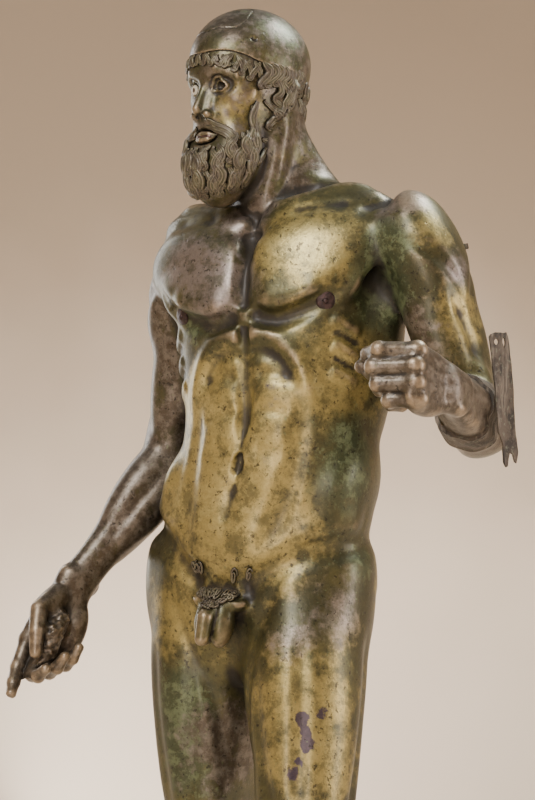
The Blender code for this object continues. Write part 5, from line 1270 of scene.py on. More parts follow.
@dataclass(frozen=True)
class Finish:
    """What every finish has: the values that are the same all over its surface."""

    name: str
    ior: float = 1.5
    coat: float = 0.0
    coat_roughness: float = 0.3
    coat_tint: Colour = (1.0, 1.0, 1.0)
    specular: float = 0.5
    relief: float = 0.001
    relief_strength: float = 0.5

    def paint(self, wiring: Wiring, place: bpy.types.NodeSocket) -> dict[str, object]:
        """Builds the finish's pattern.

        Args:
            wiring: The material's nodes.
            place: The object coordinates.

        Returns:
            A value or socket for each of the shader's inputs that the pattern feeds.
        """
        raise NotImplementedError

    def bumped(self, wiring: Wiring, height: bpy.types.NodeSocket) -> bpy.types.NodeSocket:
        """Returns the normal of the finish's fine relief."""
        return wiring.bump(height, self.relief, self.relief_strength)

    def material(self) -> bpy.types.Material:
        """Returns the finish as a material."""
        material = bpy.data.materials.new(self.name)
        material.use_nodes = True
        shader = material.node_tree.nodes["Principled BSDF"]
        wiring = Wiring(material.node_tree)
        shader.inputs["IOR"].default_value = self.ior
        shader.inputs["Coat Weight"].default_value = self.coat
        shader.inputs["Coat Roughness"].default_value = self.coat_roughness
        shader.inputs["Coat Tint"].default_value = (*self.coat_tint, 1.0)
        shader.inputs["Specular IOR Level"].default_value = self.specular
        place = wiring.add("ShaderNodeTexCoord").outputs["Object"]
        for name, value in self.paint(wiring, place).items():
            wiring.feed(shader.inputs[name], value)
        return material


@dataclass(frozen=True)
class CastPatina(Finish):
    """The cast bronze: olive metal under patches of ochre, grey-pink (partly painted sheen), green and brown
    (partly painted shade).
    """

    olive: Colour = (0.118, 0.108, 0.042)
    deep_olive: Colour = (0.060, 0.058, 0.028)
    gold: Colour = (0.350, 0.285, 0.100)
    pale_gold: Colour = (0.450, 0.380, 0.150)
    # Grey-pink: patina, and a painted sheen where its patches stand for highlights
    mauve: Colour = (0.250, 0.212, 0.195)
    veil: Colour = (0.050, 0.052, 0.026)
    brown: Colour = (0.085, 0.066, 0.048)
    grey_brown: Colour = (0.180, 0.155, 0.125)
    green: Colour = (0.060, 0.078, 0.040)
    verdigris: Colour = (0.165, 0.205, 0.100)
    plum: Colour = (0.050, 0.036, 0.062)
    # Near black: the pits, and the painted shade in the hollows
    pit_and_shade: Colour = (0.016, 0.013, 0.009)
    # Pale pink-brown: rubbed wear with a painted highlight on the crests
    worn: Colour = (0.520, 0.400, 0.260)
    metallic: float = 0.66
    roughness: float = 0.38
    relief: float = 0.0016
    relief_strength: float = 0.45

    def paint(self, wiring: Wiring, place: bpy.types.NodeSocket) -> dict[str, object]:
        """Builds the patches, mottling, specks and pits of the patina, the painted shade in its hollows and
        the painted highlight on its crests.

        Args:
            wiring: The material's nodes.
            place: The object coordinates.

        Returns:
            The colour, metallic, roughness and normal inputs.
        """
        w = wiring
        broad = w.noise(place, 6.0, 5.0, 0.55)
        patch = w.noise(w.moved(place, (3, 1, 7)), 17.0, 6.0, 0.62)
        mottle = w.noise(w.moved(place, (1, 8, 2)), 58.0, 7.0, 0.68)
        fine = w.noise(w.moved(place, (5, 5, 5)), 210.0, 4.0, 0.65)
        ragged = w.sum("ADD", w.swing(patch, 1.9), w.swing(mottle, 1.1))

        def laid_on(tone: Tone, low: float, high: float, top: float = 1.0) -> bpy.types.NodeSocket:
            """Returns where a tone's patches show, their edges broken by the mottling."""
            return w.step(w.sum("ADD", w.attribute(tone.value), ragged), low, high, top)

        colour = w.mix(w.step(broad, 0.38, 0.64), self.deep_olive, self.olive)
        colour = w.mix(laid_on(Tone.GOLD, 0.22, 0.78), colour, self.gold)
        colour = w.mix(laid_on(Tone.GOLD, 0.85, 1.35, 0.7), colour, self.pale_gold)
        # Grey-pink patches: patina, partly a painted sheen for broad highlights
        colour = w.mix(laid_on(Tone.MAUVE, 0.30, 0.95, 0.85), colour, self.mauve)
        colour = w.mix(laid_on(Tone.GREEN, 0.30, 0.85, 0.85), colour, self.green)
        crust = w.noise(w.moved(place, (7, 3, 1)), 30.0, 9.0, 0.76)
        colour = w.mix(w.step(crust, 0.47, 0.60, 0.60), colour, self.veil)
        bloom = w.noise(w.moved(place, (2, 9, 5)), 44.0, 9.0, 0.78)
        spread = w.sum("MULTIPLY_ADD", w.attribute(Tone.GREEN.value), 0.16, bloom)
        growth = w.step(spread, 0.62, 0.74, 0.6)
        colour = w.mix(growth, colour, self.verdigris)
        # The dark tone: brown patina on the limbs, neck and head, and painted shade on the right thigh
        brown = w.mix(w.step(mottle, 0.42, 0.62), self.brown, self.grey_brown)
        colour = w.mix(laid_on(Tone.DARK, 0.30, 0.72, 0.92), colour, brown)
        colour = w.mix(laid_on(Tone.SPOT, 0.45, 0.62, 0.92), colour, self.plum)
        specks = w.step(w.noise(w.moved(place, (2, 4, 9)), 120.0, 3.0, 0.6), 0.60, 0.68, 0.75)
        colour = w.mix(specks, colour, self.pit_and_shade)
        light_specks = w.step(w.noise(w.moved(place, (9, 2, 4)), 150.0, 3.0, 0.6), 0.64, 0.72, 0.5)
        colour = w.mix(light_specks, colour, self.verdigris)
        # Painted shade over dark patina in the hollows and where other surfaces close the skin in, also
        # rougher and less metallic
        hollow_patina_and_shade = w.attribute("hollow_patina_and_shade")
        colour = w.mix(w.step(hollow_patina_and_shade, 0.10, 0.75, 0.93), colour, self.pit_and_shade)
        # Lighter on the crests: rubbed wear and a painted highlight
        worn = w.step(w.sum("ADD", w.attribute("crest"), w.swing(mottle, 0.6)), 0.35, 1.0, 0.5)
        colour = w.mix(worn, colour, self.worn)
        shade = w.step(fine, 0.25, 0.75)
        colour = w.mix(0.35, colour, w.mix(shade, (0.45, 0.45, 0.45), (1.25, 1.25, 1.25)), "MULTIPLY")

        rough = w.plus(self.roughness - 0.10, mottle, 0.22)
        rough = w.plus(rough, w.step(hollow_patina_and_shade, 0.1, 0.8), 0.25)
        rough = w.plus(rough, growth, 0.20)
        metal = w.sum("SUBTRACT", self.metallic, w.sum("MULTIPLY", growth, 0.35))
        metal = w.sum("SUBTRACT", metal, w.sum("MULTIPLY", w.step(hollow_patina_and_shade, 0.1, 0.8), 0.3))
        height = w.sum("ADD", w.sum("MULTIPLY", mottle, 0.9), w.sum("MULTIPLY", fine, 0.45))
        height = w.sum("SUBTRACT", height, w.sum("MULTIPLY", specks, 0.4))
        return {"Base Color": colour, "Metallic": metal, "Roughness": rough,
                "Normal": self.bumped(w, height)}


@dataclass(frozen=True)
class LockPatina(Finish):
    """The bronze of hair and beard: grey-brown, with painted highlight on the crests and painted shade, near
    black, between the strands.
    """

    body: Colour = (0.078, 0.064, 0.046)
    olive: Colour = (0.098, 0.092, 0.050)
    # A painted highlight for the crests, and near-black painted shade over dark patina for the grooves and
    # along one flank of each lock
    crest: Colour = (0.330, 0.280, 0.200)
    groove: Colour = (0.010, 0.008, 0.006)
    relief: float = 0.0008
    relief_strength: float = 0.4

    def paint(self, wiring: Wiring, place: bpy.types.NodeSocket) -> dict[str, object]:
        """Builds the strands' painted highlight on the crests, painted shade in the grooves and dust of
        green.

        Args:
            wiring: The material's nodes.
            place: The object coordinates.

        Returns:
            The colour, metallic, roughness and normal inputs.
        """
        w = wiring
        mottle = w.noise(place, 70.0, 6.0, 0.65)
        fine = w.noise(w.moved(place, (4, 1, 6)), 320.0, 3.0, 0.6)
        crest = w.attribute("crest")
        colour = w.mix(w.step(mottle, 0.40, 0.62), self.body, self.olive)
        # Painted highlight on the strands' crests
        high = w.sum("ADD", crest, w.swing(mottle, 0.5))
        colour = w.mix(w.step(high, 0.78, 1.15, 0.7), colour, self.crest)
        # Painted shade, near black, over dark patina in the grooves and along one flank of each lock
        colour = w.mix(w.step(crest, 0.66, 0.16), colour, self.groove)
        shade = w.mix(w.step(fine, 0.3, 0.7), (0.5, 0.5, 0.5), (1.2, 1.2, 1.2))
        colour = w.mix(0.3, colour, shade, "MULTIPLY")
        rough = w.plus(0.34, mottle, 0.25)
        return {"Base Color": colour, "Metallic": 0.55, "Roughness": rough,
                "Normal": self.bumped(w, w.plus(mottle, fine, 0.4))}


@dataclass(frozen=True)
class SheetPatina(Finish):
    """The shield's remains: dull sheet bronze, brown with streaks of dust and mottled grey-green crust."""

    body: Colour = (0.085, 0.068, 0.050)
    crust: Colour = (0.170, 0.175, 0.130)
    dark: Colour = (0.026, 0.021, 0.016)
    dust: Colour = (0.240, 0.205, 0.160)
    relief: float = 0.0014
    relief_strength: float = 0.6

    def paint(self, wiring: Wiring, place: bpy.types.NodeSocket) -> dict[str, object]:
        """Builds the sheet's stains and crust.

        Args:
            wiring: The material's nodes.
            place: The object coordinates.

        Returns:
            The colour, metallic, roughness and normal inputs.
        """
        w = wiring
        patch = w.noise(place, 34.0, 6.0, 0.62)
        mottle = w.noise(w.moved(place, (2, 3, 1)), 130.0, 6.0, 0.68)
        streak = w.noise(w.moved(place, (0, 0, 0), (150, 150, 14)), 1.0, 4.0, 0.6)
        colour = w.mix(w.step(patch, 0.40, 0.60), self.dark, self.body)
        colour = w.mix(w.step(streak, 0.50, 0.70, 0.6), colour, self.dust)
        colour = w.mix(w.step(mottle, 0.54, 0.66, 0.7), colour, self.crust)
        rough = w.plus(0.42, mottle, 0.3)
        height = w.sum("ADD", w.sum("MULTIPLY", patch, 0.8), mottle)
        return {"Base Color": colour, "Metallic": 0.45, "Roughness": rough,
                "Normal": self.bumped(w, height)}


@dataclass(frozen=True)
class CopperPatina(Finish):
    """Copper let into the bronze: dark red-brown, with fine bright rubbed specks."""

    body: Colour = (0.060, 0.036, 0.034)
    dark: Colour = (0.026, 0.018, 0.018)
    rubbed: Colour = (0.300, 0.180, 0.150)
    rub: float = 0.10
    relief: float = 0.0006
    relief_strength: float = 0.4

    def paint(self, wiring: Wiring, place: bpy.types.NodeSocket) -> dict[str, object]:
        """Builds the copper's stains.

        Args:
            wiring: The material's nodes.
            place: The object coordinates.

        Returns:
            The colour, metallic, roughness and normal inputs.
        """
        w = wiring
        mottle = w.noise(place, 160.0, 5.0, 0.6)
        fine = w.noise(place, 700.0, 3.0, 0.6)
        colour = w.mix(w.step(mottle, 0.38, 0.62), self.dark, self.body)
        colour = w.mix(w.step(fine, 0.55, 0.75, self.rub), colour, self.rubbed)
        rough = w.plus(0.28, mottle, 0.2)
        return {"Base Color": colour, "Metallic": 0.65, "Roughness": rough,
                "Normal": self.bumped(w, w.sum("ADD", mottle, fine))}


@dataclass(frozen=True)
class EyeInlay(Finish):
    """The eye's inlay: pale stone with a darker round iris, old and a little stained."""

    centre: Triple = (0.0, 0.0, 0.0)
    radius: float = 0.0042
    white: Colour = (0.520, 0.480, 0.370)
    iris: Colour = (0.060, 0.040, 0.025)
    stain: Colour = (0.200, 0.170, 0.110)
    relief: float = 0.0004
    relief_strength: float = 0.3

    def paint(self, wiring: Wiring, place: bpy.types.NodeSocket) -> dict[str, object]:
        """Builds the iris and the stains round it.

        Args:
            wiring: The material's nodes.
            place: The object coordinates.

        Returns:
            The colour, metallic, roughness and normal inputs.
        """
        w = wiring
        mottle = w.noise(place, 260.0, 5.0, 0.6)
        gap = w.add("ShaderNodeVectorMath", {0: place, 1: self.centre}, operation="DISTANCE").outputs["Value"]
        colour = w.mix(w.step(mottle, 0.45, 0.70, 0.7), self.white, self.stain)
        colour = w.mix(w.step(gap, self.radius * 1.12, self.radius * 0.92), colour, self.iris)
        return {"Base Color": colour, "Roughness": w.plus(0.25, mottle, 0.3),
                "Normal": self.bumped(w, mottle)}


@dataclass(frozen=True)
class HonedStone(Finish):
    """The base: grey stone, honed, a little weathered and darker towards the ground."""

    body: Colour = (0.420, 0.400, 0.360)
    light: Colour = (0.560, 0.540, 0.490)
    grain: Colour = (0.200, 0.185, 0.160)
    stain: Colour = (0.250, 0.240, 0.190)
    relief: float = 0.0012
    relief_strength: float = 0.5

    def paint(self, wiring: Wiring, place: bpy.types.NodeSocket) -> dict[str, object]:
        """Builds the stone's clouds, grain and stains.

        Args:
            wiring: The material's nodes.
            place: The object coordinates.

        Returns:
            The colour, roughness and normal inputs.
        """
        w = wiring
        cloud = w.noise(place, 7.0, 6.0, 0.6)
        grain = w.noise(w.moved(place, (1, 2, 3)), 240.0, 6.0, 0.7)
        pits = w.step(w.noise(w.moved(place, (6, 2, 8)), 95.0, 4.0, 0.6), 0.62, 0.72)
        colour = w.mix(w.step(cloud, 0.36, 0.66), self.body, self.light)
        colour = w.mix(w.step(grain, 0.52, 0.70, 0.55), colour, self.grain)
        low = w.step(w.add("ShaderNodeSeparateXYZ", {0: place}).outputs[2], 0.03, 0.0, 0.6)
        colour = w.mix(w.sum("MAXIMUM", w.sum("MULTIPLY", pits, 0.6), low), colour, self.stain)
        height = w.sum("SUBTRACT", w.sum("MULTIPLY", grain, 0.6), pits)
        return {"Base Color": colour, "Roughness": w.plus(0.55, grain, 0.3),
                "Normal": self.bumped(w, height)}


@dataclass(frozen=True)
class PlainWall(Finish):
    """The studio's floor and wall: plain, pale and matt, with painted shade that deepens towards the top."""

    colour: Colour = (0.86, 0.75, 0.62)
    upper: Colour = (0.50, 0.40, 0.29)

    def paint(self, wiring: Wiring, place: bpy.types.NodeSocket) -> dict[str, object]:
        """Builds the painted shade, darker towards the top and broken by clouds.

        Args:
            wiring: The material's nodes.
            place: The object coordinates.

        Returns:
            The colour and roughness inputs.
        """
        # Painted shade: the wall darkens towards the top, its edge clouded by noise
        height = wiring.add("ShaderNodeSeparateXYZ", {0: place}).outputs[2]
        cloud = wiring.swing(wiring.noise(place, 0.9, 3.0), 1.6)
        share = wiring.step(wiring.sum("ADD", height, cloud), 0.3, 2.6)
        return {"Base Color": wiring.mix(share, self.colour, self.upper), "Roughness": 0.9}


def shown(name: str, data: bpy.types.ID) -> bpy.types.Object:
    """Returns a new object of the given data, linked to the scene."""
    thing = bpy.data.objects.new(name, data)
    bpy.context.scene.collection.objects.link(thing)
    return thing


def poured(name: str, body: bmesh.types.BMesh) -> bpy.types.Object:
    """Turns an edited body into an object of the scene."""
    mesh = bpy.data.meshes.new(name)
    body.to_mesh(mesh)
    body.free()
    return shown(name, mesh)


def ring_faces(rows: int, count: int, closed: bool = False, first: int = 0) -> list[tuple[int, ...]]:
    """Joins rings of points with faces.

    Args:
        rows: The number of rings.
        count: The points of each ring.
        closed: Whether the last ring joins the first one again.
        first: The number of the first ring's first point.

    Returns:
        The faces between neighbouring rings.
    """
    faces = []
    for k in range(rows if closed else rows - 1):
        a, b = first + k * count, first + (k + 1) % rows * count
        faces += [(a + i, b + i, b + (i + 1) % count, a + (i + 1) % count) for i in range(count)]
    return faces


def linked(name: str, points: Array, faces: Sequence,
           material: bpy.types.Material | None = None) -> bpy.types.Object:
    """Makes a mesh object and links it to the scene.

    Args:
        name: The object's name.
        points: Its points.
        faces: Its faces, as triples or longer loops of point numbers.
        material: Its material, if it has one yet.

    Returns:
        The object.
    """
    mesh = bpy.data.meshes.new(name)
    mesh.from_pydata(np.asarray(points, float).tolist(), [], [list(map(int, loop)) for loop in faces])
    mesh.update()
    if material is not None:
        mesh.materials.append(material)
    return shown(name, mesh)


def turned_out(mesh: bpy.types.Mesh) -> None:
    """Turns a closed mesh's faces outwards and shades it smooth."""
    body = bmesh.new()
    body.from_mesh(mesh)
    bmesh.ops.recalc_face_normals(body, faces=body.faces)
    body.to_mesh(mesh)
    body.free()
    mesh.shade_smooth()


def corners_of(mesh: bpy.types.Mesh) -> Array:
    """Returns a mesh's points."""
    flat = np.empty(len(mesh.vertices) * 3)
    mesh.vertices.foreach_get("co", flat)
    return flat.reshape(-1, 3)


def store(mesh: bpy.types.Mesh, name: str, values: Array) -> None:
    """Stores a number for each point of a mesh."""
    attribute = mesh.attributes.new(name, "FLOAT", "POINT")
    attribute.data.foreach_set("value", np.asarray(values, np.float32))


def baked(thing: bpy.types.Object) -> None:
    """Turns an object's modifiers into its plain mesh and takes them off."""
    graph = bpy.context.evaluated_depsgraph_get()
    mesh = bpy.data.meshes.new_from_object(thing.evaluated_get(graph))
    old = thing.data
    thing.modifiers.clear()
    thing.data = mesh
    bpy.data.meshes.remove(old)
    mesh.name = thing.name


def hand_in(piece: bpy.types.Object, slot: str, *nodes: str) -> None:
    """Lets a piece ride on the statue's body, hides the nodes that it stands for and logs its triangles and
    slot.
    """
    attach(piece, BODY)
    if nodes:
        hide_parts(*nodes)
    triangles = sum(len(polygon.vertices) - 2 for polygon in piece.data.polygons)
    log.info("%s: %d triangles, slot %s", piece.name, triangles, slot)


# The crack round the cap's mended patch, and its little three-cornered hole
CAP_DAMAGE = [
    Stroke([(-.052, -.078, .090), (-.020, -.086, .094), (.0066, -.083, .0937), (.021, -.077, .0976),
            (.0346, -.071, .0964), (.050, -.058, .0960), (.0526, -.045, .1040), (.0526, -.0366, .1101)],
           .0013, .0030, 22, (.1, .1)),
    Stroke([(.0526, -.0366, .1101), (.047, -.027, .119), (.038, -.012, .128), (.010, -.004, .134),
            (-.030, -.010, .130)], .0013, .0018, 14, (.05, .3)),
    Stroke([(.0715, -.0450, .0785), (.0745, -.0440, .0750), (.0775, -.0370, .0735)],
           .0026, .0075, 7, (.1, .3)),
]


def dents(mesh: bpy.types.Mesh, points: Array, lean: Array,
          steps: tuple[int, int] = (4, 40)) -> tuple[Array, Array]:
    """Measures how far a mesh's surface lies under its own smoothed shape.

    Args:
        mesh: The mesh.
        points: Its points.
        lean: Its outward directions.
        steps: The rounds of smoothing for the fine and for the broad measure.

    Returns:
        The two depths in metres, below 0 on crests.
    """
    edges = np.empty(len(mesh.edges) * 2, np.int64)
    mesh.edges.foreach_get("vertices", edges)
    one, other = edges.reshape(-1, 2).T
    count = len(points)
    degree = np.maximum(np.bincount(one, minlength=count) + np.bincount(other, minlength=count), 1)
    smooth = points.copy()
    depths = []
    for step in range(1, max(steps) + 1):
        for axis in range(3):
            at = smooth[:, axis]
            total = np.bincount(one, at[other], count) + np.bincount(other, at[one], count)
            smooth[:, axis] = 0.5 * at + 0.5 * total / degree
        if step in steps:
            depths.append(((smooth - points) * lean).sum(axis=1))
    return depths[0], depths[1]


@dataclass(frozen=True)
class PatinaShadeAndHighlight:
    """Where the surface takes painted shade over dark patina in its hollows, and rubbed wear with painted
    highlight on its crests.
    """

    head_gain: float = 1.6
    fine_hollow: float = 520
    broad_hollow: float = 75
    shut_hollow: float = 0.42
    hollow_floor: float = 0.16
    fine_crest: float = 420
    broad_crest: float = 45
    crest_floor: float = 0.10

    def marks(self, fine: Array, broad: Array, occlusion_shade: Array, height: Array) -> dict[str, Array]:
        """Finds how much painted shade each point takes in hollows, and how much wear and highlight on
        crests.

        Args:
            fine: The depth of fine hollows, in metres.
            broad: The depth of broad hollows.
            occlusion_shade: How far other surfaces close each point in, 0 to 1, which deepens the painted
                shade.
            height: The points' heights.

        Returns:
            The painted shade in hollows and the wear and highlight on crests of every point, 0 to 1.
        """
        gain = 1 + self.head_gain * ramp(height, *NECK_HEIGHTS)
        hollow_patina_and_shade = gain * (fine * self.fine_hollow + broad * self.broad_hollow)
        hollow_patina_and_shade = hollow_patina_and_shade + occlusion_shade * self.shut_hollow - self.hollow_floor
        crest = gain * (-fine * self.fine_crest - broad * self.broad_crest) - self.crest_floor
        return {"hollow_patina_and_shade": np.clip(hollow_patina_and_shade, 0, 1), "crest": np.clip(crest, 0, 1)}


def toning(placed: Array, limbs: Array) -> dict[str, Array]:
    """Finds how strong each tone is: patina, with painted sheen in the grey-pink and painted shade in part of
    the dark.

    Args:
        placed: The points at their place in the frame.
        limbs: How much each point belongs to the browner limbs.

    Returns:
        The strength of every tone at every point.
    """
    tones = {tone: np.zeros(len(placed)) for tone in Tone}
    for tone, patches in PATCHES.items():
        for patch in patches:
            tones[tone] += patch.share(placed)
    tones[Tone.DARK] += limbs
    return {tone.value: np.clip(values, 0, 1.3) for tone, values in tones.items()}


# How strongly the browner parts take the dark tone, and the right upper arm
BROWNED = {Forearm: 0.85, RightHand: 1.0, LeftHand: 0.95, Neck: 0.55, Head: 0.42}
BROWNED_RIGHT_ARM = 0.75


@dataclass
class CastFigure:
    """The cast body's skin, from the field of the whole figure."""

    step: float = 0.0052
    head_step: float = 0.0019
    triangles: int = 188000
    wide: float = 0.024
    socket: float = 0.0088
    relief: float = 1.35
    broad: float = 0.0105
    socket_shape: Triple = (1.35, 1.15, 0.85)
    socket_rim: float = 0.0010
    pull: float = 0.002
    sole_band: float = 0.003
    browned_reach: float = 0.020
    lower: Triple = (-0.50, -0.44, -0.01)
    upper: Triple = (0.56, 0.44, 2.0)
    model: Figure = field(default_factory=Figure)

    def __post_init__(self) -> None:
        """Finds where the model stands in the frame, and carves the finer relief."""
        trunk, head = self.parts_of(Trunk)[0], self.parts_of(Head)[0]
        trunk.drawn = [(path, self.deepened(stroke)) for path, stroke in trunk.drawn]
        head.strokes = [*head.strokes, *CAP_DAMAGE]
        head.settle()
        self.share = FIGURE_HEIGHT / MODEL_HEIGHT
        self.sole = self.sole_height()
        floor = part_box("figure")[0].z
        self.feet = np.array([*STANCE, floor - self.sole * self.share])
        self.right_eye = np.array((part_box("right_eye")[0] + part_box("right_eye")[1]) / 2)
        mirrored = HEAD.inside(self.unplaced(self.right_eye)) * (-1, 1, 1)
        self.left_socket = HEAD.outside(mirrored)

    def parts_of(self, kind: type[Part]) -> list[Part]:
        """Returns the model's parts of one kind, the right one first."""
        return [part for part, _ in self.model.parts if isinstance(part, kind)]

    def deepened(self, stroke: Stroke) -> Stroke:
        """Returns a stroke of the trunk, cut deeper where it is one of the broad ones."""
        return replace(stroke, depth=stroke.depth * self.relief) if stroke.width > self.broad else stroke

    def sole_height(self) -> float:
        """Returns the height of the soles in the model's own coordinates."""
        soles = []
        for foot in self.parts_of(Foot):
            start = foot.frame.outside((0, -0.06, -0.06))
            line = start - np.linspace(0, 0.1, 201)[:, None] * (0, 0, 1)
            gaps = self.model.distance(line)
            soles.append(line[int(np.argmax(gaps > 0)), 2])
        return min(soles)

    def placed(self, points: Array) -> Array:
        """Returns points of the model at their place in the frame."""
        return np.asarray(points, float) * self.share + self.feet

    def unplaced(self, points: Array) -> Array:
        """Returns points of the frame in the model's coordinates."""
        return (np.asarray(points, float) - self.feet) / self.share

    def distance(self, points: Array) -> Array:
        """Returns the model's field with the empty left eye hollowed out."""
        gap = self.model.distance(points)
        near = np.linalg.norm(points - self.left_socket, axis=1) < 4 * self.socket
        if near.any():
            local = (points[near] - self.left_socket) @ HEAD.axes / self.socket_shape
            hole = (np.linalg.norm(local - (0, -0.002, 0), axis=1) - self.socket) * 0.85
            gap[near] = cut(gap[near], hole, self.socket_rim)
        return gap

    def skin(self) -> bpy.types.Object:
        """Returns the thinned skin, its points laid back onto the field."""
        lattice = Lattice(self.lower, self.upper, self.step, self.head_step)
        points, triangles = field_surface(self.distance, lattice)
        log.info("skin before thinning: %d triangles", len(triangles))
        thing = linked("warrior_body", points, triangles)
        thin = thing.modifiers.new("thin", "DECIMATE")
        thin.ratio = min(1.0, self.triangles / len(triangles))
        baked(thing)
        return thing

    def build(self, material: bpy.types.Material) -> bpy.types.Object:
        """Makes the finished body.

        Args:
            material: The cast bronze's finish.

        Returns:
            The body, which stands for the figure's solid.
        """
        thing = self.skin()
        mesh = thing.data
        points = corners_of(mesh)
        for _ in range(2):
            lean = normals(self.distance, points, 0.0010)
            points = points - lean * np.clip(self.distance(points), -self.pull, self.pull)[:, None]
        lean = normals(self.distance, points, 0.0016)
        flat = points[:, 2] < self.sole + self.sole_band
        points[flat, 2] = self.sole
        mesh.vertices.foreach_set("co", points.ravel())
        for name, values in self.marks(mesh, points, lean).items():
            store(mesh, name, values)
        mesh.vertices.foreach_set("co", self.placed(points).ravel())
        mesh.shade_smooth()
        lean[flat] = (0, 0, -1)
        mesh.normals_split_custom_set_from_vertices(lean.tolist())
        mesh.update()
        mesh.materials.append(material)
        hand_in(thing, "bronze", "figure")
        return thing

    def marks(self, mesh: bpy.types.Mesh, points: Array, lean: Array) -> dict[str, Array]:
        """Measures what the patina, its painted shade in hollows and its painted highlight on crests follow.

        Args:
            mesh: The skin.
            points: Its points in the model's coordinates.
            lean: Its outward directions.

        Returns:
            How much painted shade and how much crest highlight the skin takes, and how strong each tone is,
            at every point.
        """
        fine, broad = dents(mesh, points, lean)
        # How far nearby surfaces close each point in, darkened as painted shade
        occlusion_shade = np.clip(1 - self.distance(points + lean * self.wide) / self.wide, 0, 1)
        marks = PatinaShadeAndHighlight().marks(fine, broad, occlusion_shade, points[:, 2])
        return marks | toning(self.placed(points), self.limbs(points))

    def limbs(self, points: Array) -> Array:
        """Returns how much each point belongs to the browner arms, neck and head."""
        share = np.zeros(len(points))
        for (part, _), (low, high) in zip(self.model.parts, self.model.boxes):
            weight = BROWNED.get(type(part), 0.0)
            if isinstance(part, UpperArm) and part.frame.origin[0] < 0:
                weight = BROWNED_RIGHT_ARM
            inside = ((points > low) & (points < high)).all(axis=1)
            if weight == 0.0 or not inside.any():
                continue
            near = ramp(part.distance(points[inside]), self.browned_reach, 0.0) * weight
            share[inside] = np.maximum(share[inside], near)
        return share


@dataclass
class StrandSweep:
    """A Geometry Nodes tree that sweeps a ridged, flattened section along every guide."""

    name: str = "strand_sweep"

    def tree(self) -> bpy.types.NodeTree:
        """Returns the tree, with its sizes as named inputs."""
        tree = bpy.data.node_groups.new(self.name, "GeometryNodeTree")
        face = tree.interface
        face.new_socket("Geometry", in_out="INPUT", socket_type="NodeSocketGeometry")
        for name, kind in (("Rings", "Int"), ("Sides", "Int"), ("Strands", "Float"), ("Groove", "Float"),
                           ("Flatness", "Float"), ("Material", "Material")):
            face.new_socket(name, in_out="INPUT", socket_type="NodeSocket" + kind)
        face.new_socket("Geometry", in_out="OUTPUT", socket_type="NodeSocketGeometry")
        w = Wiring(tree)
        given = w.add("NodeGroupInput").outputs
        lay = w.add("GeometryNodeInputNamedAttribute", {"Name": "lay"}, data_type="FLOAT_VECTOR").outputs[0]
        thick = w.add("GeometryNodeInputNamedAttribute", {"Name": "thick"}, data_type="FLOAT").outputs[0]
        guide = w.add("GeometryNodeMeshToCurve", {0: given["Geometry"]}).outputs[0]
        guide = w.add("GeometryNodeCurveSplineType", {0: guide}, spline_type="CATMULL_ROM").outputs[0]
        guide = w.add("GeometryNodeResampleCurve", {"Curve": guide, "Count": given["Rings"]}).outputs[0]
        guide = w.add("GeometryNodeSetCurveNormal", {"Curve": guide, "Normal": lay}, mode="FREE").outputs[0]
        profile, crest = self.profile(w, given)
        marked = {"Geometry": profile, "Name": "crest", "Value": crest}
        section = w.add("GeometryNodeStoreNamedAttribute", marked, data_type="FLOAT",
                        domain="POINT").outputs[0]
        swept = w.add("GeometryNodeCurveToMesh", {"Curve": guide, "Profile Curve": section, "Scale": thick,
                                                  "Fill Caps": True}).outputs[0]
        swept = w.add("GeometryNodeRealizeInstances", {0: swept}).outputs[0]
        dressed = {"Geometry": swept, "Material": given["Material"]}
        swept = w.add("GeometryNodeSetMaterial", dressed).outputs[0]
        w.add("NodeGroupOutput", {0: swept})
        return tree

    def profile(self, w: Wiring, given: bpy.types.bpy_prop_collection) -> tuple:
        """Builds the section of a lock: a flattened round with a ridge for each strand.

        Args:
            w: The tree's nodes.
            given: The tree's inputs.

        Returns:
            The section as a curve, and how near each of its points is to a strand's crest.
        """
        round_one = {"Resolution": given["Sides"], "Radius": 1.0}
        ring = w.add("GeometryNodeCurvePrimitiveCircle", round_one).outputs[0]
        spot = w.add("ShaderNodeSeparateXYZ", {0: w.add("GeometryNodeInputPosition").outputs[0]}).outputs
        across = w.sum("MULTIPLY_ADD", spot[1], 0.5, 0.5)
        wave = w.sum("MULTIPLY", w.sum("MULTIPLY", across, given["Strands"]), math.pi)
        ridge = w.sum("ABSOLUTE", w.sum("SINE", wave))
        dip = w.sum("MULTIPLY", given["Groove"], w.sum("SUBTRACT", 1.0, ridge))
        high = w.sum("MULTIPLY", spot[0], w.sum("MULTIPLY", given["Flatness"], w.sum("SUBTRACT", 1.0, dip)))
        place = w.add("ShaderNodeCombineXYZ", {0: high, 1: spot[1], 2: 0.0}).outputs[0]
        moved = w.add("GeometryNodeSetPosition", {"Geometry": ring, "Position": place}).outputs[0]
        # High on the strands' ridges on the section's +X half; the lock finish paints it as highlight there
        # and as shade in the grooves and on the other half
        crest = w.sum("MULTIPLY", w.sum("MULTIPLY_ADD", ridge, 0.75, 0.25), w.step(spot[0], -0.25, 0.35))
        return moved, crest


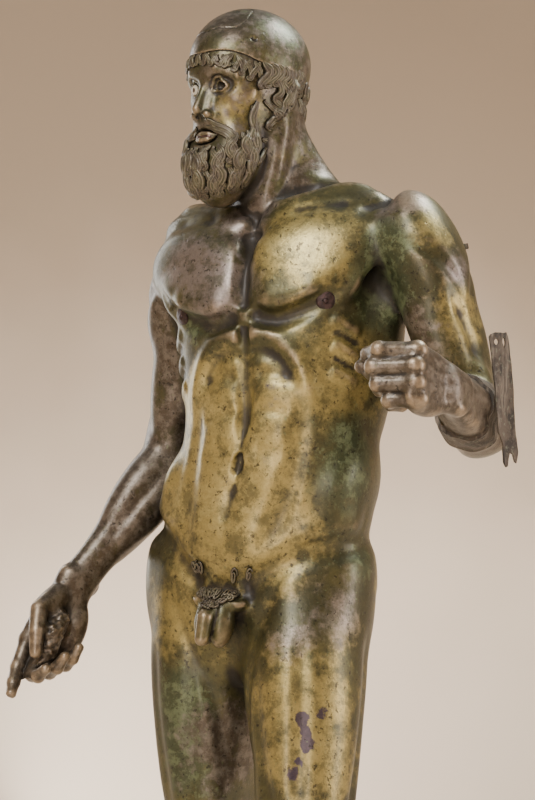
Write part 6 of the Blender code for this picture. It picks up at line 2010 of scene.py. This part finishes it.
@dataclass
class LockWork:
    """Locks laid on the head, or curls on the body, each swept along a guide of its own."""

    name: str
    rows: tuple[HairRow, ...] = ()
    strands: float = 3.0
    groove: float = 0.55
    flatness: float = 0.85
    rings: int = 30
    sides: int = 30
    steps: int = 18
    spread: float = 1.0

    def guides(self, figure: CastFigure) -> tuple[list[Lock], Field, Frame]:
        """Returns the locks, the surface that they lie on and the frame that they are given in."""
        head = figure.parts_of(Head)[0]
        return lay_rows(head.bare, self.rows, self.steps), head.bare, HEAD

    def build(self, figure: CastFigure, tree: bpy.types.NodeTree,
              material: bpy.types.Material) -> bpy.types.Object:
        """Sweeps the locks.

        Args:
            figure: The body that carries them.
            tree: The sweep's nodes.
            material: Their finish.

        Returns:
            All the locks as one piece.
        """
        locks, surface, home = self.guides(figure)
        path = np.concatenate([points for points, _ in locks])
        lay = normals(surface, path, 0.003) @ home.axes.T
        path = figure.placed(self.outside(home, path))
        mesh = bpy.data.meshes.new(self.name)
        count = len(locks[0][0])
        edges = [(i, i + 1) for i in range(len(path) - 1) if (i + 1) % count]
        mesh.from_pydata(path.tolist(), edges, [])
        store(mesh, "thick", np.concatenate([radii for _, radii in locks]) * self.spread * figure.share)
        ways = mesh.attributes.new("lay", "FLOAT_VECTOR", "POINT")
        ways.data.foreach_set("vector", lay.astype(np.float32).ravel())
        thing = shown(self.name, mesh)
        nodes = thing.modifiers.new("sweep", "NODES")
        nodes.node_group = tree
        sizes = {"Rings": self.rings, "Sides": self.sides, "Strands": self.strands, "Groove": self.groove,
                 "Flatness": self.flatness, "Material": material}
        for item in tree.interface.items_tree:
            if item.in_out == "INPUT" and item.name in sizes:
                nodes[item.identifier] = sizes[item.name]
        baked(thing)
        self.finish(thing.data, material)
        hand_in(thing, "bronze", "figure")
        return thing

    def outside(self, home: Frame, path: Array) -> Array:
        """Returns the guides' points in the model's coordinates."""
        return home.outside(path)

    def finish(self, mesh: bpy.types.Mesh, material: bpy.types.Material) -> None:
        """Smooths the sweep, turns its faces outwards and gives it its finish."""
        turned_out(mesh)
        if not mesh.materials:
            mesh.materials.append(material)


@dataclass
class GroinCurls(LockWork):
    """The small curls over the groin: rows of little spirals laid on the trunk."""

    curl_rows: int = 4
    widest: int = 16
    curl_radius: float = 0.0062
    strand: float = 0.0029
    middle: Triple = (-0.000055, -0.15, 0.994785)
    pitch: float = 1.38
    row_drop: float = 0.0098
    winds: float = 1.55
    tip: float = 0.22

    def guides(self, figure: CastFigure) -> tuple[list[Lock], Field, Frame]:
        """Returns the curls that lie flat, the trunk that they lie on and the hips' frame."""
        trunk = figure.parts_of(Trunk)[0]
        paths = []
        for row in range(self.curl_rows):
            count = self.widest - 3 * row
            for i in range(count):
                across = (i - (count - 1) / 2) * self.curl_radius * self.pitch
                rise = 0.024 - row * self.row_drop + across * across + 0.002 * math.sin(7 * i + 3 * row)
                turn = 1 if (i + row) % 2 else -1
                angle = np.linspace(0, self.winds * 2 * math.pi, self.steps + 1) * turn + 1.7 * i + row
                size = self.curl_radius * np.linspace(1.0, self.tip, self.steps + 1)
                paths.append(np.column_stack([self.middle[0] + across + size * np.cos(angle),
                                              np.full(self.steps + 1, self.middle[1] - 0.02),
                                              self.middle[2] + rise + size * np.sin(angle)]))
        curls = np.split(laid(trunk.mass, np.concatenate(paths), 0.003), len(paths))
        flat = [c for c in curls if np.linalg.norm(np.diff(c, axis=0), axis=1).max() < 1.3 * self.curl_radius]
        path = np.concatenate(flat)
        share = np.linspace(0, 1, self.steps + 1)
        radii = self.strand * (0.55 + 0.45 * np.sin(np.pi * np.minimum(1, share * 1.4)))
        rise = np.tile(0.0005 + 0.0055 * share, len(flat))
        path = path + normals(trunk.mass, path, 0.003) * rise[:, None]
        return [(part, radii) for part in np.split(path, len(flat))], trunk.mass, PELVIS

    def outside(self, home: Frame, path: Array) -> Array:
        """Returns the curls' points, which are given on the upright hips, in the model's coordinates."""
        return home.outside(path - PELVIS_REST)


def both_sides(row: HairRow) -> tuple[HairRow, HairRow]:
    """Returns a row on the head's right side and its mirror image on the left."""
    (first, start), (last, end) = row.first, row.last
    return row, replace(row, first=(-last, end), last=(-first, start), turn=-row.turn)


# Rows of locks, the lowest first: (angle, height) of the first and last root, number, length, radius,
# swing, waves, curl, heading, turn, bend and lift
BEARD = (
    HairRow((-60, -.160), (60, -.160), 12, .052, .0082, 28, 1.0, 230, lift=.05),
    HairRow((-54, -.142), (54, -.142), 11, .066, .0088, 30, 1.0, 230, lift=.25),
    HairRow((-68, -.118), (68, -.118), 15, .074, .0084, 34, 1.1, 230, lift=.38),
    HairRow((-80, -.094), (80, -.094), 17, .070, .0080, 36, 1.1, 240, lift=.50),
    *both_sides(HairRow((-92, -.062), (-34, -.074), 8, .070, .0076, 38, 1.2, 240, lift=.55)),
    *both_sides(HairRow((-96, -.028), (-60, -.050), 5, .060, .0070, 36, 1.2, 240, lift=.55)),
    HairRow((-20, -.099), (20, -.099), 6, .058, .0072, 32, 1.1, 240, lift=.60),
)
MOUSTACHE = (
    HairRow((5, -.0665), (9, -.0640), 2, .066, .0058, 16, 0.8, 150, 72, 1, -42),
    HairRow((-5, -.0665), (-9, -.0640), 2, .066, .0058, 16, 0.8, 150, 72, -1, -42),
)
CROWN = (
    HairRow((-34, .057), (34, .057), 13, .030, .0050, 16, 1.0, 330, 18, lift=.35),
    *both_sides(HairRow((-68, .040), (-38, .056), 7, .036, .0054, 20, 1.0, 320, 18, lift=.35)),
    *both_sides(HairRow((-112, -.022), (-88, -.016), 4, .056, .0070, 36, 1.1, 250, 0, -1, lift=.20)),
    *both_sides(HairRow((-112, .004), (-84, .012), 5, .060, .0072, 38, 1.2, 250, 0, -1, lift=.40)),
    *both_sides(HairRow((-114, .026), (-70, .040), 8, .066, .0072, 40, 1.3, 250, 0, -1, lift=.60)),
)
NAPE = (
    HairRow((126, -.066), (234, -.066), 12, .046, .0074, 32, 1.0, 280, lift=.15),
    HairRow((118, -.042), (242, -.042), 15, .052, .0076, 34, 1.1, 270, lift=.30),
    HairRow((117, -.016), (243, -.016), 16, .052, .0076, 34, 1.1, 260, lift=.45),
    HairRow((117, .016), (243, .016), 17, .052, .0076, 34, 1.1, 250, lift=.55),
)
LOCK_WORKS = (
    LockWork("beard_locks", BEARD),
    LockWork("moustache_locks", MOUSTACHE, rings=26, sides=24),
    LockWork("crown_locks", CROWN, rings=28, sides=26),
    LockWork("nape_locks", NAPE, rings=26, sides=26),
    GroinCurls("groin_curls", strands=1.0, flatness=0.95, groove=0.10, rings=26, sides=10),
)


def ray_exit(distance: Field, start: Array, way: Array, far: float = 0.2) -> Array:
    """Finds where a ray from inside a body leaves it.

    Args:
        distance: The body's field.
        start: A point inside.
        way: The ray's direction.
        far: How far the ray is followed.

    Returns:
        The point on the surface.
    """
    reach = np.linspace(0, far, 161)
    gaps = distance(start + reach[:, None] * way)
    first = max(int(np.argmax(gaps > 0)), 1)
    share = gaps[first - 1] / (gaps[first - 1] - gaps[first])
    return start + (reach[first - 1] + (reach[first] - reach[first - 1]) * share) * way


def own_axes(points: Array) -> Array:
    """Returns a body's own directions as columns, its thinnest one first."""
    spread = points - points.mean(0)
    return np.linalg.eigh(spread.T @ spread)[1]


def oval(middle: tuple[float, float], radii: tuple[float, float], count: int = 14) -> list:
    """Returns the points round an oval opening."""
    return [(middle[0] + radii[0] * math.cos(a), middle[1] + radii[1] * math.sin(a))
            for a in np.linspace(0, 2 * math.pi, count, endpoint=False)]


# The strap's broken outline and its two openings, in shares of its half width and half height
STRAP_RIM = [
    (-1.0, 0.95), (-0.82, 0.985), (-0.3, 1.0), (0.2, 0.985), (0.55, 0.97), (0.86, 0.975), (0.98, 0.90),
    (1.0, 0.5), (0.97, 0.1), (0.86, -0.4), (0.90, -0.62), (0.96, -0.80), (0.80, -0.90), (0.60, -0.97),
    (0.46, -0.94), (0.34, -0.83), (0.05, -0.79), (-0.12, -0.86), (-0.34, -0.98), (-0.52, -0.99),
    (-0.72, -0.90), (-0.62, -0.66), (-0.80, -0.52), (-0.98, -0.45), (-0.95, 0.0), (-1.0, 0.5),
]
STRAP_LOOPS = [STRAP_RIM, oval((-0.35, 0.86), (0.22, 0.045)), oval((0.45, 0.83), (0.13, 0.075))]


@dataclass
class ShieldRemains:
    """The shield's arm band round the left forearm, the flat strap beside it and the arm's pin."""

    band_place: float = -0.112
    band_width: float = 0.070
    band_thickness: float = 0.0030
    band_rings: int = 17
    band_sides: int = 96
    band_bite: float = 0.0015
    rim_waver: float = 0.0016
    rim_lip: float = 0.0022
    ripple: float = 0.0012
    strap_bend: float = 0.0035
    pin_round: float = 0.0012

    def band(self, figure: CastFigure, material: bpy.types.Material) -> bpy.types.Object:
        """Makes the band: a sheet round the forearm, its rims a little worn and turned out.

        Args:
            figure: The body that wears it.
            material: The sheet's finish.

        Returns:
            The band, which stands for its solid.
        """
        arm = figure.parts_of(Forearm)[1].frame
        rings, count = self.band_rings, self.band_sides
        angles = 2 * np.pi * np.arange(count) / count
        ways = np.column_stack([np.cos(angles), np.sin(angles), np.zeros(count)]) @ arm.axes.T
        loops = []
        for side in (1, -1):
            for k in range(rings)[::side]:
                share = 2 * k / (rings - 1) - 1
                station = self.band_place - share * self.band_width / 2
                station += self.rim_waver * math.sin(9 * share) * abs(share) ** 6
                start = arm.outside((0, 0, station))
                reach = np.array([np.linalg.norm(ray_exit(figure.model.distance, start, way, 0.10) - start)
                                  for way in ways])
                wave = self.ripple * np.sin(3 * angles + 4 * share) * np.sin(7 * angles + 1.0)
                lip = self.rim_lip * abs(share) ** 8
                offset = self.band_thickness + (wave + lip) if side > 0 else -self.band_bite
                loops.append(start + ways * (reach + offset)[:, None])
        points = figure.placed(np.concatenate(loops))
        faces = ring_faces(len(loops), count, closed=True)
        thing = linked("shield_arm_band", points, faces, material)
        finish_normals(thing)
        hand_in(thing, "dark_bronze", "shield_cuff")
        return thing

    def strap(self, material: bpy.types.Material) -> bpy.types.Object:
        """Makes the strap: a bent, worn plate with a round hole, a slot and a forked lower end.

        Args:
            material: The sheet's finish.

        Returns:
            The strap, which stands for its solid.
        """
        node = frame["nodes"]["shield_strap"]
        points = corners_of(node.data)
        middle = (points.min(0) + points.max(0)) / 2
        out, _, up = own_axes(points).T
        up = up * np.sign(up[2])
        out = out * np.sign(out[0])
        across = np.cross(up, out)
        local = (points - middle) @ np.stack([across, up, out], axis=1)
        low, high = local.min(0), local.max(0)
        half, tall, thick = (high - low) / 2
        body = bmesh.new()
        edges = []
        for loop in STRAP_LOOPS:
            ring = [body.verts.new((x * half, y * tall, 0)) for x, y in loop]
            edges += [body.edges.new((ring[i], ring[(i + 1) % len(ring)])) for i in range(len(ring))]
        bmesh.ops.triangle_fill(body, edges=edges, use_beauty=True)
        long_edges = [e for e in body.edges if e.calc_length() > 0.010]
        bmesh.ops.subdivide_edges(body, edges=long_edges, cuts=2, use_grid_fill=True)
        bmesh.ops.triangulate(body, faces=body.faces)
        thing = poured("shield_strap_plate", body)
        flat = corners_of(thing.data)
        bend = self.strap_bend * np.sin(flat[:, 1] / tall * 2.2 + 0.4) * 0.5
        bend += 0.0008 * np.sin(flat[:, 1] * 260) * np.sin(flat[:, 0] * 310)
        bend = np.clip(bend, -thick * 0.7, thick * 0.7)
        world = middle + flat[:, :1] * across + flat[:, 1:2] * up + bend[:, None] * out
        thing.data.vertices.foreach_set("co", world.ravel())
        wall = thing.modifiers.new("wall", "SOLIDIFY")
        wall.thickness = thick * 1.1
        wall.offset = 0.0
        wall.use_even_offset = False
        round_edge = thing.modifiers.new("edge", "BEVEL")
        round_edge.width = thick * 0.25
        round_edge.segments = 2
        round_edge.limit_method = "ANGLE"
        baked(thing)
        thing.data.materials.append(material)
        finish_normals(thing)
        hand_in(thing, "dark_bronze", "shield_strap")
        return thing

    def pin(self, material: bpy.types.Material) -> bpy.types.Object:
        """Makes the square pin in the upper arm, its edges worn.

        Args:
            material: The sheet's finish.

        Returns:
            The pin, which stands for its solid.
        """
        node = frame["nodes"]["arm_peg"].data
        faces = [tuple(polygon.vertices) for polygon in node.polygons]
        thing = linked("arm_pin", corners_of(node), faces, material)
        body = bmesh.new()
        body.from_mesh(thing.data)
        bmesh.ops.remove_doubles(body, verts=body.verts, dist=0.0001)
        bmesh.ops.dissolve_limit(body, angle_limit=0.02, verts=body.verts, edges=body.edges)
        bmesh.ops.bevel(body, geom=body.edges, offset=self.pin_round, segments=3, affect="EDGES",
                        profile=0.6)
        body.to_mesh(thing.data)
        body.free()
        thing.data.shade_smooth()
        hand_in(thing, "dark_bronze", "arm_peg")
        return thing


SHARP_ANGLE = math.radians(38)


def finish_normals(thing: bpy.types.Object) -> None:
    """Turns a closed piece's faces outwards and smooths all but its sharp edges."""
    turned_out(thing.data)
    thing.data.set_sharp_from_angle(angle=SHARP_ANGLE)


@dataclass
class Inlays:
    """The copper and stone let into the bronze: nipples, lips and the right eye."""

    segments: int = 48
    rise: float = 0.0055
    depth: float = 0.0044
    nipple_profile: tuple[tuple[float, float], ...] = (
        (0.0, 1.00), (0.14, 0.98), (0.235, 0.86), (0.27, 0.66), (0.31, 0.48), (0.42, 0.42), (0.62, 0.36),
        (0.80, 0.28), (0.92, 0.16), (0.985, 0.02), (1.0, -0.20), (1.0, -0.80), (0.0, -0.80))

    def nipple(self, node: str, material: bpy.types.Material, way: Array) -> bpy.types.Object:
        """Makes one nipple: a low disc with a raised button.

        Args:
            node: The solid that it stands for.
            material: The copper's finish.
            way: The direction that the disc faces.

        Returns:
            The piece.
        """
        points = corners_of(frame["nodes"][node].data)
        middle = points.mean(0)
        spread = points - middle
        way = way / np.linalg.norm(way)
        along = spread @ way
        radius = np.linalg.norm(spread - along[:, None] * way, axis=1).max()
        top = along.max()
        side = unit(np.cross(way, (0, 0, 1)))
        up = np.cross(side, way)
        angles = 2 * np.pi * np.arange(self.segments) / self.segments
        ring = np.cos(angles)[:, None] * side + np.sin(angles)[:, None] * up
        base = middle + way * (top - self.rise)
        wobble = 1 + 0.02 * np.sin(3 * angles + 1)
        loops = [base + ring * (r * radius * wobble)[:, None] + way * (h * self.rise)
                 for r, h in self.nipple_profile[1:-1]]
        points = np.concatenate([*loops, [base + way * self.rise], [base - way * self.depth]])
        n, rows = self.segments, len(loops)
        faces = ring_faces(rows, n)
        faces += [(n * rows, i, (i + 1) % n) for i in range(n)]
        faces += [(n * rows + 1, (rows - 1) * n + (i + 1) % n, (rows - 1) * n + i) for i in range(n)]
        thing = linked(node + "_disc", points, faces, material)
        finish_normals(thing)
        hand_in(thing, "copper", node)
        return thing

    def build(self, copper: bpy.types.Material, lips: bpy.types.Material, eye: bpy.types.Material) -> None:
        """Makes the nipples, and dresses the lips and the eye.

        Args:
            copper: The nipples' finish.
            lips: The lips' finish.
            eye: The eye's finish.
        """
        for node in ("right_nipple", "left_nipple"):
            way = own_axes(corners_of(frame["nodes"][node].data))[:, 0]
            self.nipple(node, copper, way if way[1] < 0 else -way)
        for node, material in (("lips", lips), ("right_eye", eye)):
            mesh = frame["nodes"][node].data
            mesh.materials.clear()
            mesh.materials.append(material)
            for polygon in mesh.polygons:
                polygon.use_smooth = True


@dataclass
class StoneBase:
    """The low square base: a honed block with a chamfered upper edge and softly worn corners."""

    chamfer: float = 0.008
    edge_round: float = 0.0016
    cuts: int = 40
    wear: float = 0.0006
    worn_strip: float = 0.02

    def build(self, material: bpy.types.Material) -> bpy.types.Object:
        """Makes the block.

        Args:
            material: The stone's finish.

        Returns:
            The block, which stands for its solid.
        """
        low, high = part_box("base")
        body = bmesh.new()
        bmesh.ops.create_cube(body, size=1.0)
        size = Matrix.Diagonal((*(high - low), 1))
        bmesh.ops.transform(body, matrix=Matrix.Translation((low + high) / 2) @ size, verts=body.verts)
        top = [e for e in body.edges if all(v.co.z > (low.z + high.z) / 2 for v in e.verts)]
        bmesh.ops.bevel(body, geom=top, offset=self.chamfer, segments=1, affect="EDGES")
        sharp = [e for e in body.edges if e.calc_face_angle(0) > 0.3]
        bmesh.ops.bevel(body, geom=sharp, offset=self.edge_round, segments=3, affect="EDGES", profile=0.6)
        long_edges = [e for e in body.edges if e.calc_length() > 0.2]
        bmesh.ops.subdivide_edges(body, edges=long_edges, cuts=self.cuts, use_grid_fill=True)
        bmesh.ops.triangulate(body, faces=[f for f in body.faces if len(f.verts) > 4])
        for vertex in body.verts:
            x, y, z = vertex.co
            inward = Vector((-x, -y, -(z - low.z))).normalized()
            chip = max(0.0, math.sin(31 * x + 3) * math.sin(29 * y + 1) * math.sin(47 * z + 2))
            near = [abs(place) > limit - self.worn_strip for place, limit in zip(vertex.co, high)]
            if sum(near) >= 2 and z > low.z + 0.004:
                vertex.co += inward * self.wear * 3 * chip
        thing = poured("stone_base", body)
        thing.data.materials.append(material)
        finish_normals(thing)
        hand_in(thing, "stone", "base")
        return thing


@dataclass(frozen=True)
class SoftBox:
    """One soft studio light."""

    name: str
    place: Triple
    target: Triple
    power: float
    size: tuple[float, float]
    colour: Colour = (1.0, 1.0, 1.0)

    def light(self) -> None:
        """Hangs the light in the scene."""
        lamp = bpy.data.lights.new(self.name, "AREA")
        lamp.shape = "RECTANGLE"
        lamp.size, lamp.size_y = self.size
        lamp.energy = self.power
        lamp.color = self.colour
        thing = shown(self.name, lamp)
        thing.location = self.place
        way = Vector(self.target) - Vector(self.place)
        thing.rotation_euler = way.to_track_quat("-Z", "Y").to_euler()


@dataclass
class Studio:
    """The plain pale floor and wall, the soft lights and the camera."""

    azimuth: float = 33.0
    distance: float = 3.1
    camera_height: float = 1.16
    aim_height: float = 1.318
    aim_side: float = -0.020
    focal_pixels: float = 1835.0
    sensor: float = 36.0
    radius: float = 4.2
    bend: float = 1.0
    wall_height: float = 5.2
    wall_sides: int = 96
    lights: tuple[SoftBox, ...] = (
        SoftBox("key", (0.3, -2.6, 3.5), (0.0, 0.0, 1.45), 92, (1.0, 1.0), (1.0, 0.955, 0.93)),
        SoftBox("right_strip", (2.8, 1.0, 1.6), (0.0, 0.0, 1.15), 46, (0.45, 2.0), (1.0, 0.90, 0.89)),
        SoftBox("front_strip", (0.9, -3.4, 1.2), (0.1, 0.0, 1.1), 34, (0.22, 1.6), (1.0, 0.87, 0.84)),
        SoftBox("rim_left", (-2.6, 0.8, 2.0), (0.0, 0.0, 1.2), 26, (0.5, 2.2), (0.96, 0.98, 1.0)),
        SoftBox("top", (0.9, 1.2, 3.6), (0.1, 0.0, 1.5), 70, (1.1, 0.8), (0.97, 1.0, 0.98)),
        SoftBox("wall", (-1.9, 2.2, 0.5), (-1.6, 4.2, 1.0), 26, (1.6, 0.6), (1.0, 0.93, 0.86)),
    )

    def build(self, wall: bpy.types.Material) -> None:
        """Sets up the whole studio.

        Args:
            wall: The finish of floor and wall.
        """
        self.stage(wall)
        for lamp in self.lights:
            lamp.light()
        world = bpy.data.worlds.new("studio")
        bpy.context.scene.world = world
        world.use_nodes = True
        background = world.node_tree.nodes["Background"]
        background.inputs[0].default_value = (0.80, 0.76, 0.72, 1.0)
        background.inputs[1].default_value = 0.32
        self.camera()

    def stage(self, wall: bpy.types.Material) -> None:
        """Makes the round floor and the wall that curves up from it."""
        count, bend = self.wall_sides, self.bend
        angles = 2 * np.pi * np.arange(count) / count
        sections = [(self.radius - bend, 0.0)]
        sections += [(self.radius - bend + bend * math.sin(a), bend - bend * math.cos(a))
                     for a in np.linspace(0.15, math.pi / 2, 9)]
        sections.append((self.radius, self.wall_height))
        ring = np.column_stack([np.cos(angles), np.sin(angles), np.zeros(count)])
        points = np.concatenate([[(0, 0, 0)], *[ring * r + (0, 0, z) for r, z in sections]])
        faces = [(0, 1 + i, 1 + (i + 1) % count) for i in range(count)]
        faces += ring_faces(len(sections), count, first=1)
        floor = linked("studio_floor", points, faces, wall)
        floor.data.shade_smooth()

    def camera(self) -> None:
        """Sets the camera at the photograph's viewing angle."""
        lens = bpy.data.cameras.new("camera")
        thing = shown("camera", lens)
        bpy.context.scene.camera = thing
        angle = math.radians(self.azimuth)
        ground = Vector((*STANCE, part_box("figure")[0].z))
        place = ground + Vector((math.sin(angle) * self.distance, -math.cos(angle) * self.distance,
                                 self.camera_height))
        side = Vector((math.cos(angle), math.sin(angle), 0.0))
        aim = ground + Vector((0, 0, self.aim_height)) + side * self.aim_side
        thing.location = place
        thing.rotation_euler = (aim - place).to_track_quat("-Z", "Y").to_euler()
        lens.sensor_fit = "AUTO"
        lens.sensor_width = self.sensor
        lens.lens = self.sensor * self.focal_pixels / max(PHOTO_SIZE)


def finishes() -> dict[str, bpy.types.Material]:
    """Returns the finishes that several pieces share, by name."""
    made = (
        CastPatina("cast_bronze", coat=0.20, coat_roughness=0.30, coat_tint=(1.0, 0.96, 0.90)),
        LockPatina("lock_bronze", coat=0.12, coat_roughness=0.35),
        SheetPatina("sheet_bronze"),
        CopperPatina("copper"),
        CopperPatina("lip_copper", body=(0.110, 0.060, 0.048), dark=(0.050, 0.032, 0.027), rub=0.4),
    )
    return {finish.name: finish.material() for finish in made}


def main() -> None:
    """Builds every piece of the statue and its studio."""
    logging.basicConfig(level=logging.INFO, format="%(message)s")
    shared = finishes()
    figure = CastFigure()
    figure.build(shared["cast_bronze"])
    tree = StrandSweep().tree()
    for work in LOCK_WORKS:
        work.build(figure, tree, shared["lock_bronze"])
    eye = EyeInlay("eye_inlay", centre=tuple(figure.right_eye + HEAD.axes @ (0.0, -0.004, 0.0))).material()
    Inlays().build(shared["copper"], shared["lip_copper"], eye)
    remains = ShieldRemains()
    remains.band(figure, shared["sheet_bronze"])
    remains.strap(shared["sheet_bronze"])
    remains.pin(shared["sheet_bronze"])
    StoneBase().build(HonedStone("honed_stone").material())
    Studio().build(PlainWall("studio_wall").material())


if __name__ == "__main__":
    main()
